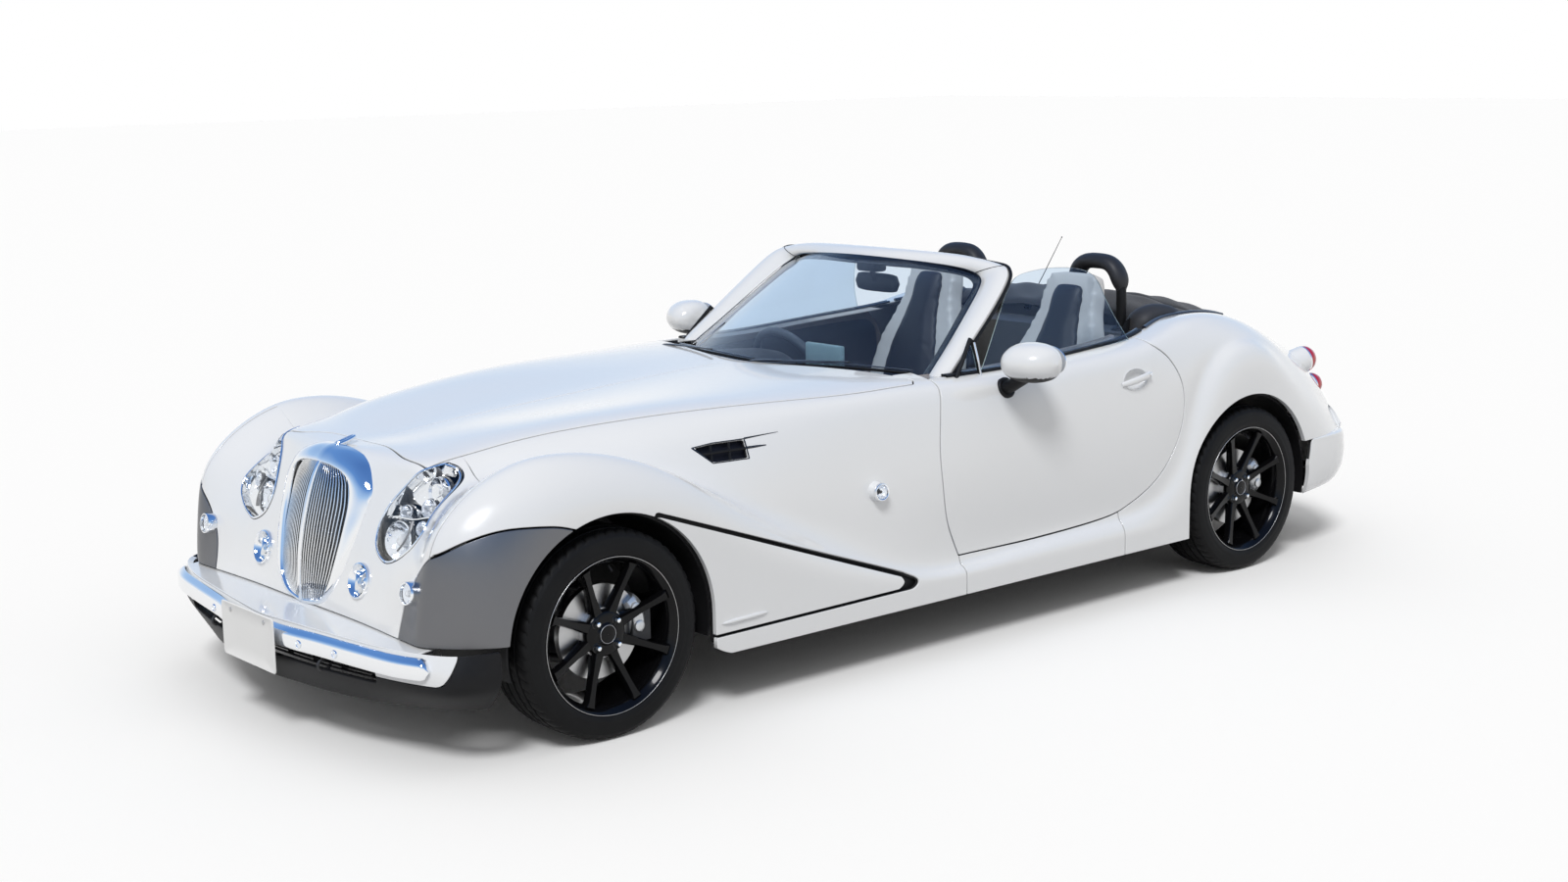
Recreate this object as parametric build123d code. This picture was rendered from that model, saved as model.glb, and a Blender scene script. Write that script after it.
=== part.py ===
"""Roadster convertible: construction model.

Millimetres. +X forward, +Y to the car's left, +Z up. The origin lies on the ground,
under the middle of the car's length and width. Left-hand pieces are modelled and
the right-hand ones mirrored from them.
"""
import os
from math import cos, hypot, radians, sin

from build123d import *

# ---------------------------------------------------------------- driving dimensions
LENGTH = 4550.0
WHEELBASE = 2900.0
FRONT_OVERHANG = 715.0
FRONT_END_X = LENGTH / 2
FRONT_AXLE_X = FRONT_END_X - FRONT_OVERHANG
REAR_AXLE_X = FRONT_AXLE_X - WHEELBASE
TRACK = 1500.0
SILL_BOTTOM_Z = 179.0

# The tables below are drawn for ends and axles at DRAWN_X. along() moves each drawn X
# to where the sizes above put it, so a longer nose, cabin or tail stretches as a whole.
DRAWN_X = (-2275.0, -1340.0, 1560.0, 2275.0)
PLACED_X = (-LENGTH / 2, REAR_AXLE_X, FRONT_AXLE_X, FRONT_END_X)


def along(x):
    """The placed X of a drawn X."""
    last = len(DRAWN_X) - 2
    i = min(sum(x > edge for edge in DRAWN_X[1:-1]), last)
    share = (x - DRAWN_X[i]) / (DRAWN_X[i + 1] - DRAWN_X[i])
    return PLACED_X[i] + share * (PLACED_X[i + 1] - PLACED_X[i])


def stations(*rows):
    """Table rows whose first column is a drawn X."""
    return [(along(row[0]), *row[1:]) for row in rows]


def outline(*points):
    """A path whose points start with a drawn X."""
    return tuple((along(point[0]), *point[1:]) for point in points)


def sections(*rows):
    """Table rows of (station, path), where the path's points start with a drawn X."""
    return [(station, outline(*path)) for station, path in rows]


# wheels
TYRE_RADIUS = 308.0
TYRE_WIDTH = 205.0
TYRE_SHOULDER = 24.0
RIM_RADIUS = 228.0
RIM_SEAT_RADIUS = 214.0
RIM_WALL = 9.0
RIM_LIP = 8.0
RIM_WIDTH = 190.0
RIM_OFFSET = 45.0
HUB_FACE_RADIUS = 78.0
HUB_FACE_DEPTH = 22.0
SPOKES = 8
SPOKE_WIDTH = 24.0
SPOKE_DEPTH = 20.0
LUG_HOLES = 4
LUG_CIRCLE_RADIUS = 50.0
LUG_HOLE_RADIUS = 8.0
HUB_CORE = 0.5
DISC_RADIUS = 140.0
DISC_THICKNESS = 22.0
DISC_HAT_RADIUS = 74.0
SHAFT_RADIUS = 16.0
STUB_RADIUS = 30.0

# steering
STEER_AXIS_Y = TRACK / 2 - 35.0
KINGPIN_RADIUS = 9.0
KINGPIN_PLAY = 0.3
ARM_EYE_RADIUS = 24.0
ARM_EYE_HEIGHT = 30.0
LOWER_ARM_Z = 200.0
UPPER_ARM_Z = 420.0
KNUCKLE_GAP = 8.0
STEERING_WHEEL_RADIUS = 180.0
STEERING_RIM_RADIUS = 15.0
STEERING_WHEEL_CENTRE = (along(-150.0), -360.0, 745.0)
STEERING_TILT = 24.0
STEERING_HUB = (52.0, 40.0, 12.0)
STEERING_SPOKE = (30.0, 10.0, 4.0)

# panels
PANEL = 22.0
HOOD_PANEL = 26.0
SHUT_GAP = 6.0
LAYER_GAP = 6.0
ARCH_RADIUS = 358.0
ARCH_INNER_Y = 500.0
INNER_REACH_Y = 560.0
OUTER_REACH_Y = 900.0
TOP_REACH_Z = 1300.0
LINER_WALL = 6.0
LINER_PLAY = 1.0
LINER_INNER_Y = 486.0

# hood, boot lid and doors
HOOD_FRONT_X = along(1892.0)
HOOD_REAR_X = along(420.0)
HOOD_REAR_SWEEP = 200.0
HOOD_HALF_REAR = 722.0
BOOT_LIP_Z = 600.0
GLASS = 5.0

# cabin
CABIN_HALF_WIDTH = 655.0
FLOOR_Z = 160.0
FLOOR_WALL = 18.0
FIREWALL_X = along(640.0)
REAR_BULKHEAD_X = along(-960.0)
REAR_WALL_HALF = CABIN_HALF_WIDTH - 40.0
TUNNEL_HALF_WIDTH = 130.0
TUNNEL_TOP_Z = 430.0

# ---------------------------------------------------------------- body tables
# Front body, one row per X station. Each pair is (y, z) on the outer surface:
# x, hood centre z, hood seam, side upper, valley, wing crest, wing outer, low edge
FRONT = stations(
    (1892, 797, (424, 788), (470, 765), (530, 725), (712, 790), (846, 690), (866, 540)),
    (1765, 808, (432, 802), (477, 780), (540, 739), (718, 826), (850, 700), (866, 540)),
    (1560, 831, (480, 842), (548, 802), (592, 757), (740, 828), (856, 705), (868, 540)),
    (1400, 840, (520, 858), (602, 802), (646, 735), (748, 790), (858, 665), (868, 179)),
    (1250, 849, (560, 868), (655, 802), (700, 694), (790, 720), (860, 620), (868, 179)),
    (1030, 862, (615, 876), (705, 802), (746, 625), (802, 590), (862, 510), (868, 179)),
    (800, 876, (665, 874), (742, 802), (782, 560), (812, 470), (864, 400), (868, 179)),
    (500, 890, (712, 864), (768, 802), (815, 520), (828, 352), (864, 300), (868, 179)),
    (140, 898, (728, 874), (792, 802), (838, 560), (834, 320), (864, 268), (868, 179)),
)
WING_START_X = along(1765.0)
WING_TIP_REAR_X = WING_START_X + 1.0
# Nose between the wing crests, one row per Y station: (x, z) from the top down
NOSE = sections(
    (0, ((1898, 800), (1940, 760), (1975, 715), (2000, 660), (2025, 600), (2046, 520), (2088, 347))),
    (160, ((1898, 797), (1930, 760), (1962, 715), (1990, 660), (2015, 600), (2044, 520), (2086, 347))),
    (300, ((1898, 793), (1920, 765), (1950, 715), (1982, 655), (2008, 595), (2040, 520), (2086, 347))),
    (424, ((1898, 786), (1908, 760), (1930, 705), (1968, 645), (2000, 590), (2042, 520), (2090, 347))),
    (438, ((1784, 795), (1840, 765), (1912, 710), (1966, 645), (2000, 590), (2042, 520), (2090, 347))),
    (540, ((1784, 736), (1840, 728), (1915, 695), (1975, 640), (2016, 590), (2054, 520), (2096, 347))),
    (640, ((1784, 784), (1865, 765), (1945, 715), (1998, 655), (2036, 600), (2070, 520), (2100, 347))),
    (697, ((1784, 810), (1870, 790), (1958, 735), (2015, 685), (2050, 640), (2080, 540), (2094, 347))),
)
# Wing tip ahead of the front wheel, one row per Y station: (x, z) from the top down
WING_TIP = sections(
    (703, ((1765, 819), (1872, 788), (1955, 738), (2014, 690), (2052, 640), (2080, 540), (2092, 330))),
    (730, ((1765, 815), (1868, 780), (1945, 735), (2000, 690), (2036, 640), (2064, 540), (2072, 330))),
    (770, ((1765, 777), (1840, 765), (1910, 730), (1965, 685), (2005, 635), (2038, 540), (2048, 330))),
    (805, ((1765, 743), (1815, 735), (1870, 710), (1920, 675), (1968, 625), (2006, 540), (2018, 330))),
    (840, ((1765, 710), (1795, 705), (1835, 690), (1870, 660), (1915, 615), (1958, 540), (1972, 330))),
    (864, ((1765, 580), (1785, 578), (1805, 570), (1825, 560), (1850, 545), (1885, 500), (1905, 330))),
)
# The dark lower wing panel lies below this line, as (x, z), and outside the second, as (y, z)
WING_SPLIT = outline((1640, 622), (1762, 655), (1890, 662), (2000, 642), (2140, 612))
NOSE_SPLIT = ((566, 300), (572, 400), (592, 470), (645, 540), (720, 606), (760, 640))
WING_PANEL_BOTTOM_Z = 352.0
# Door, one row per X station: belt, upper, middle, lower, bottom as (y, z)
DOOR = stations(
    (260, (752, 872), (800, 800), (834, 600), (834, 430), (824, 290)),
    (-100, (745, 866), (802, 795), (838, 600), (836, 430), (824, 290)),
    (-500, (762, 884), (816, 810), (842, 610), (840, 430), (826, 290)),
    (-1000, (776, 922), (824, 830), (846, 620), (844, 430), (828, 290)),
)
DOOR_OUTLINE = outline(
    (175, 1000), (228, 598), (157, 300), (-618, 300),
    (-881, 442), (-975, 608), (-979, 747), (-820, 1000),
)
# Door glass: its slope as (y, z), and its outline as (x, z)
GLASS_SLOPE = ((745, 780), (724, 880), (686, 1000), (612, 1190))
GLASS_OUTLINE = outline(
    (10, 800), (5, 862), (-348, 1172), (-522, 1180),
    (-680, 1161), (-753, 1136), (-800, 1010), (-868, 800),
)
# Rear quarter, one row per X station: inner edge, haunch, shoulder, flare crest,
# flare outer, low edge as (y, z)
QUARTER = stations(
    (-632, (700, 880), (765, 902), (812, 820), (840, 620), (850, 430), (860, 179)),
    (-985, (655, 915), (760, 930), (815, 845), (842, 640), (856, 430), (864, 179)),
    (-1160, (625, 950), (716, 960), (802, 870), (838, 765), (862, 620), (868, 179)),
    (-1340, (610, 950), (700, 944), (792, 890), (836, 838), (864, 700), (868, 179)),
    (-1500, (600, 922), (698, 902), (786, 850), (826, 795), (862, 660), (866, 450)),
    (-1700, (560, 860), (680, 806), (752, 742), (800, 690), (846, 560), (858, 450)),
    (-1900, (540, 780), (645, 716), (706, 640), (752, 570), (806, 490), (832, 450)),
    (-2035, (528, 705), (606, 640), (660, 570), (706, 520), (740, 484), (760, 450)),
)
# Boot lid: x, centre z, half width, edge z
BOOT = stations(
    (-1545, 936, 576, 914),
    (-1700, 892, 545, 866),
    (-1900, 812, 525, 786),
    (-2035, 740, 513, 714),
)
# Rear bumper, and the panel above it, plan rows by height: (x, y) from the middle out
REAR_BUMPER = sections(
    (250, ((-2215, 0), (-2185, 400), (-2095, 620), (-1950, 780), (-1650, 850))),
    (330, ((-2256, 0), (-2226, 400), (-2130, 640), (-1975, 800), (-1690, 862))),
    (441, ((-2244, 0), (-2212, 400), (-2115, 630), (-1960, 780), (-1740, 852))),
)
TAIL = sections(
    (438, ((-2156, 0), (-2130, 400), (-2086, 560), (-2058, 700), (-2044, 745))),
    (588, ((-2104, 0), (-2088, 400), (-2068, 545), (-2050, 620), (-2044, 640))),
)
# Front bumper and valance in one surface, plan rows by height
FRONT_WRAP = sections(
    (166, ((2236, 0), (2206, 243), (2160, 462), (2051, 714), (1985, 775), (1925, 806))),
    (236, ((2246, 0), (2220, 311), (2165, 600), (2100, 795), (2060, 836), (1945, 858))),
    (255, ((2244, 0), (2214, 311), (2160, 640), (2098, 800), (2082, 836), (1948, 866))),
    (300, ((2247, 0), (2216, 311), (2165, 646), (2098, 790), (2076, 834), (1950, 867))),
    (335, ((2228, 0), (2196, 311), (2146, 646), (2080, 790), (2052, 826), (1955, 868))),
)
FRONT_WRAP_DEPTH = 60.0
# the white bumper is the part of that surface ahead of and above this line, as (x, z)
WHITE_BUMPER = outline((2330, 257), (2104, 257), (2052, 345), (2330, 345))
AIR_SLOT = (575.0, 238.0, 277.0)
SHELF_REAR_X = along(2060.0)
SHELF_THICKNESS = 10.0
FRONT_BAR = outline((2262, 0), (2256, 165), (2232, 311), (2208, 485), (2182, 646), (2126, 775))
REAR_BAR = outline((-2275, 0), (-2246, 400), (-2152, 640), (-2080, 706))
FRONT_BAR_Z = (275.0, 325.0)
REAR_BAR_Z = (376.0, 421.0)
BAR_DEPTH = 14.0
BAR_TOP = (10.0, 10.0)
PLATE = (330.0, 165.0, 8.0)
PLATE_STUD = (100.0, 10.0)
FRONT_PLATE_Z = 275.0
REAR_PLATE_GAP = 6.0
REAR_PLATE_Z = 530.0

# front details
# Radiator shell from its foot to its top: outer edge, then front rim, as (x, y, z)
COLLAR = (
    ((2082, 0, 338), (2095, 0, 350)),
    ((2080, 104, 354), (2089, 92, 364)),
    ((2076, 152, 392), (2086, 132, 396)),
    ((2066, 185, 438), (2080, 152, 430)),
    ((2050, 212, 500), (2064, 170, 500)),
    ((2026, 230, 570), (2046, 182, 570)),
    ((2002, 242, 634), (2026, 186, 634)),
    ((1978, 248, 690), (2014, 184, 685)),
    ((1962, 232, 728), (2008, 170, 724)),
    ((1950, 185, 774), (2008, 138, 748)),
    ((1948, 100, 800), (2011, 80, 763)),
    ((1950, 0, 810), (2014, 0, 768)),
)
COLLAR_DEPTH = 44.0
COLLAR_PLAY = 5.0
RIM_BACK = 14.0
RIM_SHARE = 0.95
# Grille bars, from the foot up: centre x, rake of the outermost bar, half width, z
BAR_LINE = stations(
    (2096, 10, 100, 350),
    (2097, 14, 136, 400),
    (2093, 24, 162, 470),
    (2078, 34, 176, 560),
    (2058, 38, 178, 640),
    (2034, 30, 162, 712),
    (2012, 14, 118, 756),
)
BARS_PER_SIDE = 13
CENTRE_BAR_WIDTH = 13.0
BAR_WIDTH = 6.0
BAR_THICKNESS = 14.0
HEADLAMP_OUTLINE = (
    (451, 780), (408, 738), (386, 655), (395, 580), (412, 534),
    (448, 536), (492, 580), (516, 655), (512, 725), (486, 768),
)
LAMP_DEPTH = 60.0
FOG_LAMP = (*outline((2045, 291, 458)), 44.0, 70.0)
MARKER_LAMP = (*outline((2092, 649, 494)), 30.0, 30.0)
MARKER_AIM = (1, 0.1, 0.05)
SKIRT_X = (along(-626.0), along(152.0))

# rear details
TAIL_LAMPS = ((*outline((-1985, 600, 697)), 52.0), (*outline((-2035, 600, 590)), 46.0))
TAIL_LAMP_AIM = (-1, 0.12, 0.16)
TAIL_LAMP_DEPTH = 90.0
TAIL_DEPTH = 24.0
REAR_BUMPER_DEPTH = 120.0
BOOT_LIP_LEAN = 14.0

# door details
DOOR_THICKNESS = 105.0
DOOR_FLANGE = 14.0
DOOR_REACH = 1100.0
DOOR_HANDLE = (along(-728.0), 832.0, 786.0)
HANDLE_RECESS = (52.0, 24.0)
HANDLE_GRIP = (86.0, 10.0, 10.0)
GLASS_PLAY = 3.0
MIRROR_CENTRE = (along(-105.0), 925.0, 920.0)
MIRROR_SHELL = ((-95, 34), (-62, 58), (0, 68), (55, 58), (90, 30))
MIRROR_FOOT = (along(-70.0), 772.0, 872.0)
MIRROR_FOOT_RADIUS = 16.0

# screen: x middle, bow, half width, z
SCREEN = stations((340, 274, 622, 862), (-192, 114, 520, 1196))
# pillar: x, y, z, depth, width
PILLAR = stations((96, 712, 858, 62, 40), (-286, 622, 1178, 56, 40), (-312, 606, 1214, 50, 70))
# header: x, y, z
HEADER = stations((-150, 0, 1250), (-182, 300, 1243), (-240, 500, 1226), (-288, 590, 1208))
# header section, as (x, z) from its top edge
HEADER_SECTION = ((12, -38), (0, 0), (-30, -2), (-44, -30), (-20, -46))
# cowl: front x, y, front z, length, rear drop
COWL = stations((412, 0, 864, 62, 6), (358, 330, 864, 96, 8), (222, 600, 850, 130, 4))
COWL_THICKNESS = 16.0
WIPERS = (outline((372, -60, 876), (166, -540, 892)), outline((372, 90, 876), (166, 540, 892)))
WIPER_RADIUS = 6.0

# structure details
SILL_BOX = 64.0
INNER_SILL_Z = 282.0
COWL_BEAM_Z = 820.0
REAR_SHELF_Z = 900.0
SHELF_LENGTH = 160.0
POST_X = (along(250.0), along(330.0))
POST_TOP_Z = 800.0
SHEET = 8.0
APRON_Y = 478.0
APRON_Z = (262.0, 700.0)
APRON_FRONT_X = along(1780.0)
RAIL_Y = (400.0, 470.0)
RAIL_Z = (300.0, 400.0)
RAIL_FRONT_X = along(2000.0)
RAIL_TIE = 30.0
BOOT_BOX_REAR_X = along(-2020.0)
BOOT_BOX_Y = 520.0
BOOT_FLOOR_Z = 440.0
BOOT_SIDE_Z = 660.0
REAR_LINER_Y = 600.0
LINER_OUTER_Y = 838.0
LINER_BOTTOM_Z = 240.0
# engine: front x, rear x, half width, bottom, top; gearbox: length, half width, bottom, top
ENGINE = (along(1440.0), along(900.0), 225.0, 225.0, 755.0)
GEARBOX = (560.0, 104.0, 225.0, 405.0)
RADIATOR = (along(1820.0), 320.0, 300.0, 700.0, 46.0)
PROP_FRONT_X = ENGINE[1] - GEARBOX[0] - 10.0
PROP_Z = 290.0
PROP_RADIUS = 32.0
DIFF_HALF = (120.0, 120.0, 90.0)
SILENCER = (along(-2050.0), along(-1820.0), 330.0, 205.0, 400.0)
EXHAUST_PATH = outline((1250, -60, 190), (-1020, -60, 190), (-1180, -230, 190), (-1845, -230, 232))
EXHAUST_RADIUS = 24.0
EXHAUST_BEND = 60.0
TAILPIPE_Y = 300.0
TAILPIPE_X = along(-2262.0)
TAILPIPE_Z = 236.0
TAILPIPE_RADIUS = 32.0

# suspension details
TOWER_Y = (486.0, 520.0)
TOWER_TOP_Z = 640.0
TOWER_HALF = 80.0
CROSS_HALF = 90.0
CROSS_Z = (168.0, 214.0)
WISHBONES = ((LOWER_ARM_Z, 70.0, 13.0), (UPPER_ARM_Z, 60.0, 11.0))
STRUT_RADIUS = 26.0
STRUT_CAP = (50.0, 60.0, 30.0)
REAR_TOWER_Y = 440.0
REAR_CARRIER = (56.0, 50.0)
REAR_CARRIER_Y = TRACK / 2 - 38.0
# rear subframe: x ahead of the axle, z low, z high
SUBFRAME = (150.0, 210.0, 222.0, 252.0)
LINK_BACK = 160.0
LINK_INNER_Y = 260.0
LINK_Z = 235.0
LINK_RADIUS = 14.0
LINK_DROP = 45.0
STUB_PLAY = 1.0
TYRE_PLAY = 0.4
DISC_SET = 42.0
CALIPER_GAP = 5.0
# caliper: back edge and front edge behind the axle, wall, half height
CALIPER = (168.0, 96.0, 27.0, 50.0)

# cabin details
DASH = outline((560, 800), (330, 822), (30, 826), (-30, 795), (-6, 640), (90, 570), (560, 600))
DASH_HALF = CABIN_HALF_WIDTH - 25.0
COLUMN_GAP = 42.0
COLUMN = (190.0, 34.0)
CENTRE_SCREEN = (along(-20.0), along(10.0), 95.0, 800.0, 912.0)
CONSOLE_X = (along(-700.0), along(120.0))
CONSOLE_HALF = 92.0
CONSOLE_TOP_Z = 600.0
SEAT_Y = 365.0
SEAT_HALF = 232.0
SEAT_CUSHION = outline((-240, 300), (-230, 420), (-330, 440), (-740, 405), (-760, 240), (-330, 220))
# seat back: x, z, half width, depth
SEAT_BACK = stations(
    (-800, 300, 190, 110), (-860, 560, 235, 120), (-930, 860, 205, 95),
    (-960, 960, 120, 85), (-985, 1105, 110, 70),
)
# roll hoop: x, inner y, outer y, foot z, top z, lean, corner radius
HOOP = (REAR_BULKHEAD_X - 85.0, 235.0, 485.0, REAR_SHELF_Z + 2.5, 1145.0, 20.0, 70.0)
HOOP_RADIUS = 21.0
SOFT_TOP = stations((-1130, 975, 560, 930), (-1300, 1004, 585, 948), (-1528, 962, 575, 922))
SOFT_TOP_DEPTH = 60.0


# ---------------------------------------------------------------- helpers
def at_x(x, path):
    """Points of a (y, z) path at one X station."""
    return [(x, y, z) for y, z in path]


def at_y(y, path):
    """Points of an (x, z) path at one Y station."""
    return [(x, y, z) for x, z in path]


def at_z(z, path):
    """Points of an (x, y) path at one height."""
    return [(x, y, z) for x, y in path]


def inset(path, depth):
    """A path moved to the right of its own direction by depth, with mitred corners."""
    normals = []
    for (u0, v0), (u1, v1) in zip(path, path[1:]):
        length = hypot(u1 - u0, v1 - v0)
        normals.append(((v1 - v0) / length, (u0 - u1) / length))
    moved = []
    for i, (u, v) in enumerate(path):
        before = normals[max(i - 1, 0)]
        after = normals[min(i, len(normals) - 1)]
        mid_u = before[0] + after[0]
        mid_v = before[1] + after[1]
        scale = 2 * depth / (mid_u * mid_u + mid_v * mid_v)
        moved.append((u + mid_u * scale, v + mid_v * scale))
    return moved


def ring(path, depth):
    """A closed band between a path and its inset."""
    return list(path) + inset(path, depth)[::-1]


def loft_rings(rings):
    """A ruled solid through closed rings of points."""
    wires = [Wire.make_polygon([Vector(*p) for p in points], close=True) for points in rings]
    return Solid.make_loft(wires, ruled=True)


def prism(points, place, low, high):
    """A polygon drawn by place at low and lofted straight to high."""
    return loft_rings([place(low, points), place(high, points)])


def block(x_low, x_high, y_low, y_high, z_low, z_high):
    """A box between two corners."""
    centre = ((x_low + x_high) / 2, (y_low + y_high) / 2, (z_low + z_high) / 2)
    return Pos(*centre) * Box(x_high - x_low, y_high - y_low, z_high - z_low)


def rod(start, end, radius):
    """A round bar between two points."""
    a, b = Vector(*start), Vector(*end)
    plane = Plane(origin=a, z_dir=(b - a).normalized())
    return extrude(plane * Circle(radius), (b - a).length)


def drum(x, y, z, radius, width):
    """A cylinder with its axis along Y, centred at a point."""
    return Pos(x, y, z) * Rot(X=90) * Cylinder(radius, width)


def lens(centre, direction, radius, depth):
    """A short round body that faces along a direction."""
    a = Vector(*centre)
    d = Vector(*direction).normalized()
    return extrude(Plane(origin=a - d * (depth / 2), z_dir=d) * Circle(radius), depth)


def mirrored(shape):
    """The same piece on the car's other side."""
    return mirror(shape, about=Plane.XZ)


def group(*shapes):
    """Several solids that don't touch, as one node."""
    return Compound(children=[solid for shape in shapes for solid in shape.solids()])


def pair(shape):
    """A piece and its mirror image as one node."""
    return group(shape, mirrored(shape))


def largest(shape):
    """The main solid of a cut shape, without its slivers."""
    return max(shape.solids(), key=lambda solid: solid.volume)


def grow(points, distance):
    """A closed outline moved outward by distance."""
    points = list(points)
    area = sum(
        a[0] * b[1] - b[0] * a[1] for a, b in zip(points, points[1:] + points[:1])
    )
    turn = distance if area > 0 else -distance
    loop = [points[-1], *points, points[0]]
    return inset(loop, turn)[1:-1]


def skin(rows, place, depth):
    """A shell between a surface given by rows of (station, path) and its inset."""
    return loft_rings([place(station, ring(path, depth)) for station, path in rows])


def symmetric(path):
    """A path of (x, y, ...) from the middle out, continued on the car's other side."""
    return [(u, -v, *rest) for u, v, *rest in path[:0:-1]] + list(path)


def crossed(half):
    """A path of (y, z) from the middle out, continued on the car's other side."""
    return [(-y, z) for y, z in half[:0:-1]] + list(half)


def plan_rows(table):
    """Front plan rows, whole across the car, with their outer face on the outside."""
    return [(z, symmetric(path)[::-1]) for z, path in table]


def left_side(points):
    """An (x, z) outline as a cutter through the car's left side."""
    return prism(points, at_y, INNER_REACH_Y, OUTER_REACH_Y)


def wheel_space(axle_x):
    """The space round a left wheel, open downwards."""
    low, high = ARCH_INNER_Y, OUTER_REACH_Y
    around = drum(axle_x, (low + high) / 2, TYRE_RADIUS, ARCH_RADIUS, high - low)
    return around + block(axle_x - ARCH_RADIUS, axle_x + ARCH_RADIUS, low, high, -SHUT_GAP, TYRE_RADIUS)


def both_wheel_spaces(axle_x):
    space = wheel_space(axle_x)
    return space + mirrored(space)


def door_hole(distance):
    """The door's outline, grown by a distance, as a cutter through the left side."""
    return left_side(grow(DOOR_OUTLINE, distance))


# ---------------------------------------------------------------- body panels
def hood():
    """The bonnet: a thin crowned panel with its rear edge swept to the screen."""
    rows = []
    for x, centre, (ys, zs), side, *_ in FRONT:
        half = [(0, centre), (0.45 * ys, (centre + zs) / 2 + 10), (0.82 * ys, zs + 12), (ys, zs)]
        rows.append((x, crossed([*half, side])))
    panel = skin(rows, at_x, HOOD_PANEL)
    return panel & hood_outline() & hood_seam(0)


def hood_seam(distance):
    """A tall prism inside the hood's side and front shut lines."""
    side = [(row[0], row[2][0] + distance) for row in FRONT]
    side[0] = (HOOD_FRONT_X + distance, side[0][1])
    plan = side + [(x, -y) for x, y in side[::-1]]
    return prism(plan, at_z, FLOOR_Z, TOP_REACH_Z)


def hood_outline():
    """A tall prism over the hood's plan, its rear edge an arc."""
    rear_side = HOOD_REAR_X - HOOD_REAR_SWEEP
    half = HOOD_HALF_REAR
    arc = ThreePointArc((rear_side, -half), (HOOD_REAR_X, 0), (rear_side, half))
    rest = Polyline((rear_side, half), (HOOD_FRONT_X, half), (HOOD_FRONT_X, -half), (rear_side, -half))
    face = make_face([arc, *rest.edges()])
    return extrude(face, TOP_REACH_Z)


def wing_shell():
    """The whole left front wing and body side, before it is split into panels."""
    rows = []
    for x, _, seam, *rest in FRONT[1:]:
        rows.append((x, [(0.9 * seam[0], seam[1] + 6), seam, *rest]))
    side = skin(rows, at_x, PANEL)
    tip = skin(WING_TIP, at_y, PANEL)
    shell = (side - hood_seam(SHUT_GAP)) + tip
    return shell - wheel_space(FRONT_AXLE_X)


def wing_split(distance):
    """The region of the dark lower panel, ahead of the front wheel."""
    line = [(x, z - distance) for x, z in WING_SPLIT]
    ends = [(line[-1][0], 0), (line[0][0], 0)]
    return prism(line + ends, at_y, ARCH_INNER_Y, OUTER_REACH_Y)


def nose_split(distance):
    """The region outside the white nose's lower side edge, seen from the front."""
    line = [(y + distance, z) for y, z in NOSE_SPLIT]
    ends = [(OUTER_REACH_Y, line[-1][1]), (OUTER_REACH_Y, line[0][1])]
    return prism(line + ends, at_x, FRONT_AXLE_X, FRONT_END_X)


def fender_left():
    behind = block(0, SKIRT_X[1] + SHUT_GAP, INNER_REACH_Y, OUTER_REACH_Y, 0, TOP_REACH_Z)
    return wing_shell() - wing_split(-SHUT_GAP) - door_hole(SHUT_GAP) - behind


def lower_wing_panel():
    """The dark panel from the wheel arch round to the nose."""
    base = block(ARCH_INNER_Y, FRONT_END_X, ARCH_INNER_Y, OUTER_REACH_Y, 0, WING_PANEL_BOTTOM_Z)
    corner_rows = [row for row in NOSE if ARCH_INNER_Y < row[0]]
    corner = skin([*corner_rows, *WING_TIP[1:]], at_y, PANEL)
    side = wing_shell() & block(0, WING_TIP_REAR_X, 0, OUTER_REACH_Y, 0, TOP_REACH_Z)
    shell = corner - wheel_space(FRONT_AXLE_X) + side
    centre, radius, depth = MARKER_LAMP
    lamp = lens(centre, MARKER_AIM, radius + COLLAR_PLAY, 3 * depth)
    return (shell & wing_split(0) & nose_split(0)) - base - lamp


def nose_rows():
    rows = [(y, list(path)) for y, path in NOSE]
    return [(-y, path) for y, path in rows[:0:-1]] + rows


def collar_hole(distance):
    """The opening for the radiator shell, inside or outside its outer edge."""
    half = [(y, z) for (_, y, z), _ in COLLAR]
    loop = half + [(-y, z) for y, z in half[-2:0:-1]]
    return prism(grow(loop, distance), at_x, FRONT_AXLE_X, FRONT_END_X)


def nose_fascia():
    """The white front panel between the wings, cut for the lamps and the grille."""
    panel = skin(nose_rows(), at_y, PANEL) - collar_hole(COLLAR_PLAY) - hood_seam(SHUT_GAP)
    corner = nose_split(-SHUT_GAP) & wing_split(-SHUT_GAP)
    lamp = prism(grow(HEADLAMP_OUTLINE, LAYER_GAP), at_x, FRONT_AXLE_X, FRONT_END_X)
    centre, radius, depth = FOG_LAMP
    fog = lens(centre, (1, 0, 0), radius + LAYER_GAP, 2 * depth)
    for cutter in (corner, lamp, fog):
        panel -= cutter
        panel -= mirrored(cutter)
    return largest(panel)


def front_lamps():
    """Head, fog and marker lamps of both sides."""
    band = skin(nose_rows(), at_y, LAMP_DEPTH)
    head = band & prism(HEADLAMP_OUTLINE, at_x, WING_START_X + LAMP_DEPTH / 2, FRONT_END_X)
    centre, radius, depth = FOG_LAMP
    fog = lens(centre, (1, 0, 0), radius, depth)
    centre, radius, depth = MARKER_LAMP
    marker = lens(centre, MARKER_AIM, radius, depth)
    return pair(group(head, fog, marker))


def front_wrap():
    """The bumper and valance as one wrapped skin, open behind the air slot."""
    wrap = skin(plan_rows(FRONT_WRAP), at_z, FRONT_WRAP_DEPTH)
    half, low, high = AIR_SLOT
    slot = block(FRONT_AXLE_X, FRONT_END_X, -half, half, low, high)
    return wrap - slot - both_wheel_spaces(FRONT_AXLE_X)


def white_zone(distance):
    """The part of the wrapped skin that is the white bumper."""
    return prism(grow(WHITE_BUMPER, distance), at_y, -OUTER_REACH_Y, OUTER_REACH_Y)


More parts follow.
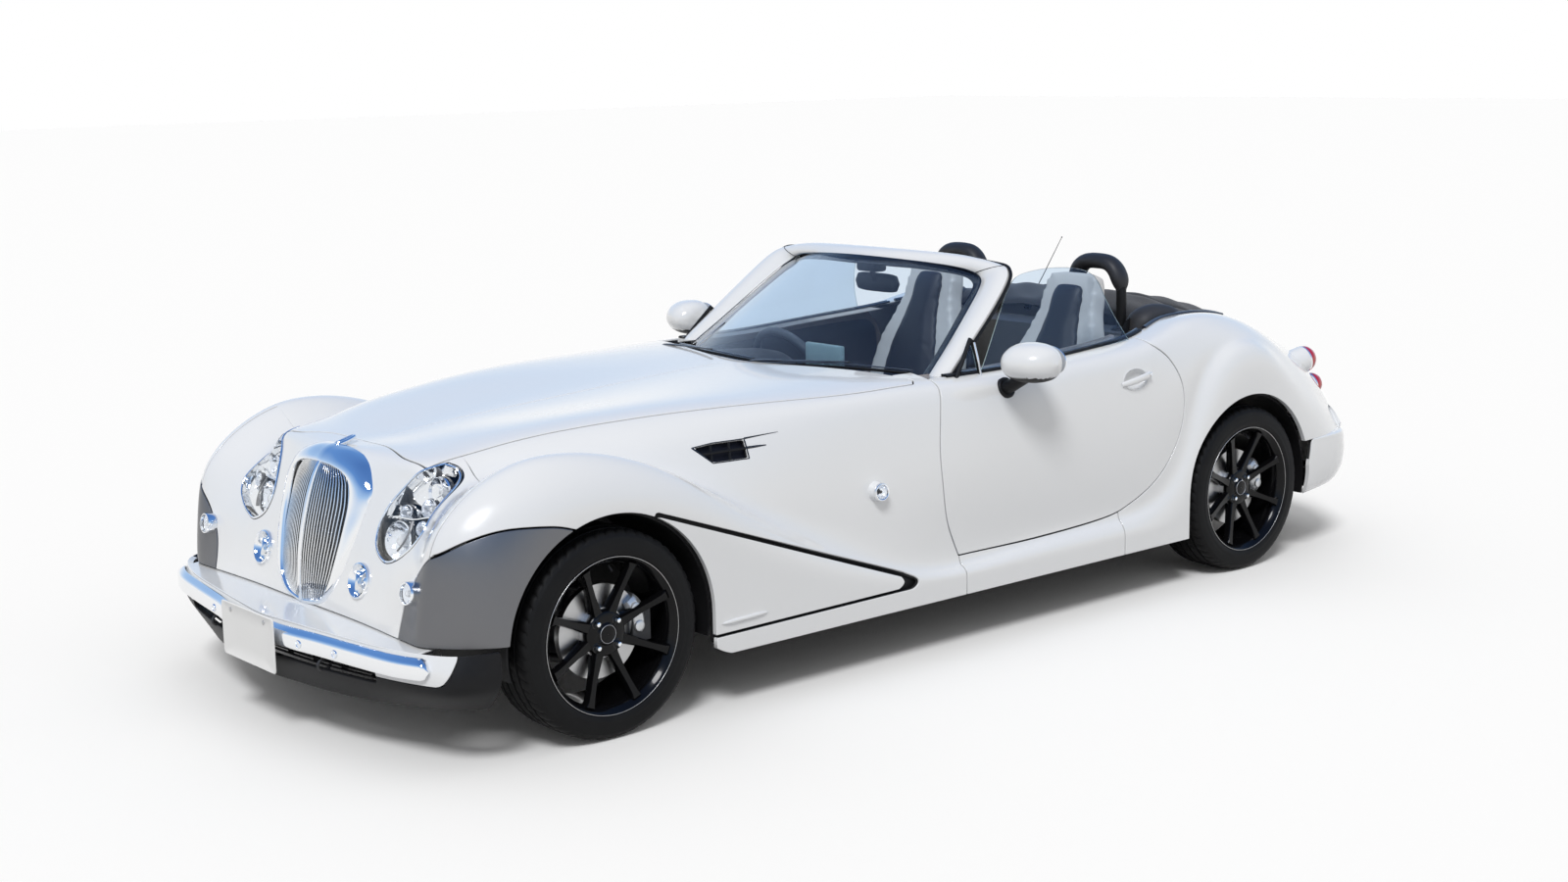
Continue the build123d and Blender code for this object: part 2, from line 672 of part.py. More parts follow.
def bumper_cover():
    """The white bumper with the shelf that joins it to the nose."""
    top_z, top_path = FRONT_WRAP[-1]
    front = inset(symmetric(top_path[:-1])[::-1], SHELF_THICKNESS)
    plan = [*front, (SHELF_REAR_X, front[-1][1]), (SHELF_REAR_X, front[0][1])]
    shelf = prism(plan, at_z, top_z - SHELF_THICKNESS, top_z)
    return (front_wrap() & white_zone(0)) + (shelf - both_wheel_spaces(FRONT_AXLE_X))


def lower_valance():
    """The black apron under the bumper and the corners behind its ends."""
    return front_wrap() - white_zone(LAYER_GAP / 2)


def bumper_bar(path, heights):
    """A bright bar with an upright face and a top that slopes back."""
    low, high = heights
    back, rise = BAR_TOP
    return skin([(low, path), (high, path), (high + rise, inset(path, back))], at_z, BAR_DEPTH)


def bumper_bars():
    """Both bars, the front one with the two studs that carry the number plate."""
    front = bumper_bar(symmetric(FRONT_BAR)[::-1], FRONT_BAR_Z)
    y, radius = PLATE_STUD
    z = sum(FRONT_BAR_Z) / 2
    for side in (-y, y):
        front += rod((FRONT_BAR[1][0] - BAR_DEPTH / 2, side, z), (FRONT_END_X - PLATE[2], side, z), radius)
    return group(front, bumper_bar(symmetric(REAR_BAR), REAR_BAR_Z))


def collar_half():
    """The left half of the bright shell round the grille."""
    rings = []
    middle_z = (COLLAR[0][1][2] + COLLAR[-1][1][2]) / 2
    for outer, rim in COLLAR:
        x, y, z = rim
        inner = (x - RIM_BACK, y * RIM_SHARE, middle_z + (z - middle_z) * RIM_SHARE)
        back = outer[0] - COLLAR_DEPTH
        rings.append([(back, *outer[1:]), outer, rim, inner, (back, *inner[1:])])
    return loft_rings(rings)


def grille():
    """The radiator shell with its upright bars."""
    half = collar_half()
    shell = half + mirrored(half)
    bars = []
    for i in range(-BARS_PER_SIDE, BARS_PER_SIDE + 1):
        width = BAR_WIDTH if i else CENTRE_BAR_WIDTH
        bars.append(grille_bar(i / BARS_PER_SIDE, width))
    return shell + bars


def grille_bar(share, width):
    """One upright bar, at a share of the grille's half width."""
    rings = []
    for x, rake, half, z in BAR_LINE:
        y = share * half
        front = x - rake * abs(share) ** 2
        back = front - BAR_THICKNESS
        rings.append([
            (front, y - width / 6, z), (front, y + width / 6, z),
            (back, y + width / 2, z), (back, y - width / 2, z),
        ])
    return loft_rings(rings)


def side_skirts():
    """The sills below the doors."""
    path = [(792, 292), (826, 284), (860, 262), (868, 240), (868, SILL_BOTTOM_Z)]
    rows = [(x, path) for x in SKIRT_X]
    return pair(skin(rows, at_x, PANEL))


def quarter_left():
    """The rear wing: haunch, flare and the body side behind the door."""
    rows = [(row[0], list(row[1:])) for row in QUARTER]
    shell = skin(rows, at_x, PANEL) - wheel_space(REAR_AXLE_X)
    return largest(shell - door_hole(SHUT_GAP) - tail_lamp_holes())


def tail_lamp_holes():
    """The two round holes for the left tail lamps."""
    return [
        lens(centre, TAIL_LAMP_AIM, radius + LAYER_GAP, 2.5 * TAIL_LAMP_DEPTH)
        for centre, radius in TAIL_LAMPS
    ]


def boot_lid():
    rows = []
    for x, centre, half, edge in BOOT:
        path = [(0, centre), (0.5 * half, centre * 0.7 + edge * 0.3), (0.85 * half, edge + 8), (half, edge)]
        rows.append((x, crossed(path)))
    lid = skin(rows, at_x, PANEL)
    x, centre, half, edge = BOOT[-1]
    lip_rows = []
    for y in (-half, -half / 2, 0, half / 2, half):
        top = edge + (centre - edge) * (1 - abs(y) / half)
        back = x - BOOT_LIP_LEAN
        lip_rows.append((y, [(x + 1, top), (back - 6, top - 40), (back - 12, BOOT_LIP_Z)]))
    lip = skin([(y, path[::-1]) for y, path in lip_rows], at_y, PANEL)
    return lid + lip


def tail_panel():
    """The rear panel and bumper below the lid, with the studs of the number plate."""
    panel = skin([(z, symmetric(path)) for z, path in TAIL], at_z, TAIL_DEPTH)
    bumper = skin([(z, symmetric(path)) for z, path in REAR_BUMPER], at_z, REAR_BUMPER_DEPTH)
    shell = panel + bumper
    for side in (-TAILPIPE_Y, TAILPIPE_Y):
        shell -= rod(
            (SILENCER[1], side, TAILPIPE_Z), (TAILPIPE_X - TAILPIPE_RADIUS, side, TAILPIPE_Z),
            TAILPIPE_RADIUS + LAYER_GAP,
        )
    for cutter in tail_lamp_holes():
        shell -= cutter
        shell -= mirrored(cutter)
    wing_end_x = QUARTER[-1][0] - LAYER_GAP
    bumper_top_z = REAR_BUMPER[-1][0] + 2
    shell -= block(wing_end_x, REAR_AXLE_X, -OUTER_REACH_Y, OUTER_REACH_Y, bumper_top_z, TOP_REACH_Z)
    shell = largest(shell - both_wheel_spaces(REAR_AXLE_X))
    y, radius = PLATE_STUD
    plate_x = rear_plate_x()
    for side in (-y, y):
        shell += rod((plate_x + TAIL_DEPTH * 2, side, REAR_PLATE_Z), (plate_x, side, REAR_PLATE_Z), radius)
    return shell


def rear_plate_x():
    """The front face of the rear number plate, behind the tail panel's foot."""
    return TAIL[0][1][0][0] - REAR_PLATE_GAP


def tail_lamps():
    lamps = [lens(centre, TAIL_LAMP_AIM, radius, TAIL_LAMP_DEPTH) for centre, radius in TAIL_LAMPS]
    return pair(group(*lamps))


# ---------------------------------------------------------------- doors
def door_shell():
    rows = [(row[0], list(row[1:])) for row in DOOR]
    outer = skin(rows, at_x, PANEL) & door_hole(0)
    inner_rows = [(x, inset(path, PANEL - 1)) for x, path in rows]
    inner = skin(inner_rows, at_x, DOOR_THICKNESS - PANEL) & door_hole(-DOOR_FLANGE)
    return outer + inner


def glass_plate(distance):
    """The door window's sloped sheet, thickened by a distance on each face."""
    start = inset(GLASS_SLOPE, -distance)
    rows = [(x, start) for x in (-DOOR_REACH, DOOR_REACH)]
    return skin(rows, at_x, GLASS + 2 * distance)


def door_left():
    """The door with its handle, and a slot for the window."""
    x, y, z = DOOR_HANDLE
    radius, depth = HANDLE_RECESS
    recess = lens(DOOR_HANDLE, (0, 1, 0), radius, depth)
    slot = glass_plate(GLASS_PLAY) & block(-DOOR_REACH, DOOR_REACH, INNER_REACH_Y, OUTER_REACH_Y, z, TOP_REACH_Z)
    half, width, height = HANDLE_GRIP
    face = y + depth / 2
    grip = block(x - half, x + half, face - 14, face + 2, z - height, z + height)
    for end in (x - half + width, x + half - width):
        grip += block(end - width, end + width, y - depth, face + 2, z - height, z + height)
    return door_shell() - recess - slot + grip


def door_glass_left():
    return glass_plate(0) & left_side(GLASS_OUTLINE)


def mirror_left():
    """The door mirror: an egg-shaped shell on a foot that stands on the door."""
    x, y, z = MIRROR_CENTRE
    wires = []
    for offset, radius in MIRROR_SHELL:
        plane = Plane(origin=(x, y + offset, z), z_dir=(0, 1, 0))
        wires.append(plane * Circle(radius).wire())
    shell = Solid.make_loft(wires, ruled=True)
    near_offset, near_radius = MIRROR_SHELL[1]
    foot = rod(MIRROR_FOOT, (x, y + near_offset, z - near_radius / 2), MIRROR_FOOT_RADIUS)
    return shell + foot


# ---------------------------------------------------------------- screen and cowl
def screen_ring(x_mid, bow, half, z, depth):
    """A bowed band in plan, at one height."""
    x_side = x_mid - bow
    outer = ThreePointArc((x_side, -half), (x_mid, 0), (x_side, half))
    inner = ThreePointArc((x_side - depth, -half), (x_mid - depth, 0), (x_side - depth, half))
    ends = [Line((x_side, half), (x_side - depth, half)), Line((x_side - depth, -half), (x_side, -half))]
    face = make_face([outer, inner, *ends])
    return Pos(0, 0, z) * face.faces()[0].outer_wire()


def windshield_glass():
    wires = [screen_ring(*row, GLASS) for row in SCREEN]
    return Solid.make_loft(wires, ruled=True)


def windshield_frame():
    """The two screen pillars and the header."""
    rings = []
    for x, y, z, depth, width in PILLAR:
        rings.append([
            (x, y, z), (x - depth, y, z), (x - depth, y - width, z), (x, y - width, z),
        ])
    post = loft_rings(rings)
    header = []
    for x, y, z in symmetric(HEADER):
        header.append([(x + forward, y, z + up) for forward, up in HEADER_SECTION])
    return post + mirrored(post) + loft_rings(header)


def cowl():
    """The black panel between the hood and the screen."""
    rings = []
    for x, y, z, length, drop in symmetric(COWL):
        top = [(x, z), (x - length, z - drop)]
        below = [(u, w - COWL_THICKNESS) for u, w in top[::-1]]
        rings.append(at_y(y, top + below))
    return loft_rings(rings)


def wipers():
    return group(*[rod(start, end, WIPER_RADIUS) for start, end in WIPERS])


# ---------------------------------------------------------------- structure
def tub():
    """The pressed floor, tunnel, sills, bulkheads and rear shelf in one body."""
    w = FLOOR_WALL
    half = CABIN_HALF_WIDTH
    rear, front = REAR_BULKHEAD_X, FIREWALL_X
    floor = block(rear, front, -half - w, half + w, FLOOR_Z, FLOOR_Z + w)
    tunnel = block(rear, front, -TUNNEL_HALF_WIDTH, TUNNEL_HALF_WIDTH, FLOOR_Z, TUNNEL_TOP_Z)
    inner = TUNNEL_HALF_WIDTH - w
    bore = block(rear - 2 * w, front + w, -inner, inner, FLOOR_Z - w, TUNNEL_TOP_Z - w)
    sill = block(rear, front, half, half + SILL_BOX, FLOOR_Z, INNER_SILL_Z)
    firewall = block(front - w, front, -half, half, FLOOR_Z, COWL_BEAM_Z)
    rear_wall = block(rear - w, rear, -REAR_WALL_HALF, REAR_WALL_HALF, FLOOR_Z, REAR_SHELF_Z)
    shelf = block(rear - SHELF_LENGTH, rear, -REAR_WALL_HALF, REAR_WALL_HALF, REAR_SHELF_Z - w, REAR_SHELF_Z)
    post = block(*POST_X, half - w, half + SILL_BOX, FLOOR_Z, POST_TOP_Z)
    body = floor + tunnel + firewall + rear_wall + shelf + sill + mirrored(sill) + post + mirrored(post)
    return body - bore


def front_frame():
    """The two rails and aprons that carry the engine bay, with their front tie."""
    apron = block(FIREWALL_X, APRON_FRONT_X, APRON_Y - SHEET, APRON_Y, *APRON_Z)
    rail = block(FIREWALL_X, RAIL_FRONT_X, *RAIL_Y, *RAIL_Z)
    tie = block(RAIL_FRONT_X - RAIL_TIE, RAIL_FRONT_X, -RAIL_Y[1], RAIL_Y[1], *RAIL_Z)
    return rail + apron + mirrored(rail) + mirrored(apron) + tie


def boot_box():
    """The boot's floor and low side walls."""
    front, rear = REAR_BULKHEAD_X - FLOOR_WALL, BOOT_BOX_REAR_X
    floor = block(rear, front, -BOOT_BOX_Y, BOOT_BOX_Y, BOOT_FLOOR_Z, BOOT_FLOOR_Z + FLOOR_WALL)
    side = block(rear, front, BOOT_BOX_Y - SHEET, BOOT_BOX_Y, BOOT_FLOOR_Z, BOOT_SIDE_Z)
    return floor + side + mirrored(side)


def wheel_liners(axle_x, inner_y):
    """The black arch linings over one axle's wheels."""
    outer = ARCH_RADIUS - LINER_PLAY
    middle = (inner_y + LINER_OUTER_Y) / 2
    width = LINER_OUTER_Y - inner_y
    tube = drum(axle_x, middle, TYRE_RADIUS, outer, width)
    tube -= drum(axle_x, middle, TYRE_RADIUS, outer - LINER_WALL, 2 * width)
    tube -= block(axle_x - ARCH_RADIUS, axle_x + ARCH_RADIUS, 0, OUTER_REACH_Y, -ARCH_RADIUS, LINER_BOTTOM_Z)
    return pair(tube)


def engine():
    """One plain block, with its gearbox behind it."""
    front, rear, half, low, high = ENGINE
    length, case_half, case_low, case_high = GEARBOX
    case = block(rear - length, rear, -case_half, case_half, case_low, case_high)
    return block(rear, front, -half, half, low, high) + case


def radiator():
    x, half, low, high, depth = RADIATOR
    return block(x, x + depth, -half, half, low, high)


def driveline():
    """The propeller shaft and the rear differential."""
    half_x, half_y, half_z = DIFF_HALF
    case = block(
        REAR_AXLE_X - half_x, REAR_AXLE_X + half_x, -half_y, half_y,
        TYRE_RADIUS - half_z, TYRE_RADIUS + half_z,
    )
    return rod((PROP_FRONT_X, 0, PROP_Z), (REAR_AXLE_X + half_x / 2, 0, TYRE_RADIUS), PROP_RADIUS) + case


def exhaust():
    """The silencer, its pipe and the two tailpipes."""
    rear, front, half, low, high = SILENCER
    can = block(rear, front, -half, half, low, high)
    path = FilletPolyline(*EXHAUST_PATH, radius=EXHAUST_BEND)
    pipe = sweep(Plane(origin=EXHAUST_PATH[0], z_dir=path % 0) * Circle(EXHAUST_RADIUS), path=path)
    start = (rear + SHEET, TAILPIPE_Y, TAILPIPE_Z)
    tip = rod(start, (TAILPIPE_X, TAILPIPE_Y, TAILPIPE_Z), TAILPIPE_RADIUS)
    return can + pipe + tip + mirrored(tip)


def eye(z):
    """The bearing eye at the outer end of a front arm."""
    bore = Cylinder(KINGPIN_RADIUS + KINGPIN_PLAY, 2 * ARM_EYE_HEIGHT)
    return Pos(FRONT_AXLE_X, STEER_AXIS_Y, z) * (Cylinder(ARM_EYE_RADIUS, ARM_EYE_HEIGHT) - bore)


def wishbone(z, spread, radius):
    """Two bars from the inner mounts to the eye."""
    end_y = STEER_AXIS_Y - (ARM_EYE_RADIUS + KINGPIN_RADIUS) / 2
    piece = eye(z)
    for side in (-spread, spread):
        piece += rod((FRONT_AXLE_X + side, TOWER_Y[1] - SHEET, z), (FRONT_AXLE_X, end_y, z), radius)
    return piece


def front_suspension():
    """Crossmember, towers, double wishbones and spring struts."""
    x = FRONT_AXLE_X
    inner, outer = TOWER_Y
    cross = block(x - CROSS_HALF, x + CROSS_HALF, -outer, outer, *CROSS_Z)
    side = block(x - TOWER_HALF, x + TOWER_HALF, inner, outer, CROSS_Z[0], TOWER_TOP_Z)
    for z, spread, radius in WISHBONES:
        side += wishbone(z, spread, radius)
    half, reach, depth = STRUT_CAP
    top_y = outer + reach / 3
    foot_y = (outer + STEER_AXIS_Y) / 2 - SHEET
    side += rod((x, foot_y, LOWER_ARM_Z), (x, top_y, TOWER_TOP_Z - depth / 2), STRUT_RADIUS)
    side += block(x - half, x + half, inner, outer + reach, TOWER_TOP_Z - depth, TOWER_TOP_Z)
    return cross + side + mirrored(side)


def rear_suspension():
    """Subframe, links, struts and the fixed hub carriers."""
    x, y, z = REAR_AXLE_X, REAR_CARRIER_Y, TYRE_RADIUS
    front, far_front, low, high = SUBFRAME
    beam_x = x + (front + far_front) / 2
    sub = block(x + front, x + far_front, -REAR_TOWER_Y, REAR_TOWER_Y, low, high)
    radius, width = REAR_CARRIER
    side = drum(x, y, z, radius, width)
    foot = (x, y, z - LINK_DROP)
    rear_pivot = (x - LINK_BACK, LINK_INNER_Y, LINK_Z)
    side += rod((beam_x, REAR_TOWER_Y - 20, LINK_Z), foot, LINK_RADIUS)
    side += rod(rear_pivot, foot, LINK_RADIUS)
    side += rod((beam_x, LINK_INNER_Y, LINK_Z), rear_pivot, LINK_RADIUS)
    side += rod((beam_x, REAR_TOWER_Y - 20, LINK_Z), (x, y, z + LINK_DROP), LINK_RADIUS - 2)
    strut_x = x + 30
    side += rod((strut_x, y - 4, z + 40), (strut_x, INNER_REACH_Y, TOWER_TOP_Z), STRUT_RADIUS)
    side -= drum(x, y, z, STUB_RADIUS + STUB_PLAY, 400)
    return sub + side + mirrored(side)


# ---------------------------------------------------------------- wheels and steering
def wheel_centre(axle_x):
    return axle_x, TRACK / 2, TYRE_RADIUS


def spin(profile, axle_x):
    """A profile of (y from the wheel's middle plane, radius) turned about the axle."""
    x, y, z = wheel_centre(axle_x)
    points = [(x, y + offset, z + radius) for offset, radius in profile]
    face = make_face(Polyline(*points, close=True))
    return revolve(face, Axis((x, 0, z), (0, 1, 0)))


def tyre_left(axle_x):
    half = TYRE_WIDTH / 2
    s = TYRE_SHOULDER
    bead = RIM_WIDTH / 2 - RIM_LIP - TYRE_PLAY
    over_lip = RIM_RADIUS + 3
    side = [
        (half - s, TYRE_RADIUS - 3), (half - s / 3, TYRE_RADIUS - s / 2), (half, TYRE_RADIUS - s * 1.6),
        (half, over_lip + 14), (bead, over_lip), (bead, RIM_SEAT_RADIUS),
    ]
    profile = [(-y, radius) for y, radius in side[::-1]] + [(0, TYRE_RADIUS)] + side
    return spin(profile, axle_x)


def rim_left(axle_x):
    """A cast rim: barrel, hub disc and slender paired spokes."""
    half = RIM_WIDTH / 2
    seat = RIM_SEAT_RADIUS - TYRE_PLAY
    well = seat - RIM_WALL
    lip = RIM_LIP
    barrel = spin([
        (-half, well), (-half, RIM_RADIUS), (-half + lip, RIM_RADIUS), (-half + lip, seat),
        (half - lip, seat), (half - lip, RIM_RADIUS), (half, RIM_RADIUS), (half, well),
    ], axle_x)
    back, front = RIM_OFFSET, RIM_OFFSET + HUB_FACE_DEPTH
    hub = spin([
        (back, HUB_CORE), (back, HUB_FACE_RADIUS), (back + HUB_FACE_DEPTH * 0.6, HUB_FACE_RADIUS),
        (front, HUB_FACE_RADIUS - 14), (front, HUB_CORE),
    ], axle_x)
    x, y, z = wheel_centre(axle_x)
    wheel = barrel + hub
    for i in range(SPOKES):
        wheel += Pos(x, y, z) * Rot(Y=i * 360 / SPOKES) * Pos(-x, -y, -z) * spoke(axle_x)
    for i in range(LUG_HOLES):
        turn = radians(45 + i * 360 / LUG_HOLES)
        wheel -= drum(
            x + LUG_CIRCLE_RADIUS * cos(turn), y + front,
            z + LUG_CIRCLE_RADIUS * sin(turn), LUG_HOLE_RADIUS, HUB_FACE_DEPTH * 1.2,
        )
    return wheel


def spoke(axle_x):
    """One upright spoke, from the hub disc to the barrel."""
    x, y, z = wheel_centre(axle_x)
    inner, outer = HUB_FACE_RADIUS - 12, RIM_SEAT_RADIUS - TYRE_PLAY - RIM_WALL / 2
    w = SPOKE_WIDTH / 2
    rings = []
    for radius, y_front, width in ((inner, RIM_OFFSET + HUB_FACE_DEPTH - 1, w), (outer, RIM_WIDTH / 2 - 2, w * 0.8)):
        front = y + y_front
        back = front - SPOKE_DEPTH
        rings.append([
            (x - width, front, z + radius), (x + width, front, z + radius),
            (x + width, back, z + radius), (x - width, back, z + radius),
        ])
    return loft_rings(rings)


def disc_left(axle_x, with_shaft):
    """The brake disc and hub; at the rear with its drive shaft."""
    back = RIM_OFFSET - DISC_SET
    face = RIM_OFFSET - STUB_PLAY / 2
    profile = [
        (face, HUB_CORE), (face, DISC_HAT_RADIUS), (back + DISC_THICKNESS, DISC_HAT_RADIUS),
        (back + DISC_THICKNESS, DISC_RADIUS), (back, DISC_RADIUS), (back, DISC_HAT_RADIUS - SHEET),
        (RIM_OFFSET - SHEET, DISC_HAT_RADIUS - SHEET), (RIM_OFFSET - SHEET, HUB_CORE),
    ]
    disc = spin(profile, axle_x)
    if with_shaft:
        x, y, z = wheel_centre(axle_x)
        stub_end_y = REAR_CARRIER_Y - REAR_CARRIER[1]
        disc += rod((x, y + RIM_OFFSET - SHEET + 1, z), (x, stub_end_y, z), STUB_RADIUS)
        disc += rod((x, stub_end_y + SHEET, z), (x, DIFF_HALF[1] + STUB_PLAY * 3, z), SHAFT_RADIUS)
    return disc


def knuckle_left():
    """The steered upright with its king pins, bearing nose and brake caliper."""
    x, y, z = wheel_centre(FRONT_AXLE_X)
    low = LOWER_ARM_Z + ARM_EYE_HEIGHT / 2 + KNUCKLE_GAP
    high = UPPER_ARM_Z - ARM_EYE_HEIGHT / 2 - KNUCKLE_GAP
    back_x, front_x, wall, half = CALIPER
    body = block(x - 26, x + 26, STEER_AXIS_Y - 22, STEER_AXIS_Y + 20, low, high)
    nose = drum(x, STEER_AXIS_Y + 34, z, 40, 56)
    pins = rod(
        (x, STEER_AXIS_Y, LOWER_ARM_Z - ARM_EYE_HEIGHT / 2), (x, STEER_AXIS_Y, UPPER_ARM_Z + ARM_EYE_HEIGHT / 2),
        KINGPIN_RADIUS,
    )
    disc_back = y + RIM_OFFSET - DISC_SET
    inner_y = disc_back - CALIPER_GAP
    outer_y = disc_back + DISC_THICKNESS + CALIPER_GAP
    end_y = outer_y + 16
    inner = block(x - back_x, x - front_x, inner_y - wall, inner_y, z - half, z + half)
    outer = block(x - back_x, x - front_x - SHEET, outer_y, end_y, z - half, z + half)
    bridge = block(x - back_x, x - DISC_RADIUS - 6, inner_y - wall, end_y, z - half, z + half)
    arm = block(x - front_x - 14, x - 20, inner_y - wall, inner_y - 6, z - 30, z + 30)
    return body + nose + pins + inner + outer + bridge + arm


def steering_wheel():
    """A three-spoke wheel on its hub, facing the driver."""
    plane = Plane(
        origin=STEERING_WHEEL_CENTRE, x_dir=(0, 1, 0),
        z_dir=(-cos(radians(STEERING_TILT)), 0, sin(radians(STEERING_TILT))),
    )
    hub_radius, hub_depth, hub_back = STEERING_HUB
    wheel = Torus(STEERING_WHEEL_RADIUS, STEERING_RIM_RADIUS)
    wheel += Pos(0, 0, -hub_back) * Cylinder(hub_radius, hub_depth)
    width, thickness, spoke_back = STEERING_SPOKE
    for turn in (0, 180, 270):
        arm = Pos(STEERING_WHEEL_RADIUS / 2, 0, -spoke_back) * Box(STEERING_WHEEL_RADIUS, width, thickness)
        wheel += Rot(Z=turn) * arm
    return plane.location * wheel


# ---------------------------------------------------------------- cabin
def dashboard():
    """The dash with its column shroud, screen and centre console."""
    dash = prism(DASH, at_y, -DASH_HALF, DASH_HALF)
    ahead, down = cos(radians(STEERING_TILT)), sin(radians(STEERING_TILT))
    x, y, z = STEERING_WHEEL_CENTRE
    length, radius = COLUMN
    ends = [(x + reach * ahead, y, z - reach * down) for reach in (COLUMN_GAP, COLUMN_GAP + length)]
    column = rod(*ends, radius)
    rear, front, half, low, high = CENTRE_SCREEN
    screen = block(rear, front, -half, half, low, high)
    console = block(*CONSOLE_X, -CONSOLE_HALF, CONSOLE_HALF, TUNNEL_TOP_Z + LAYER_GAP, CONSOLE_TOP_Z)
    return dash + column + screen + console


def seat():
    """One bucket seat: cushion, back and head in one shape."""
    cushion = prism(SEAT_CUSHION, at_y, SEAT_Y - SEAT_HALF, SEAT_Y + SEAT_HALF)
    rings = []
    for x, z, half, depth in SEAT_BACK:
        rings.append([
            (x, SEAT_Y - half, z), (x + depth, SEAT_Y - half, z),
            (x + depth, SEAT_Y + half, z), (x, SEAT_Y + half, z),
        ])
    return cushion + loft_rings(rings)


def seats():
    return pair(seat())


def roll_hoops():
    """The two hoops behind the seats, standing on the rear shelf."""
    x, y_in, y_out, foot, top, lean, bend = HOOP
    corners = ((x, y_in, foot), (x - lean, y_in, top), (x - lean, y_out, top), (x, y_out, foot))
    path = FilletPolyline(*corners, radius=bend)
    hoop = sweep(Plane(origin=corners[0], z_dir=path % 0) * Circle(HOOP_RADIUS), path=path)
    return pair(hoop)


def soft_top():
    """The folded roof, stowed behind the seats under its own crowned panel."""
    rows = []
    for x, centre, half, edge in SOFT_TOP:
        path = [(0, centre), (0.5 * half, centre - 6), (0.85 * half, edge + 10), (half, edge)]
        rows.append((x, crossed(path)))
    return skin(rows, at_x, SOFT_TOP_DEPTH)


def number_plate(x_front, z):
    """A blank plate, its face at an X."""
    width, height, depth = PLATE
    return block(x_front - depth, x_front, -width / 2, width / 2, z - height / 2, z + height / 2)


def number_plates():
    return group(number_plate(FRONT_END_X, FRONT_PLATE_Z), number_plate(rear_plate_x(), REAR_PLATE_Z))


# ---------------------------------------------------------------- export
def parts():
    made = {
        "hood": hood(),
        "nose_fascia": nose_fascia(),
        "front_lamps": front_lamps(),
        "grille": grille(),
        "bumper_cover": bumper_cover(),
        "bumper_bars": bumper_bars(),
        "lower_valance": lower_valance(),
        "lower_wing_panels": pair(lower_wing_panel()),
        "side_skirts": side_skirts(),
        "boot_lid": boot_lid(),
        "tail_panel": tail_panel(),
        "tail_lamps": tail_lamps(),
        "windshield_frame": windshield_frame(),
        "windshield_glass": windshield_glass(),
        "cowl": cowl(),
        "wipers": wipers(),
        "tub": tub(),
        "front_frame": front_frame(),
        "boot_box": boot_box(),
        "front_wheel_liners": wheel_liners(FRONT_AXLE_X, LINER_INNER_Y),
        "rear_wheel_liners": wheel_liners(REAR_AXLE_X, REAR_LINER_Y),
        "engine": engine(),
        "radiator": radiator(),
        "driveline": driveline(),
        "exhaust": exhaust(),
        "front_suspension": front_suspension(),
        "rear_suspension": rear_suspension(),
        "steering_wheel": steering_wheel(),
        "dashboard": dashboard(),
        "seats": seats(),
        "roll_hoops": roll_hoops(),
        "soft_top": soft_top(),
        "number_plates": number_plates(),
    }
    handed = {
        "fender": fender_left(),
        "quarter": quarter_left(),
        "door": door_left(),
        "door_glass": door_glass_left(),
        "mirror": mirror_left(),
        "knuckle": knuckle_left(),
    }
    for end, axle_x in (("front", FRONT_AXLE_X), ("rear", REAR_AXLE_X)):
        handed[f"tyre_{end}"] = tyre_left(axle_x)
        handed[f"rim_{end}"] = rim_left(axle_x)
        handed[f"disc_{end}"] = disc_left(axle_x, end == "rear")
    for name, piece in handed.items():
        made[f"{name}_left"] = piece
        made[f"{name}_right"] = mirrored(piece)
    return made


os.makedirs("parts", exist_ok=True)
for name, piece in parts().items():
    export_step(piece, f"parts/{name}.step")
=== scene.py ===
"""Roadster convertible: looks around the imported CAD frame.

Metres, in the CAD frame: +X forward, +Y to the car's left, +Z up, ground at z = 0.
The left half of each shape is written in the tables and the right half mirrored.
"""
import math
from types import SimpleNamespace

import bmesh
import bpy
import numpy as np
from mathutils import Matrix, Vector


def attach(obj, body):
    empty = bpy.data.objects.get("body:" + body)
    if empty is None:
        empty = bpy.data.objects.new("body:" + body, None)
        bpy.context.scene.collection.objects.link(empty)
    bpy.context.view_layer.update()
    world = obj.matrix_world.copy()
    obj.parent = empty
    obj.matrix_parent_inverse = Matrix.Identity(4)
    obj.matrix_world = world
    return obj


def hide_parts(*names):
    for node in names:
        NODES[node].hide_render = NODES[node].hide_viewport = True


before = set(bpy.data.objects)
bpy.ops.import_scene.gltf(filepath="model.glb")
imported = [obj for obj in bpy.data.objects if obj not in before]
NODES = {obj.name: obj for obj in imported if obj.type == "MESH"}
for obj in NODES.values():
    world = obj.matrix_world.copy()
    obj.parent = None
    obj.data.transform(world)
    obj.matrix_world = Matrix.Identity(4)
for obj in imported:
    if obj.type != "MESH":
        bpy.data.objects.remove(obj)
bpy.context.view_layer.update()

# ---------------------------------------------------------------- places
FRONT_AXLE = (1.56, 0.308)
REAR_AXLE = (-1.34, 0.308)
WHEEL_Y = 0.75
ARCH = 0.358
SEAM = 0.0022          # half a shut gap
HEM = 0.0022           # radius of a panel's rounded edge
SILL_Z = 0.179
DOOR_TOP = 1.1         # above every belt line
MIRROR = np.array([1.0, -1.0, 1.0])
SIDES = ((1, "left"), (-1, "right"))
X, Y, Z = 0, 1, 2
XY, XZ, YZ = [X, Y], [X, Z], [Y, Z]
SHARP_ANGLE, SLAB_SHARP_ANGLE = math.radians(40), math.radians(50)


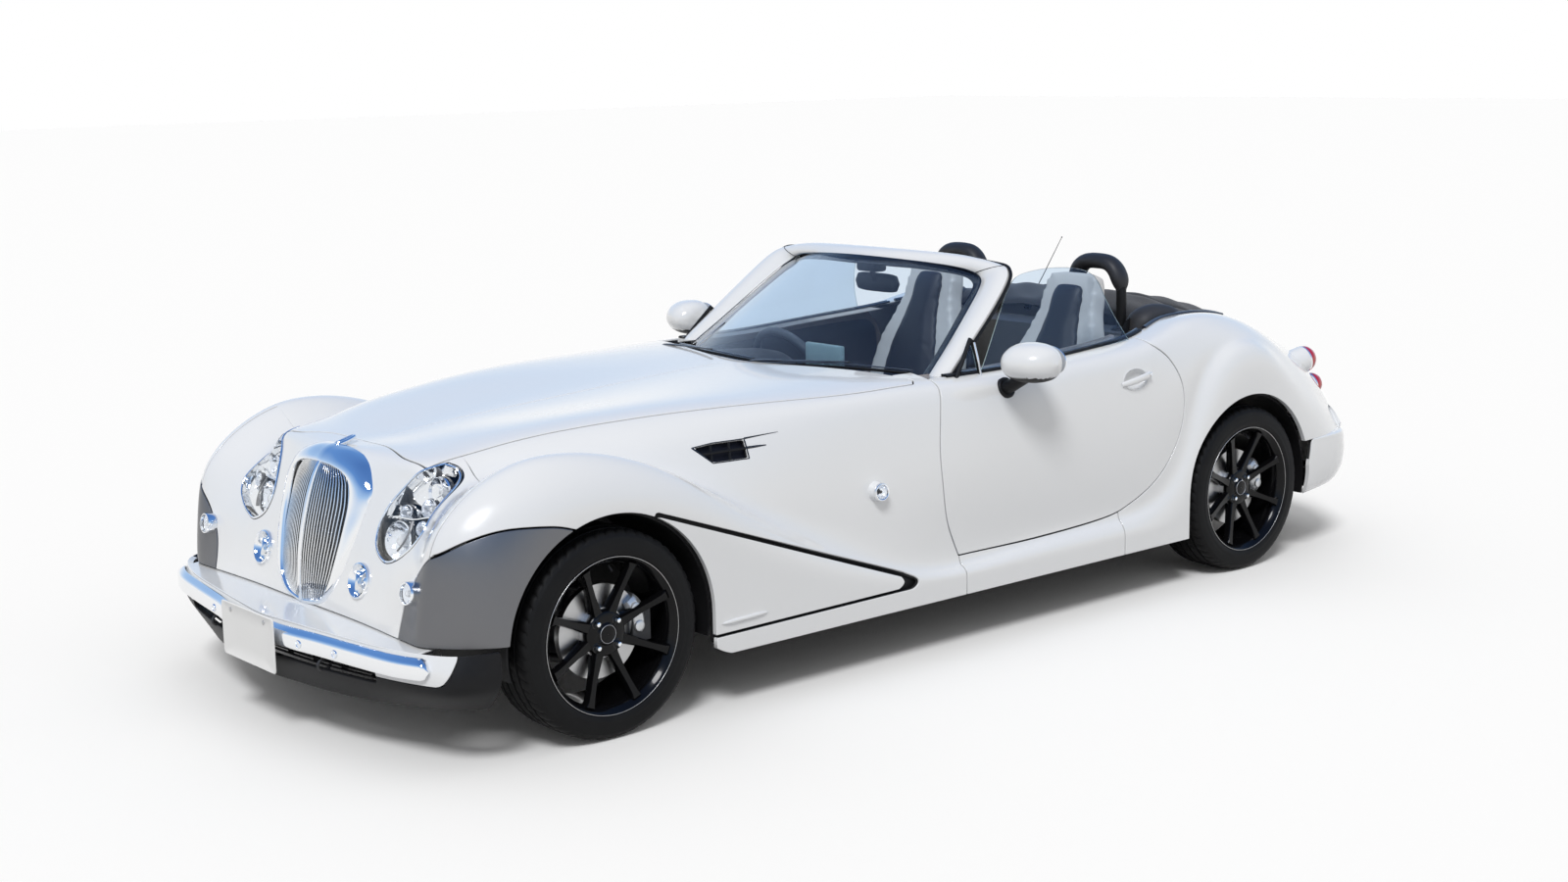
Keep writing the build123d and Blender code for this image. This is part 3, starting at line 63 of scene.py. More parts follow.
# ---------------------------------------------------------------- surfaces
def smooth(x, table):
    """Values at x through a table of (x, value...) rows, monotone cubic between the rows."""
    rows = np.array(sorted(table), float)
    xs, ys = rows[:, 0], rows[:, 1:]
    step = np.diff(xs)[:, None]
    slope = np.diff(ys, axis=0) / step
    inner = np.where(slope[1:] * slope[:-1] > 0,
                     2 * slope[1:] * slope[:-1] / (slope[1:] + slope[:-1] + 1e-12), 0)
    ends = np.vstack([slope[:1], inner, slope[-1:]])
    x = np.clip(np.atleast_1d(np.asarray(x, float)), xs[0], xs[-1])
    i = np.clip(np.searchsorted(xs, x, side="right") - 1, 0, len(xs) - 2)
    t = ((x - xs[i]) / step[i, 0])[:, None]
    h = step[i]
    return (
        ys[i] * (1 + 2 * t) * (1 - t) ** 2 + h * ends[i] * t * (1 - t) ** 2
        + ys[i + 1] * t * t * (3 - 2 * t) + h * ends[i + 1] * t * t * (t - 1)
    )


def basis(t, count):
    """Uniform cubic B-spline weights and slopes at parameters t, on a grid padded by one each end."""
    i = np.clip(np.floor(t).astype(int), 0, count - 2)
    f = t - i
    value = [(1 - f) ** 3, 3 * f ** 3 - 6 * f ** 2 + 4, -3 * f ** 3 + 3 * f ** 2 + 3 * f + 1, f ** 3]
    slope = [-3 * (1 - f) ** 2, 9 * f ** 2 - 12 * f, -9 * f ** 2 + 6 * f + 3, 3 * f ** 2]
    made = np.zeros((2, len(t), count + 2))
    for k in range(4):
        made[0, np.arange(len(t)), i + k] = value[k] / 6
        made[1, np.arange(len(t)), i + k] = slope[k] / 6
    return made


def fitted(grid):
    """Control points whose cubic B-spline passes close to the grid's own points, both ways."""
    for axis in (0, 1):
        g = np.moveaxis(grid, axis, 0)
        c = g.copy()
        c[1:-1] -= (g[2:] - 2 * g[1:-1] + g[:-2]) / 6
        c = np.concatenate([[2 * c[0] - c[1]], c, [2 * c[-1] - c[-2]]])
        grid = np.moveaxis(c, 0, axis)
    return grid


def steps(grid, axis, low, high, cell):
    """Parameters from low to high along an axis, about one cell apart on the surface."""
    g = np.moveaxis(grid, axis, 0)
    lengths = np.linalg.norm(np.diff(g, axis=0), axis=2).max(1)
    made = []
    for k in range(int(low), int(math.ceil(high))):
        count = max(2, int(math.ceil(lengths[k] / cell)))
        made.extend(k + np.arange(count) / count)
    return np.append([t for t in made if low <= t < high], high)


def skin_of(grid, rows=None, cols=None, cell=0.012):
    """A triangle skin over part of a grid: points p, normals n, parameters q, triangles t."""
    r_low, r_high = rows or (0, grid.shape[0] - 1)
    c_low, c_high = cols or (0, grid.shape[1] - 1)
    v = steps(grid, 0, r_low, r_high, cell)
    u = steps(grid, 1, c_low, c_high, cell)
    control = fitted(grid)
    bv, bu = basis(v, grid.shape[0]), basis(u, grid.shape[1])
    p = np.einsum("ai,ijk,bj->abk", bv[0], control, bu[0])
    dv = np.einsum("ai,ijk,bj->abk", bv[1], control, bu[0])
    du = np.einsum("ai,ijk,bj->abk", bv[0], control, bu[1])
    n = unit(np.cross(dv, du)).reshape(-1, 3)
    q = np.stack(np.meshgrid(v, u, indexing="ij"), 2).reshape(-1, 2)
    return SimpleNamespace(p=p.reshape(-1, 3), n=n, q=q, t=grid_triangles(len(v), len(u)))


def unit(v):
    return v / np.maximum(np.linalg.norm(v, axis=-1, keepdims=True), 1e-12)


def grid_triangles(rows, cols, closed=False):
    """Two triangles for each cell of a grid of points; closed joins the last column to the first."""
    across = cols if closed else cols - 1
    i, j = np.meshgrid(np.arange(rows - 1), np.arange(across), indexing="ij")
    a = (i * cols + j).ravel()
    b = (i * cols + (j + 1) % cols).ravel()
    c, d = b + cols, a + cols
    return np.concatenate([np.stack([a, d, c], 1), np.stack([a, c, b], 1)])


def cut(skin, value):
    """The part of a skin where value is above 0, with its new edge on the zero line."""
    t = skin.t
    inside = value > 0
    count = inside[t].sum(1)
    kept = [t[count == 3]]
    edges, plans = [], []
    for lone_inside, number in ((True, 1), (False, 2)):
        part = t[count == number]
        turn = np.argmax(inside[part] == lone_inside, axis=1)
        at = np.arange(len(part))
        a, b, c = (part[at, (turn + k) % 3] for k in range(3))
        plans.append((a, b, c))
        edges += [np.stack([a, b], 1), np.stack([a, c], 1)]
    if not sum(len(e) for e in edges):
        return compact(skin.p, skin.n, skin.q, kept[0])
    pairs, back = np.unique(np.sort(np.concatenate(edges), axis=1), axis=0, return_inverse=True)
    back = back.ravel() + len(skin.p)
    i, j = pairs[:, 0], pairs[:, 1]
    share = (value[i] / (value[i] - value[j]))[:, None]
    p, n, q = (x[i] * (1 - share) + x[j] * share for x in (skin.p, skin.n, skin.q))
    m = len(edges[0])
    k = len(edges[2])
    ab, ac = back[:m], back[m:2 * m]
    kept.append(np.stack([plans[0][0], ab, ac], 1))
    ab, ac = back[2 * m:2 * m + k], back[2 * m + k:]
    kept += [np.stack([ab, plans[1][1], plans[1][2]], 1), np.stack([ab, plans[1][2], ac], 1)]
    return compact(
        np.vstack([skin.p, p]), unit(np.vstack([skin.n, n])), np.vstack([skin.q, q]), np.concatenate(kept)
    )


def compact(p, n, q, t):
    used, back = np.unique(t, return_inverse=True)
    return SimpleNamespace(p=p[used], n=n[used], q=q[used], t=back.reshape(-1, 3))


def inside(points, outline):
    """Signed distance of 2-D points to a closed outline, above 0 inside it."""
    a = np.array(outline, float)
    a = a[np.linalg.norm(a - np.roll(a, -1, axis=0), axis=1) > 1e-9]
    b = np.roll(a, -1, axis=0)
    best = np.full(len(points), 1e9)
    odd = np.zeros(len(points), bool)
    for (ax, ay), (bx, by) in zip(a, b):
        ex, ey = bx - ax, by - ay
        px, py = points[:, 0] - ax, points[:, 1] - ay
        s = np.clip((px * ex + py * ey) / (ex * ex + ey * ey), 0, 1)
        best = np.minimum(best, (px - s * ex) ** 2 + (py - s * ey) ** 2)
        if ay != by:
            crosses = (ay > points[:, 1]) != (by > points[:, 1])
            odd ^= crosses & (px < ex * (points[:, 1] - ay) / ey)
    return np.sqrt(best) * np.where(odd, 1, -1)


def rounded(corners, radius, count=6):
    """A closed outline with its corners (x, y) rounded; radius is one number or one for each corner."""
    c = np.array(corners, float)
    radii = np.broadcast_to(radius, len(c))
    made = []
    for i, r in enumerate(radii):
        to_last, to_next = unit(c[i - 1] - c[i]), unit(c[(i + 1) % len(c)] - c[i])
        half = math.acos(np.clip(to_last @ to_next, -1, 1)) / 2
        if r <= 0 or half > 1.56:
            made.append(c[i])
            continue
        reach = r / math.tan(half)
        middle = c[i] + unit(to_last + to_next) * r / math.sin(half)
        start, end = c[i] + to_last * reach - middle, c[i] + to_next * reach - middle
        turn = math.atan2(start[0] * end[1] - start[1] * end[0], start @ end)
        for k in range(count + 1):
            a = turn * k / count
            made.append(middle + [start[0] * math.cos(a) - start[1] * math.sin(a),
                                  start[0] * math.sin(a) + start[1] * math.cos(a)])
    return np.array(made)


def curve(points, count=8):
    """An open Catmull-Rom line through points, count steps between each two."""
    p = np.array(points, float)
    p = np.vstack([2 * p[0] - p[1], p, 2 * p[-1] - p[-2]])
    t = (np.arange(count) / count)[:, None]
    made = []
    for a, b, c, d in zip(p, p[1:], p[2:], p[3:]):
        made.append(b + (c - a) * t / 2 + (a - 2.5 * b + 2 * c - d / 2) * t ** 2
                    + (1.5 * (b - c) + (d - a) / 2) * t ** 3)
    return np.vstack([*made, p[-2:-1]])


# ---------------------------------------------------------------- meshes
def add_mesh(name, p, t, materials, normals=None, index=None, flat=False):
    """A mesh object from points and triangles or quads."""
    mesh = bpy.data.meshes.new(name)
    mesh.from_pydata(np.asarray(p, float).tolist(), [],
                     np.asarray(t).tolist() if not isinstance(t, list) else t)
    for m in materials if isinstance(materials, (list, tuple)) else [materials]:
        mesh.materials.append(m)
    if index is not None:
        mesh.polygons.foreach_set("material_index", np.asarray(index, np.int32))
    mesh.polygons.foreach_set("use_smooth", np.full(len(mesh.polygons), not flat))
    mesh.update()
    if normals is not None:
        mesh.normals_split_custom_set_from_vertices(np.asarray(normals, float).tolist())
    made = bpy.data.objects.new(name, mesh)
    bpy.context.scene.collection.objects.link(made)
    return made


def place(piece, body, slot, *nodes):
    """A finished piece rides its body and stands for CAD nodes, which it hides; slot is not used."""
    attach(piece, body)
    if nodes:
        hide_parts(*nodes)
    return piece


def open_edges(t):
    """Directed edges that only one triangle uses."""
    e = np.concatenate([t[:, [0, 1]], t[:, [1, 2]], t[:, [2, 0]]])
    n = e.max() + 1
    return e[~np.isin(e[:, 0] * n + e[:, 1], e[:, 1] * n + e[:, 0])]


def shell(skin, radius=HEM, depth=0.014, back=False, inward=None, bright=None):
    """A skin with a rounded edge turned in to a depth, and a back face if asked.

    Returns points, normals, triangles and material indices: 0 outside, 1 the deep part of the edge wall, dark
    as painted shade in the gap unless bright marks where it shows the paint, 2 back.
    """
    e = open_edges(skin.t)
    rim, back_of = np.unique(e, return_inverse=True)
    back_of = back_of.reshape(-1, 2)
    p, n = skin.p[rim], skin.n[rim]
    out_edge = np.cross(unit(skin.p[e[:, 1]] - skin.p[e[:, 0]]), unit(skin.n[e[:, 0]] + skin.n[e[:, 1]]))
    out = np.zeros_like(p)
    for side in (0, 1):
        np.add.at(out, back_of[:, side], out_edge)
    out = unit(out - n * (out * n).sum(1, keepdims=True))
    down = -n if inward is None else np.broadcast_to(inward, n.shape)
    points, normals, tris, index = [skin.p], [skin.n], [skin.t], [np.zeros(len(skin.t))]
    last = rim
    base = len(skin.p)
    angles = [math.radians(a) for a in (35, 70, 90)]
    rings = [(p + radius * (math.sin(a) * out - (1 - math.cos(a)) * n), math.cos(a) * n + math.sin(a) * out)
             for a in angles]
    rings.append((rings[-1][0] + down * depth * 0.25, out))
    rings.append((rings[-1][0] + down * depth * 0.75, out))
    for k, (ring_p, ring_n) in enumerate(rings):
        now = base + np.arange(len(rim))
        a, b = back_of[:, 0], back_of[:, 1]
        tris.append(np.concatenate([np.stack([last[b], last[a], now[a]], 1),
                                    np.stack([last[b], now[a], now[b]], 1)]))
        # the deepest step of the wall is painted shade; where bright is true it keeps the paint
        dark = 1 if k == len(rings) - 1 else 0
        shade = np.full(len(a), dark)
        if bright is not None and dark:
            shade[bright(ring_p[a])] = 0
        index.append(np.concatenate([shade, shade]))
        points.append(ring_p)
        normals.append(ring_n)
        last = now
        base += len(rim)
    if back:
        away = -skin.n if inward is None else np.broadcast_to(inward, skin.n.shape)
        points.append(skin.p + (depth + radius) * away)
        normals.append(-skin.n)
        tris.append(skin.t[:, ::-1] + base)
        index.append(np.full(len(skin.t), 2))
    return np.vstack(points), np.vstack(normals), np.concatenate(tris), np.concatenate(index)


def plain(finish):
    """One finish for a panel's outside, edge and back."""
    return [finish] * 3


def facing(skin, out):
    """A skin whose normals point the way of out, which is one direction or one for each point."""
    if (skin.n * out).sum(1).mean() < 0:
        skin.n, skin.t = -skin.n, skin.t[:, ::-1]
    return skin


def panel(name, skin, materials, side=0, **edge):
    """A panel object from a skin; side -1 mirrors it to the car's right."""
    p, n, t, index = shell(skin, **edge)
    if side < 0:
        p, n, t = p * MIRROR, n * MIRROR, t[:, ::-1]
    return add_mesh(name, p, t, materials, n, index)


def full(grid):
    """A left-half grid, whose first column is on y = 0, continued on the right."""
    return np.concatenate([grid[:, :0:-1] * MIRROR, grid], axis=1)


def loft(name, rings, materials, closed=True, caps=True):
    """A smooth tube through rings of as many points each."""
    rings = np.asarray(rings, float)
    count, size = rings.shape[:2]
    faces = grid_triangles(count, size, closed).tolist()
    if caps and closed:
        faces += [list(range(size)), list(range((count - 1) * size, count * size))[::-1]]
    made = add_mesh(name, rings.reshape(-1, 3), faces, materials)
    tidy_normals(made)
    return made


def tidy_normals(piece):
    """Outward faces, smooth up to an angle."""
    mesh = bmesh.new()
    mesh.from_mesh(piece.data)
    bmesh.ops.recalc_face_normals(mesh, faces=mesh.faces)
    mesh.to_mesh(piece.data)
    mesh.free()
    piece.data.set_sharp_from_angle(angle=SHARP_ANGLE)


def joined(name, pieces):
    """Several mesh objects as one."""
    for other in bpy.context.selected_objects:
        other.select_set(False)
    for piece in pieces:
        piece.select_set(True)
    bpy.context.view_layer.objects.active = pieces[0]
    bpy.ops.object.join()
    made = bpy.context.view_layer.objects.active
    made.name = made.data.name = name
    made.select_set(False)
    return made


def swept(name, path, radius, material, sides=10, flat=1.0, up=(0, 0, 1)):
    """A tube along points; radius is one number or one for each point, flat squashes it along up."""
    p = np.array(path, float)
    along = unit(np.gradient(p, axis=0))
    side = unit(np.cross(along, np.array(up, float)))
    top = np.cross(side, along)
    r = np.broadcast_to(radius, len(p))[:, None, None]
    a = np.linspace(0, 2 * math.pi, sides, endpoint=False)
    ring = np.cos(a)[None, :, None] * side[:, None] + flat * np.sin(a)[None, :, None] * top[:, None]
    return loft(name, p[:, None] + r * ring, material)


def turned(name, profile, finish, centre, axis, sides=48):
    """A profile of (distance along the axis, radius) turned about it."""
    z = Vector(axis).normalized()
    x = z.orthogonal().normalized()
    axes = np.array([x, z.cross(x), z])
    a = np.linspace(0, 2 * math.pi, sides, endpoint=False)
    rings = np.array([[(r * math.cos(b), r * math.sin(b), d) for b in a] for d, r in profile])
    return loft(name, rings @ axes + np.array(centre), finish, caps=False)


def copy_of(piece, name, matrix, mirrored=False):
    """A copy of a mesh object moved by a matrix; mirrored turns its faces outwards again."""
    made = piece.copy()
    made.data = piece.data.copy()
    made.name = made.data.name = name
    made.data.transform(matrix)
    if mirrored:
        made.data.flip_normals()
    bpy.context.scene.collection.objects.link(made)
    return made


def mirror_of(piece, name):
    """A mesh object's mirror image on the car's right."""
    return copy_of(piece, name, Matrix.Scale(-1, 4, (0, 1, 0)), True)


def apply_modifiers(piece):
    made = bpy.data.meshes.new_from_object(piece.evaluated_get(bpy.context.evaluated_depsgraph_get()))
    piece.modifiers.clear()
    piece.data = made


def slab(name, low, high, material, bevel=0.003):
    """A box with rounded edges between two corners."""
    mesh = bmesh.new()
    bmesh.ops.create_cube(mesh, size=1)
    size = np.array(high, float) - np.array(low, float)
    middle = (np.array(high, float) + np.array(low, float)) / 2
    for v in mesh.verts:
        v.co = Vector(np.array(v.co) * size + middle)
    bmesh.ops.bevel(mesh, geom=list(mesh.edges), offset=bevel, segments=3, profile=0.5, affect="EDGES")
    data = bpy.data.meshes.new(name)
    mesh.to_mesh(data)
    mesh.free()
    data.materials.append(material)
    for polygon in data.polygons:
        polygon.use_smooth = True
    data.set_sharp_from_angle(angle=SLAB_SHARP_ANGLE)
    made = bpy.data.objects.new(name, data)
    bpy.context.scene.collection.objects.link(made)
    return made


# ---------------------------------------------------------------- materials
def material(name, colour, rough=0.5, metal=0.0, coat=0.0, sheen=0.0, clear=0.0, ior=1.45, bump=None,
              tint=None, rough_spread=0.0, alpha=1.0, shine=0.5, coat_ior=1.5, mirror=(1, 1, 1)):
    """A procedural finish; bump is (scale, distance, detail), tint (colour, scale); noise roughens."""
    made = bpy.data.materials.new(name)
    made.use_nodes = True
    nodes, links = made.node_tree.nodes, made.node_tree.links
    shader = nodes["Principled BSDF"]
    values = {
        "Base Color": (*colour, 1), "Roughness": rough, "Metallic": metal, "Coat Weight": coat,
        "Sheen Weight": sheen, "Transmission Weight": clear, "IOR": ior, "Alpha": alpha,
        "Specular IOR Level": shine, "Coat IOR": coat_ior, "Specular Tint": (*mirror, 1),
    }
    for socket, value in values.items():
        shader.inputs[socket].default_value = value
    shader.inputs["Coat Roughness"].default_value = 0.04
    place_ = nodes.new("ShaderNodeTexCoord").outputs["Object"]

    def noise(scale, detail=3.0):
        node = nodes.new("ShaderNodeTexNoise")
        node.inputs["Scale"].default_value = scale
        node.inputs["Detail"].default_value = detail
        links.new(place_, node.inputs["Vector"])
        return node.outputs["Fac"]

    if tint:
        mix = nodes.new("ShaderNodeMix")
        mix.data_type = "RGBA"
        mix.inputs["A"].default_value = (*colour, 1)
        mix.inputs["B"].default_value = (*tint[0], 1)
        links.new(noise(tint[1]), mix.inputs["Factor"])
        links.new(mix.outputs["Result"], shader.inputs["Base Color"])
    if rough_spread:
        spread = nodes.new("ShaderNodeMapRange")
        spread.inputs["To Min"].default_value = rough - rough_spread
        spread.inputs["To Max"].default_value = rough + rough_spread
        links.new(noise(35), spread.inputs["Value"])
        links.new(spread.outputs["Result"], shader.inputs["Roughness"])
    if bump:
        lift = nodes.new("ShaderNodeBump")
        lift.inputs["Strength"].default_value = 0.6
        lift.inputs["Distance"].default_value = bump[1]
        links.new(noise(bump[0], bump[2] if len(bump) > 2 else 3.0), lift.inputs["Height"])
        links.new(lift.outputs["Normal"], shader.inputs["Normal"])
    return made


PAINT = material("white_paint", (0.80, 0.81, 0.82), 0.24, coat=1.0, bump=(900, 0.00002), rough_spread=0.03)
# Near-black painted shade for the deep walls of shut gaps and for thin groove lines, standing in for the
# shade inside them
GAP_SHADE = material("painted_gap_shade", (0.015, 0.015, 0.016), 0.7, tint=((0.03, 0.03, 0.032), 60))
CHROME = material("chrome", (0.86, 0.87, 0.88), 0.045, metal=1.0, rough_spread=0.02, bump=(500, 0.00001))
BLACK = material("black_plastic", (0.008, 0.008, 0.009), 0.45, bump=(1400, 0.0001),
                 tint=((0.013, 0.013, 0.014), 40), shine=0.2)
GLOSS = material("gloss_black", (0.008, 0.008, 0.009), 0.12, coat=0.6, rough_spread=0.04)
SATIN = material("dark_satin", (0.17, 0.17, 0.175), 0.36, metal=0.9, coat=0.15, bump=(1200, 0.00003),
                 rough_spread=0.05)
LENS = material("lamp_glass", (0.97, 0.985, 1.0), 0.02, clear=1.0, ior=1.03, coat=0.7, rough_spread=0.01)
MIRRORED = material("lamp_reflector", (0.80, 0.83, 0.88), 0.12, metal=1.0, bump=(90, 0.002, 1),
                    rough_spread=0.05)
PALE_GLASS = material("lamp_bulb", (0.78, 0.80, 0.82), 0.15, coat=0.8, rough_spread=0.05,
                      tint=((0.6, 0.62, 0.66), 60))
RED = material("red_lens", (0.55, 0.01, 0.015), 0.08, coat=0.8, rough_spread=0.03,
               tint=((0.35, 0.0, 0.005), 25))
# the pale blue body colour is the glass's own tint; the blue tint of its reflections is a painted sky
# reflection
GLASS = material("tinted_glass", (0.70, 0.80, 0.90), 0.005, clear=1.0, ior=1.30, rough_spread=0.004,
                 shine=1.0, mirror=(.25, .5, 1.0))
WHEEL_LEATHER = material("wheel_leather", (0.075, 0.085, 0.10), 0.45, bump=(320, 0.0005, 6),
                         rough_spread=0.06)
PALE_TEAL = material("screen_shell", (0.30, 0.42, 0.44), 0.4, bump=(900, 0.0001), rough_spread=0.05)
CARPET = material("carpet", (0.020, 0.021, 0.024), 0.95, sheen=0.2, bump=(900, 0.001, 5),
                  tint=((0.03, 0.03, 0.034), 90))
WIPER_METAL = material("wiper_metal", (0.10, 0.10, 0.10), 0.25, metal=0.7, coat=0.3, bump=(900, 0.00005),
                       rough_spread=0.05)
VENT_DARK = material("vent_mesh", (0.006, 0.007, 0.014), 0.5, bump=(2200, 0.0008, 2), shine=0.2)
GLASS_EDGE = material("glass_edge", (0.55, 0.72, 0.74), 0.15, coat=0.5, rough_spread=0.05)
SEAL_BLUE = material("seal_rubber", (0.012, 0.014, 0.024), 0.3, coat=0.3, rough_spread=0.06)
RUBBER = material("tyre_rubber", (0.006, 0.006, 0.0065), 0.55, bump=(700, 0.0002, 5),
                  tint=((0.012, 0.012, 0.012), 12), shine=0.15)
WHEEL = material("black_wheel_paint", (0.003, 0.003, 0.0035), 0.18, coat=0.18, rough_spread=0.04, shine=0.12)
STEEL = material("brake_steel", (0.50, 0.50, 0.50), 0.32, metal=1.0, bump=(300, 0.0001), rough_spread=0.08)
ALLOY = material("cast_aluminium", (0.42, 0.42, 0.43), 0.45, metal=0.9, bump=(600, 0.0003), rough_spread=0.1)
CALIPER = material("caliper_silver", (0.62, 0.63, 0.64), 0.35, metal=0.7, bump=(600, 0.0003),
                   rough_spread=0.08)
IRON = material("cast_steel", (0.06, 0.06, 0.062), 0.55, metal=0.7, bump=(500, 0.0004), rough_spread=0.12)
UNDER = material("underbody_steel", (0.05, 0.052, 0.055), 0.6, bump=(350, 0.0006),
                 tint=((0.09, 0.088, 0.085), 8))
PIPE = material("exhaust_steel", (0.45, 0.43, 0.41), 0.3, metal=1.0, tint=((0.3, 0.24, 0.19), 6),
                rough_spread=0.1)
DARK_LEATHER = material("dark_leather", (0.020, 0.020, 0.023), 0.5, bump=(260, 0.0006, 6), rough_spread=0.08)
PALE_LEATHER = material("pale_leather", (0.62, 0.62, 0.62), 0.48, bump=(260, 0.0006, 6), rough_spread=0.06)
TRIM = material("cabin_plastic", (0.028, 0.028, 0.03), 0.55, bump=(900, 0.0002, 5),
                tint=((0.04, 0.04, 0.043), 30))
BRONZE = material("bronze_trim", (0.27, 0.235, 0.215), 0.5, bump=(800, 0.0002, 5),
                  tint=((0.31, 0.27, 0.25), 20))
FABRIC = material("soft_top_fabric", (0.022, 0.023, 0.027), 0.85, sheen=0.3, bump=(1500, 0.0005, 4),
                  tint=((0.035, 0.036, 0.04), 70))
PLATE = material("plate_white", (0.86, 0.86, 0.85), 0.35, bump=(120, 0.0001), rough_spread=0.05)
FLOOR = material("studio_floor", (0.80, 0.80, 0.80), 0.7, bump=(30, 0.0002), tint=((0.78, 0.78, 0.78), 4))
BODY = [PAINT, GAP_SHADE, UNDER]


# ---------------------------------------------------------------- body tables
STATIONS = (
    -2.035, -1.93, -1.82, -1.70, -1.585, -1.46, -1.34, -1.22, -1.11, -1.03, -0.95, -0.86, -0.76, -0.64,
    -0.45, -0.20, 0.05, 0.30, 0.55, 0.80, 1.00, 1.15, 1.28, 1.42, 1.56, 1.68, 1.78,
)
# Feature lines from the centre out and down, as (x, y, z); between them the surface is smooth
CENTRE = (
    (-2.035, 0, .740), (-1.90, 0, .812), (-1.70, 0, .892), (-1.545, 0, .936), (-1.0, 0, .94),
    (.14, 0, .900), (.50, 0, .891), (.80, 0, .877), (1.03, 0, .863), (1.25, 0, .850), (1.40, 0, .840),
    (1.56, 0, .829), (1.78, 0, .806),
)
INNER = (
    (-2.035, .18, .739), (-1.70, .19, .890), (-1.545, .20, .934), (-1.0, .22, .94), (.14, .26, .906),
    (.50, .25, .898), (.80, .235, .886), (1.25, .21, .860), (1.56, .185, .841), (1.78, .16, .817),
)
SHOULDER = (
    (-2.035, .36, .731), (-1.90, .37, .804), (-1.70, .38, .882), (-1.545, .40, .927), (-1.0, .43, .93),
    (.14, .54, .897), (.50, .52, .896), (.80, .48, .893), (1.03, .45, .888), (1.25, .41, .878),
    (1.40, .385, .868), (1.56, .36, .853), (1.78, .325, .818),
)
BELT = (
    (-2.035, .528, .705), (-1.90, .540, .780), (-1.70, .560, .860), (-1.50, .600, .922), (-1.34, .612, .950),
    (-1.16, .632, .955), (-1.03, .665, .938), (-.90, .715, .915), (-.80, .740, .902), (-.50, .754, .884),
    (-.10, .745, .866), (.14, .735, .870), (.30, .728, .872), (.50, .712, .866), (.80, .665, .873),
    (1.03, .615, .874), (1.25, .560, .867), (1.40, .520, .857), (1.56, .480, .842), (1.78, .434, .803),
)
HAUNCH = (
    (-2.035, .606, .640), (-1.93, .640, .700), (-1.82, .662, .752), (-1.70, .680, .806), (-1.585, .695, .866),
    (-1.46, .700, .914), (-1.34, .704, .944), (-1.22, .718, .957), (-1.11, .742, .945), (-1.03, .762, .922),
    (-.95, .782, .892), (-.86, .800, .860), (-.76, .810, .835), (-.50, .812, .812), (-.10, .800, .797),
    (.14, .790, .802), (.50, .768, .802), (.80, .742, .802), (1.03, .705, .802), (1.25, .655, .802),
    (1.40, .602, .802), (1.56, .546, .802), (1.78, .477, .772),
)
SIDE = (
    (-2.035, .660, .590), (-1.93, .692, .650), (-1.82, .716, .708), (-1.70, .740, .765), (-1.585, .760, .825),
    (-1.46, .772, .872), (-1.34, .778, .893), (-1.22, .790, .888), (-1.11, .806, .845), (-1.03, .822, .785),
    (-.95, .834, .725), (-.86, .841, .672), (-.76, .843, .636), (-.64, .843, .616), (-.45, .841, .610),
    (-.20, .838, .600), (.05, .835, .600), (.30, .826, .588), (.50, .812, .575), (.80, .788, .610),
    (1.03, .750, .680), (1.25, .690, .728), (1.40, .646, .738), (1.56, .595, .757), (1.78, .538, .738),
)
FLANK = (
    (-2.035, .690, .550), (-1.93, .724, .610), (-1.82, .750, .668), (-1.70, .774, .725), (-1.585, .790, .785),
    (-1.46, .800, .845), (-1.34, .804, .866), (-1.22, .808, .845), (-1.11, .816, .770), (-1.03, .828, .665),
    (-.95, .838, .555), (-.86, .843, .478), (-.76, .843, .440), (-.45, .840, .430), (.05, .836, .430),
    (.30, .831, .430), (.50, .822, .430), (.80, .797, .520), (1.03, .768, .615), (1.25, .728, .704),
    (1.40, .692, .755), (1.56, .662, .792), (1.68, .642, .795), (1.78, .625, .780),
)
CREST = (
    (-2.035, .720, .500), (-1.93, .755, .552), (-1.82, .782, .612), (-1.70, .806, .670), (-1.585, .826, .732),
    (-1.46, .838, .810), (-1.34, .842, .842), (-1.22, .844, .812), (-1.11, .845, .708), (-1.03, .845, .580),
    (-.95, .844, .452), (-.86, .840, .374), (-.76, .836, .337), (-.64, .832, .322), (-.45, .829, .315),
    (-.20, .827, .310), (.05, .828, .298), (.30, .832, .302), (.472, .835, .341), (.55, .833, .362),
    (.721, .825, .428), (.80, .820, .464), (.879, .814, .503), (1.00, .800, .570), (1.15, .784, .660),
    (1.28, .770, .735), (1.42, .752, .795), (1.56, .738, .829), (1.68, .727, .838), (1.78, .718, .828),
)
OUTER_SHOULDER = (
    (-2.035, .742, .465), (-1.93, .784, .505), (-1.82, .812, .555), (-1.70, .834, .612), (-1.585, .850, .682),
    (-1.46, .859, .760), (-1.34, .862, .788), (-1.22, .863, .748), (-1.11, .863, .635), (-1.03, .862, .505),
    (-.95, .860, .392), (-.86, .856, .332), (-.76, .853, .304), (-.64, .850, .293), (-.20, .848, .286),
    (.05, .849, .275), (.30, .852, .278), (.50, .854, .318), (.80, .847, .435), (1.00, .843, .538),
    (1.15, .837, .628), (1.28, .829, .702), (1.42, .820, .757), (1.56, .812, .787), (1.68, .806, .792),
    (1.78, .800, .777),
)
OUTER = (
    (-2.035, .760, .440), (-1.93, .803, .462), (-1.82, .830, .503), (-1.70, .850, .555), (-1.585, .861, .618),
    (-1.46, .866, .692), (-1.34, .868, .716), (-1.22, .868, .668), (-1.11, .868, .535), (-1.03, .868, .405),
    (-.95, .868, .312), (-.86, .867, .275), (-.76, .866, .264), (-.20, .865, .262), (.05, .865, .256),
    (.30, .866, .260), (.50, .866, .290), (.80, .866, .385), (1.00, .866, .475), (1.15, .865, .560),
    (1.28, .863, .635), (1.42, .860, .692), (1.56, .857, .717), (1.68, .853, .720), (1.78, .848, .702),
)
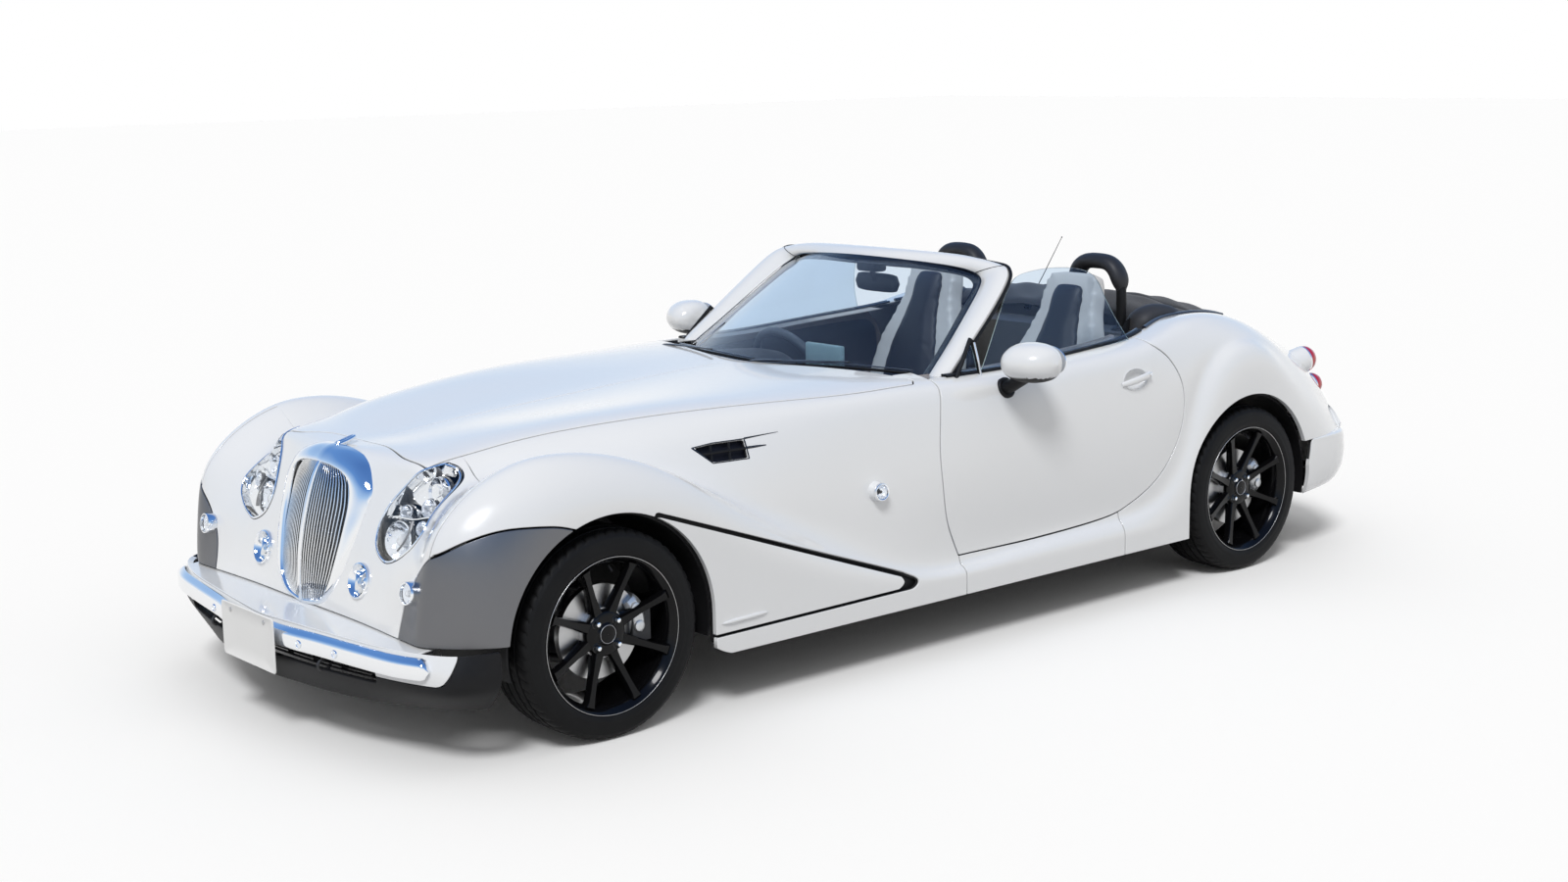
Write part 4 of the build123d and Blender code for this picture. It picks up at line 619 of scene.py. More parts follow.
LOW = (
    (-2.035, .770, .420), (-1.93, .815, .435), (-1.82, .842, .460), (-1.70, .858, .495), (-1.585, .866, .555),
    (-1.46, .868, .618), (-1.34, .868, .640), (-1.22, .868, .585), (-1.11, .868, .425), (-1.03, .868, .310),
    (-.95, .868, .250), (-.76, .868, .236), (.05, .868, .235), (.50, .868, .248), (.80, .868, .320),
    (1.00, .868, .390), (1.15, .868, .470), (1.28, .868, .552), (1.42, .867, .618), (1.56, .866, .645),
    (1.68, .865, .640), (1.78, .862, .600),
)
LOWER = (
    (-2.035, .775, .400), (-1.82, .846, .425), (-1.70, .861, .450), (-1.585, .868, .490), (-1.46, .868, .545),
    (-1.34, .868, .565), (-1.22, .868, .500), (-1.11, .868, .330), (-1.03, .868, .235), (-.76, .868, .207),
    (.50, .868, .212), (.80, .868, .250), (1.00, .868, .285), (1.15, .868, .335), (1.28, .868, .430),
    (1.42, .868, .525), (1.56, .867, .555), (1.68, .866, .540), (1.78, .864, .490),
)
FOOT = (
    (-2.035, .780, .380), (-1.82, .849, .392), (-1.70, .864, .405), (-1.585, .868, .430), (-1.46, .868, .470),
    (-1.34, .868, .480), (-1.22, .868, .400), (-1.11, .868, .235), (-1.03, .868, .179), (1.15, .868, .179),
    (1.28, .868, .270), (1.42, .868, .420), (1.56, .867, .450), (1.68, .866, .420), (1.78, .865, .330),
)
LINES = (CENTRE, INNER, SHOULDER, BELT, HAUNCH, SIDE, FLANK, CREST, OUTER_SHOULDER, OUTER, LOW, LOWER, FOOT)
U_BELT, U_CREST, U_FOOT = 3, 7, 12
# Rows round the nose after the last station, one (x, y, z) for each line
NOSE_ROWS = (
    ((1.898, 0, .802), (1.897, .155, .806), (1.903, .31, .799), (1.899, .424, .786), (1.862, .466, .750),
     (1.865, .545, .718), (1.868, .640, .764), (1.886, .715, .785), (1.870, .790, .748), (1.848, .838, .680),
     (1.832, .860, .578), (1.820, .864, .480), (1.810, .866, .330)),
    ((1.950, 0, .788), (1.948, .155, .776), (1.936, .31, .758), (1.922, .412, .742), (1.922, .458, .704),
     (1.925, .540, .688), (1.950, .638, .714), (1.975, .710, .727), (1.952, .780, .696), (1.907, .832, .637),
     (1.868, .858, .545), (1.850, .863, .450), (1.840, .865, .330)),
    ((1.990, 0, .690), (1.985, .155, .688), (1.972, .31, .686), (1.962, .410, .668), (1.968, .455, .644),
     (1.978, .540, .636), (2.012, .635, .650), (2.045, .705, .652), (2.010, .775, .620), (1.948, .830, .580),
     (1.895, .857, .505), (1.870, .862, .420), (1.860, .864, .330)),
    ((2.026, 0, .600), (2.020, .155, .598), (2.010, .31, .595), (2.003, .410, .588), (2.006, .455, .580),
     (2.018, .540, .582), (2.048, .635, .580), (2.073, .700, .568), (2.037, .770, .535), (1.972, .828, .505),
     (1.912, .856, .455), (1.885, .861, .390), (1.875, .863, .330)),
    ((2.052, 0, .520), (2.046, .155, .520), (2.040, .31, .520), (2.038, .410, .520), (2.040, .455, .515),
     (2.052, .540, .520), (2.072, .632, .512), (2.088, .700, .475), (2.045, .770, .440), (1.983, .828, .430),
     (1.925, .856, .400), (1.900, .861, .370), (1.890, .863, .330)),
    ((2.074, 0, .430), (2.070, .155, .430), (2.066, .31, .428), (2.068, .410, .428), (2.070, .455, .426),
     (2.078, .540, .420), (2.088, .632, .410), (2.096, .700, .390), (2.048, .770, .375), (1.985, .828, .370),
     (1.929, .856, .360), (1.904, .861, .345), (1.894, .863, .328)),
    ((2.088, 0, .347), (2.086, .155, .347), (2.086, .31, .347), (2.090, .424, .347), (2.091, .455, .347),
     (2.096, .540, .347), (2.100, .640, .347), (2.096, .700, .345), (2.048, .770, .340), (1.986, .828, .335),
     (1.930, .856, .332), (1.905, .861, .329), (1.895, .863, .326)),
)
# Rows round the tail before the first station, from the bumper up, for the inner lines;
# the outer lines run straight to their last point
TAIL_ROWS = (
    ((-2.150, 0, .440), (-2.142, .18, .440), (-2.122, .36, .440), (-2.096, .56, .440), (-2.078, .635, .440),
     (-2.064, .692, .440), (-2.056, .712, .440), (-2.050, .735, .438)),
    ((-2.128, 0, .510), (-2.121, .18, .510), (-2.106, .36, .508), (-2.084, .552, .500), (-2.068, .622, .484),
     (-2.058, .682, .468), (-2.052, .706, .462), (-2.047, .731, .450)),
    ((-2.108, 0, .575), (-2.103, .18, .574), (-2.092, .36, .570), (-2.074, .546, .556), (-2.061, .612, .526),
     (-2.053, .672, .500), (-2.048, .700, .486), (-2.044, .728, .463)),
    ((-2.094, 0, .640), (-2.090, .18, .638), (-2.081, .36, .632), (-2.066, .540, .610), (-2.054, .607, .568),
     (-2.048, .666, .532), (-2.044, .697, .509), (-2.041, .726, .476)),
    ((-2.074, 0, .700), (-2.071, .18, .698), (-2.065, .36, .690), (-2.054, .532, .664), (-2.047, .605, .606),
     (-2.042, .662, .562), (-2.040, .693, .531), (-2.038, .723, .488)),
)
TAIL_ENDS = ((-2.046, .752, .428), (-2.044, .768, .410), (-2.042, .776, .395), (-2.040, .780, .380),
             (-2.038, .784, .365))


def body_grid():
    """The left half of the body as one grid: rows from the tail to the nose, columns from the centre down."""
    main = np.stack([np.column_stack([STATIONS, smooth(STATIONS, line)]) for line in LINES], axis=1)
    tail = []
    for k, row in enumerate(TAIL_ROWS):
        share = k / len(TAIL_ROWS)
        ends = [np.array(end) * (1 - share) + main[0, U_CREST + 1 + i] * share for i,
                end in enumerate(TAIL_ENDS)]
        tail.append(np.vstack([row, ends]))
    return np.concatenate([np.array(tail), main, np.array(NOSE_ROWS)])


GRID = body_grid()
V_TAIL = len(TAIL_ROWS)                  # row of the first station
V_NOSE = V_TAIL + len(STATIONS) - 1      # row of the last station
V_END = len(GRID) - 1


def row_at(x):
    """The body grid's row parameter at a station."""
    return V_TAIL + float(np.interp(x, STATIONS, np.arange(len(STATIONS))))


# ---------------------------------------------------------------- outlines
# Hood, plan (x, y) from the middle of its front edge to the middle of its rear edge
HOOD_FRONT = ((1.858, 0), (1.868, .15), (1.897, .29), (1.900, .350))
HOOD_SIDE = ((1.893, .424), (1.765, .432), (1.56, .480), (1.40, .520), (1.25, .560), (1.03, .615),
             (.80, .665),
             (.50, .712), (.26, .728))
HOOD_REAR = ((.235, .700), (.30, .50), (.372, .25), (.400, 0))
BOOT_SIDE = ((-1.552, 0), (-1.552, .560), (-1.70, .546), (-1.90, .528), (-2.060, .520), (-2.098, .510),
             (-2.107, 0))
# Side outlines (x, z)
DOOR_LOOP = ((.165, DOOR_TOP), (.175, .873), (.206, .760), (.226, .660), (.228, .560), (.212, .430),
             (.158, .304),
             (-.20, .303), (-.56, .318), (-.70, .352), (-.82, .412), (-.905, .490), (-.962, .580),
             (-.984, .670), (-.972, .760), (-.925, .840), (-.855, .895), (-.80, DOOR_TOP))
GAP_LOOP = ((1.430, .6550), (.425, .2985), (.352, .262), (.398, .2415), (1.230, .235), (1.250, .262),
            (1.270, .40),
            (1.340, .515))               # opening round the inset panel behind the front wheel
INSET_LOOP = ((1.430, .6440), (.441, .2885), (.428, .266), (.455, .2490), (1.232, .2420), (1.252, .262),
              (1.272, .40),
              (1.342, .515))
VENT_LOOP = ((1.153, .7785), (1.091, .7245), (.962, .7255), (.964, .7885), (1.077, .787))
VENT_HOLE = ((1.138, .7755), (1.089, .7295), (.968, .7305), (.970, .7830), (1.077, .7820))
WING_SPLIT = ((1.640, .622), (1.681, .638), (1.762, .660), (1.890, .667), (1.985, .645), (2.062, .600),
              (2.140, .530))
NOSE_SPLIT = ((.566, .300), (.572, .400), (.592, .470), (.645, .540), (.712, .600), (.760, .630))    # (y, z)
WING_CORNER_Y = 0.712  # where the two split lines meet
LAMP_LOOP = ((.437, .790), (.412, .770), (.380, .732), (.346, .682), (.327, .628), (.330, .585), (.352, .552),
             (.408, .530), (.470, .549), (.525, .590), (.545, .632), (.531, .677), (.517, .713), (.492, .745),
             (.460, .777))    # (y, z)
FOG = ((2.057, .298, .459), .050)
MARKER = ((2.076, .624, .486), .032)
NOSE_FOOT_Z = 0.349
HANDLE = (-.728, .786)                   # middle of the door handle's recess, (x, z)
SKIRT = (-.630, .155)                    # rear end, front end


def mirrored_loop(half):
    """A closed plan outline from its left half, which starts and ends on y = 0."""
    return np.vstack([half, [(x, -y) for x, y in half[::-1]]])


def hood_outline():
    return mirrored_loop(np.vstack([curve(HOOD_FRONT), curve(HOOD_SIDE), curve(HOOD_REAR)]))


def door_outline():
    return np.vstack([DOOR_LOOP[:1], curve(DOOR_LOOP[1:7]), curve(DOOR_LOOP[6:17]), DOOR_LOOP[-1:]])


def low_wing(s):
    """Above 0 on the dark panel low on the wing, whose edge runs along its side and down its front."""
    side = inside(s.p[:, XZ], np.vstack([curve(WING_SPLIT), [(2.3, 0), (1.5, 0)]]))
    front = inside(np.abs(s.p[:, YZ]), np.vstack([curve(NOSE_SPLIT), [(1.2, .9), (1.2, 0), (.566, 0)]]))
    return np.where(np.abs(s.p[:, 1]) > WING_CORNER_Y, side, front)


def arch_field(p, axle, radius=ARCH):
    """Above 0 outside a wheel arch, whose sides run straight down from the axle's height."""
    dz = np.maximum(p[:, 2] - axle[1], 0)
    return np.hypot(p[:, 0] - axle[0], dz) - radius


def near_arch(p):
    """True on an arch's own edge, which shows in the paint's colour."""
    return np.minimum(np.abs(arch_field(p, FRONT_AXLE)), np.abs(arch_field(p, REAR_AXLE))) < 0.012


def trimmed(skin, *fields):
    """A skin cut by functions of its own points and parameters, each leaving room for the hem."""
    for field in fields:
        skin = cut(skin, field(skin) - HEM)
    return skin


def within(axes, outline, gap=SEAM):
    return lambda s: inside(s.p[:, axes], outline) - gap


def outside(axes, outline, gap=SEAM):
    return lambda s: -inside(s.p[:, axes], outline) - gap


def beyond(axis, value):
    """A field above 0 where a coordinate is past a value."""
    return lambda s: s.p[:, axis] - value


def short_of(axis, value):
    return lambda s: value - s.p[:, axis]


def off_arch(axle):
    return lambda s: arch_field(s.p, axle)


# ---------------------------------------------------------------- body panels
LID_FOOT_Z = .592
FASCIA_HALF, FASCIA_REAR_X = .702, 1.779     # the nose's seams to the wings and behind the lamps
GRILLE_ZONE_X = 1.958                    # the grille's hole is cut only ahead of this


def add_hood():
    skin = skin_of(full(GRID), (row_at(.0), V_END - 3.5), (U_FOOT - 5, U_FOOT + 5), cell=0.020)
    skin = trimmed(skin, within(XY, hood_outline()))
    place(panel("hood_panel_skin", skin, BODY, depth=0.016, back=True), "hood_panel", "white_paint", "hood")


def add_boot_lid():
    skin = skin_of(full(GRID), (1.0, row_at(-1.4)), (U_FOOT - 5, U_FOOT + 5), cell=0.018)
    skin = trimmed(skin, within(XY, mirrored_loop(BOOT_SIDE)), beyond(Z, LID_FOOT_Z))
    place(panel("boot_lid_skin", skin, BODY, depth=0.014, back=True), "boot_lid_panel", "white_paint",
          "boot_lid")


def add_fascia():
    skin = skin_of(full(GRID), (V_NOSE - 1.2, V_END), (U_FOOT - 7.3, U_FOOT + 7.3), cell=0.0135)
    lamp = curve([*LAMP_LOOP, LAMP_LOOP[0]], 5)
    (_, fog_y, fog_z), fog_radius = FOG
    skin = trimmed(
        skin, outside(XY, hood_outline()), lambda s: FASCIA_HALF - SEAM - np.abs(s.p[:, Y]),
        beyond(X, FASCIA_REAR_X + SEAM), outside(YZ, lamp, 0), outside(YZ, lamp * [-1, 1], 0),
        lambda s: np.hypot(np.abs(s.p[:, Y]) - fog_y, s.p[:, Z] - fog_z) - fog_radius,
        lambda s: np.where(s.p[:, X] > GRILLE_ZONE_X, -inside(s.p[:, YZ], grille_outline()), 1),
        lambda s: -low_wing(s) - SEAM, beyond(Z, NOSE_FOOT_Z),
    )
    place(panel("nose_fascia_skin", skin, BODY, depth=0.018), "body", "white_paint", "nose_fascia")


# Grille collar's outer edge on the body and its front rim, from the foot to the top, (x, y, z) each
COLLAR = (
    ((2.082, 0, .338), (2.095, 0, .350)), ((2.080, .104, .354), (2.089, .092, .364)),
    ((2.076, .152, .392), (2.086, .132, .396)), ((2.066, .185, .438), (2.080, .152, .430)),
    ((2.050, .212, .500), (2.064, .170, .500)), ((2.026, .230, .570), (2.046, .182, .570)),
    ((2.002, .242, .634), (2.026, .186, .634)), ((1.978, .248, .690), (2.014, .184, .685)),
    ((1.962, .232, .728), (2.008, .170, .724)), ((1.950, .185, .774), (2.008, .138, .748)),
    ((1.948, .100, .800), (2.011, .080, .763)), ((1.950, 0, .810), (2.014, 0, .768)),
)
# Grille bars: (x of the middle, how far the outermost stands back, half width, z)
BAR_LINE = (
    (2.096, .010, .100, .350), (2.097, .014, .136, .400), (2.093, .024, .162, .470),
    (2.078, .034, .176, .560),
    (2.058, .038, .178, .640), (2.034, .030, .162, .712), (2.012, .014, .118, .756),
    (1.990, .004, .090, .775),
)
BARS_PER_SIDE = 13
GRILLE_MIDDLE_Z = .57


def collar_edge(which):
    """The whole loop of the collar's outer edge (0) or front rim (1), from the foot round the left side."""
    half = curve([pair[which] for pair in COLLAR], 6)
    return np.vstack([half, (half[1:-1] * MIRROR)[::-1]])


def grille_outline():
    """The hole behind the collar in (y, z), a little inside its outer edge."""
    middle = np.array([0, GRILLE_MIDDLE_Z])
    return middle + (collar_edge(0)[:, YZ] - middle) * .93


def moved(skin, shift):
    skin.p = skin.p + shift
    return skin


INSET_RADII = (.012, .012, .012, .012, .005, .03, .2, .2)
GAP_RADII = (.010, .012, .016, .012, .004, .03, .2, .2)
FENDER_REAR_X, LOW_WING_REAR_X = .10, 1.6


def add_fenders():
    """Each front wing: its skin, the dark low panel, the inset behind the wheel and its black backing,
    painted shade seen through the gap round the inset.
    """
    arch, sill = off_arch(FRONT_AXLE), beyond(Z, SILL_Z)
    inset, gap = rounded(INSET_LOOP, INSET_RADII), rounded(GAP_LOOP, GAP_RADII)
    skin = trimmed(
        skin_of(GRID, (row_at(.05), V_END), (U_BELT - 0.6, U_FOOT), cell=0.015), outside(XY, hood_outline()),
        lambda s: s.p[:, Y] - np.where(s.p[:, X] > FASCIA_REAR_X - SEAM, FASCIA_HALF + SEAM, 0),
        outside(XZ, door_outline()), beyond(X, SKIRT[1] + SEAM), arch, lambda s: -low_wing(s) - SEAM, sill,
        outside(XZ, gap, .001), outside(XZ, VENT_HOLE, 0), beyond(X, FENDER_REAR_X),
    )
    low = trimmed(
        skin_of(GRID, (V_NOSE - 2, V_END), (U_CREST - 2.5, U_FOOT), cell=0.012),
        lambda s: low_wing(s) - SEAM, arch, beyond(Z, NOSE_FOOT_Z), beyond(X, LOW_WING_REAR_X),
    )
    rows, cols = (row_at(.25), row_at(1.42)), (U_CREST - 1, U_FOOT)
    piece = moved(trimmed(skin_of(GRID, rows, cols, cell=0.014), within(XZ, inset, .001), arch, sill),
                  [0, -.003, 0])
    backing = moved(trimmed(skin_of(GRID, rows, cols, cell=0.03), within(XZ, gap, -.02), arch, sill),
                    [0, -.024, 0])
    for side, name in SIDES:
        place(panel(f"fender_skin_{name}", skin, BODY, side, bright=near_arch), "body", "white_paint",
              f"fender_{name}")
        place(panel(f"lower_wing_skin_{name}", low, [SATIN, GAP_SHADE, UNDER], side), "body", "dark_satin",
              "lower_wing_panels")
        place(panel(f"wing_inset_skin_{name}", piece, BODY, side, bright=near_arch), "body", "white_paint")
        place(panel(f"wing_inset_gap_shade_{name}", backing, plain(BLACK), side, depth=.004), "body",
              "black_plastic")


# below DOOR_BRIGHT_Z the deep part of a door's edge wall is dark: painted shade in the shut gap
DOOR_DEPTH, DOOR_BRIGHT_Z = .085, .70    # above this height a door's edge shows the paint


def add_doors():
    (x, z), (half, tall) = HANDLE, HANDLE_HALF
    skin = trimmed(
        skin_of(GRID, (row_at(-1.03), row_at(.30)), (U_BELT - 0.25, U_CREST + 1), cell=0.015),
        within(XZ, door_outline()), lambda s: s.q[:, 1] - U_BELT + 0.15,
        lambda s: np.hypot((s.p[:, X] - x) / half, (s.p[:, Z] - z) / tall) * tall - tall,
    )
    for side, name in SIDES:
        door = panel(f"door_skin_{name}", skin, [PAINT, GAP_SHADE, BRONZE], side, depth=DOOR_DEPTH,
                     inward=(0, -1, 0),
                     back=True, bright=lambda p: p[:, Z] > DOOR_BRIGHT_Z)
        place(door, f"door_assembly_{name}", "white_paint", f"door_{name}")


def add_skirts():
    rear, front = SKIRT
    skin = trimmed(
        skin_of(GRID, (row_at(rear) - 0.6, row_at(front) + 0.6), (U_CREST - 1, U_FOOT), cell=0.014),
        beyond(X, rear + SEAM), short_of(X, front - SEAM), outside(XZ, door_outline()), beyond(Z, SILL_Z),
    )
    for side, name in SIDES:
        place(panel(f"side_skirt_skin_{name}", skin, BODY, side), "body", "white_paint", "side_skirts")


QUARTER_FOOT_Z = .447                    # behind the wheel, over the rear bumper
DECK_X, TAIL_EDGE_X = -1.56, -1.99       # where the deck ends; behind the second the edge shows the paint
V_TAIL_SEAM = V_TAIL - .9                # row of the seam between the quarters and the tail


def add_quarters():
    skin = trimmed(
        skin_of(GRID, (0.6, row_at(-.45)), (U_BELT - 0.6, U_FOOT), cell=0.015), short_of(X, SKIRT[0] - SEAM),
        outside(XZ, door_outline()), off_arch(REAR_AXLE), outside(XY, mirrored_loop(BOOT_SIDE)),
        lambda s: np.where(s.p[:, X] > DECK_X, s.q[:, 1] - U_BELT + 0.12, 1),
        lambda s: s.p[:, Z] - np.where(s.p[:, X] < -1.5, QUARTER_FOOT_Z, SILL_Z),
        lambda s: np.where(s.p[:, X] < -1.9, s.q[:, 1] - U_BELT - 0.02, 1), lambda s: s.q[:, 0] - V_TAIL_SEAM,
    )
    for side, name in SIDES:
        quarter = panel(f"quarter_skin_{name}", skin, BODY, side,
                        bright=lambda p: near_arch(p) | (p[:, X] < TAIL_EDGE_X))
        place(quarter, "body", "white_paint", f"quarter_{name}")


def add_tail():
    skin = trimmed(
        skin_of(full(GRID), (0, 4.4), (U_FOOT - 6, U_FOOT + 6), cell=0.014),
        lambda s: V_TAIL_SEAM - s.q[:, 0] - .02,
        lambda s: np.where(np.abs(s.p[:, Y]) < .53, .588 - s.p[:, Z], 1),
        beyond(Z, .442),
    )
    place(panel("tail_skin", skin, BODY, bright=lambda p: np.abs(p[:, Y]) > .60), "body", "white_paint")
    corner = trimmed(
        skin_of(GRID, (V_TAIL - 1.6, V_TAIL - .3), (U_BELT, U_FOOT), cell=0.012),
        beyond(Z, .440), short_of(Z, .640), beyond(Y, .545),
    )
    corner = moved(corner, -corner.n * .007)
    for side, name in SIDES:
        place(panel(f"tail_corner_{name}", corner, [PAINT, PAINT, UNDER], side, depth=.004, radius=.001),
              "body",
              "white_paint")


# ---------------------------------------------------------------- nose
def on_surface(skin, solved, first, second):
    """Points and normals on a skin for two coordinates, the third solved on the tangent plane."""
    axes = [a for a in (0, 1, 2) if a != solved]
    wanted = np.column_stack([np.ravel(first), np.ravel(second)]).astype(float)
    nearest = np.array([np.argmin(((skin.p[:, axes] - w) ** 2).sum(1)) for w in wanted])
    p, n = skin.p[nearest], skin.n[nearest]
    step = ((wanted - p[:, axes]) * n[:, axes]).sum(1)
    found = np.zeros((len(wanted), 3))
    found[:, axes] = wanted
    found[:, solved] = p[:, solved] - step / n[:, solved]
    return found, n


def both_sides(name, pieces, body, slot, *nodes):
    """The left side's pieces as one, and their mirror image; {} in a body or node stands for the side."""
    left = joined(f"{name}_left", pieces)
    for piece, side in ((left, "left"), (mirror_of(left, f"{name}_right"), "right")):
        place(piece, body.format(side), slot, *[node.format(side) for node in nodes])


def scaled(profile, radius):
    """A profile whose radii are written as shares of one radius."""
    return [(d, share * radius) for d, share in profile]


COLLAR_SHARES = (0, .12, .3, .5, .7, .86, .96)   # rings from the collar's outer edge to its rim
COLLAR_LIP = ((.002, .0), (.005, .003), (.006, .010), (.006, .040))   # then (inwards, back) round the rim
COLLAR_BULGE = .55
BAR_HEIGHTS = np.linspace(.356, .760, 26)


def add_grille():
    """The chrome collar, its upright bars with a broad one in the middle, and a dark back."""
    outer, rim = collar_edge(0), collar_edge(1)
    tangent = np.roll(rim, -1, 0) - np.roll(rim, 1, 0)
    chord = rim - outer
    bulge = unit(np.cross(chord, tangent))
    bulge *= np.where(bulge[:, :1] < 0, -1, 1)
    bulge *= np.linalg.norm(chord, axis=1, keepdims=True) * COLLAR_BULGE
    inward = unit((np.array([0, 0, GRILLE_MIDDLE_Z]) - rim) * [0, 1, 1])
    rings = [outer - [.012, 0, 0]]
    rings += [outer + chord * s + bulge * s * (1 - s) for s in COLLAR_SHARES]
    rings += [rim + inward * a - [b, 0, 0] for a, b in COLLAR_LIP]
    place(loft("grille_collar", rings, CHROME, caps=False), "body", "chrome", "grille")
    z = BAR_HEIGHTS
    centre, rake, half = smooth(z, [(row[3], *row[:3]) for row in BAR_LINE]).T
    bars = []
    for side, _ in SIDES:
        for k in range(BARS_PER_SIDE):
            share = (k + .9) / (BARS_PER_SIDE + .4)
            path = np.stack([centre - rake * share ** 2 - .008, side * half * share, z], 1)
            bars.append(swept("bar", path, .0030, CHROME, 8, .78, (0, 1, 0)))
    bars.append(swept("centre_bar", np.stack([centre - .004, 0 * z, z], 1), .010, CHROME, 12, .62, (0, 1, 0)))
    place(joined("grille_bars", bars), "body", "chrome")
    back = [np.stack([centre - rake * q * q - .036, half * q * 1.02, z], 1) for q in np.linspace(-1, 1, 15)]
    place(loft("grille_back", back, GLOSS, closed=False), "body", "black_plastic")


ORNAMENT_X = 1.925
ORNAMENT_SPINE = ((1.950, 0, .803), (1.935, 0, .812), (1.915, 0, .817), (1.893, 0, .822))
ORNAMENT_FOOT = ((0, .012), (.012, .009), (.018, .004))


def add_ornament():
    """A plain loop and bar over the grille."""
    angle = np.linspace(0, 2 * math.pi, 33)
    loop = np.stack([ORNAMENT_X + .037 * np.cos(angle), .017 * np.sin(angle), .812 + .002 * np.sin(angle)], 1)
    loop[:, 2] -= .30 * (loop[:, 0] - ORNAMENT_X)
    spine = curve(ORNAMENT_SPINE)
    radius = np.interp(np.arange(len(spine)), [0, 8, 24], [.003, .006, .003])
    parts = [swept("ornament_loop", loop, .0055, CHROME, 10),
             swept("ornament_spine", spine, radius, CHROME, 10),
             turned("ornament_foot", ORNAMENT_FOOT, CHROME, (ORNAMENT_X, 0, .796), (.2, 0, 1), 24)]
    place(joined("hood_ornament", parts), "body", "chrome")


def shrunk(loop, skin, share, shift):
    """A lamp loop in (y, z) drawn in to a share of itself, on the body, then shifted."""
    middle = (loop.max(0) + loop.min(0)) / 2
    return on_surface(skin, 0, *(middle + (loop - middle) * share).T)[0] + shift


LENS_PLAN = ((1, 0), (.97, .004), (.9, .008), (.75, .013), (.5, .017), (.25, .019), (.004, .0195))
BOWL_PLAN = ((1.0, .002), (.985, .010), (.95, .026), (.88, .040), (.7, .052), (.4, .058), (.004, .060))
LAMP_AHEAD = unit(np.array([.93, .16, .22]))
# Reflectors: middle (y, z), radius, depth under the lens, number of rays across the dish
REFLECTORS = (
    (.461, .735, .040, .034, 10), (.470, .690, .026, .030, 0), (.405, .600, .050, .030, 0),
    (.500, .640, .020, .024, 0), (.398, .672, .022, .030, 0),
)
# Their turned pieces: (distance ahead, share of the radius) rows, finish, sides
REFLECTOR_PIECES = (
    (((-.010, 1.13), (.004, 1.19), (.006, 1.12), (.000, 1.10)), GLOSS, 36),
    (((-.002, 1.10), (.008, 1.12), (.012, 1.06), (.006, .97), (-.004, .85), (-.014, .60), (-.020, .30),
      (-.022, .02)), MIRRORED, 36),
    (((-.020, .35), (-.004, .34), (.003, .25), (.006, .02)), PALE_GLASS, 24),
)
# A band and a blade across the lamp: (y, z) points, depth, radius, finish, flatness
LAMP_STRIPS = (
    (((.340, .650), (.385, .655), (.44, .655), (.50, .668)), .020, .007, CHROME, .6),
    (((.445, .648), (.452, .620), (.446, .590), (.432, .568)), .012, .006, SATIN, .5),
)


def reflector(centre, radius, rays):
    """A dish with its ring and bulb, and rays across it."""
    parts = [turned("reflector", scaled(profile, radius), finish, centre, LAMP_AHEAD, sides)
             for profile, finish, sides in REFLECTOR_PIECES]
    for k in range(rays):
        out = Vector(LAMP_AHEAD).orthogonal().normalized()
        out.rotate(Matrix.Rotation(2 * math.pi * k / rays, 3, Vector(LAMP_AHEAD)))
        ray = [centre + np.array(out) * radius * q - LAMP_AHEAD * (.014 - .012 * q) for q in (.35, .6, .92)]
        parts.append(swept("ray", ray, .0022, MIRRORED, 6))
    return parts


def add_headlamps(nose):
    loop = curve([*LAMP_LOOP, LAMP_LOOP[0]], 5)[:-1]
    edge, normals = on_surface(nose, 0, *loop.T)
    axis = unit(normals.mean(0))
    lens = loft("lens", [shrunk(loop, nose, share, axis * out) for share, out in LENS_PLAN], LENS, caps=False)
    bowl = loft("bowl", [shrunk(loop, nose, share, -axis * back) for share, back in BOWL_PLAN], CHROME,
                caps=False)
    wide, _ = on_surface(nose, 0, *((loop - loop.mean(0)) * 1.022 + loop.mean(0)).T)
    parts = [bowl, swept("rim", np.vstack([edge, edge[:2]]) + axis * .001, .0034, CHROME, 8),
             swept("seal", np.vstack([wide, wide[:2]]) - axis * .0015, .0028, GLOSS, 8)]
    for y, z, radius, depth, rays in REFLECTORS:
        centre = on_surface(nose, 0, [y], [z])[0][0] - axis * depth
        parts += reflector(centre, radius, rays)
    for points, depth, radius, finish, flat in LAMP_STRIPS:
        line = [on_surface(nose, 0, [y], [z])[0][0] - axis * depth for y, z in points]
        parts.append(swept("strip", curve(line, 5), radius, finish, 8, flat))
    both_sides("headlamp_housing", parts, "body", "chrome", "front_lamps")
    both_sides("headlamp_lens", [lens], "body", "lamp_glass")


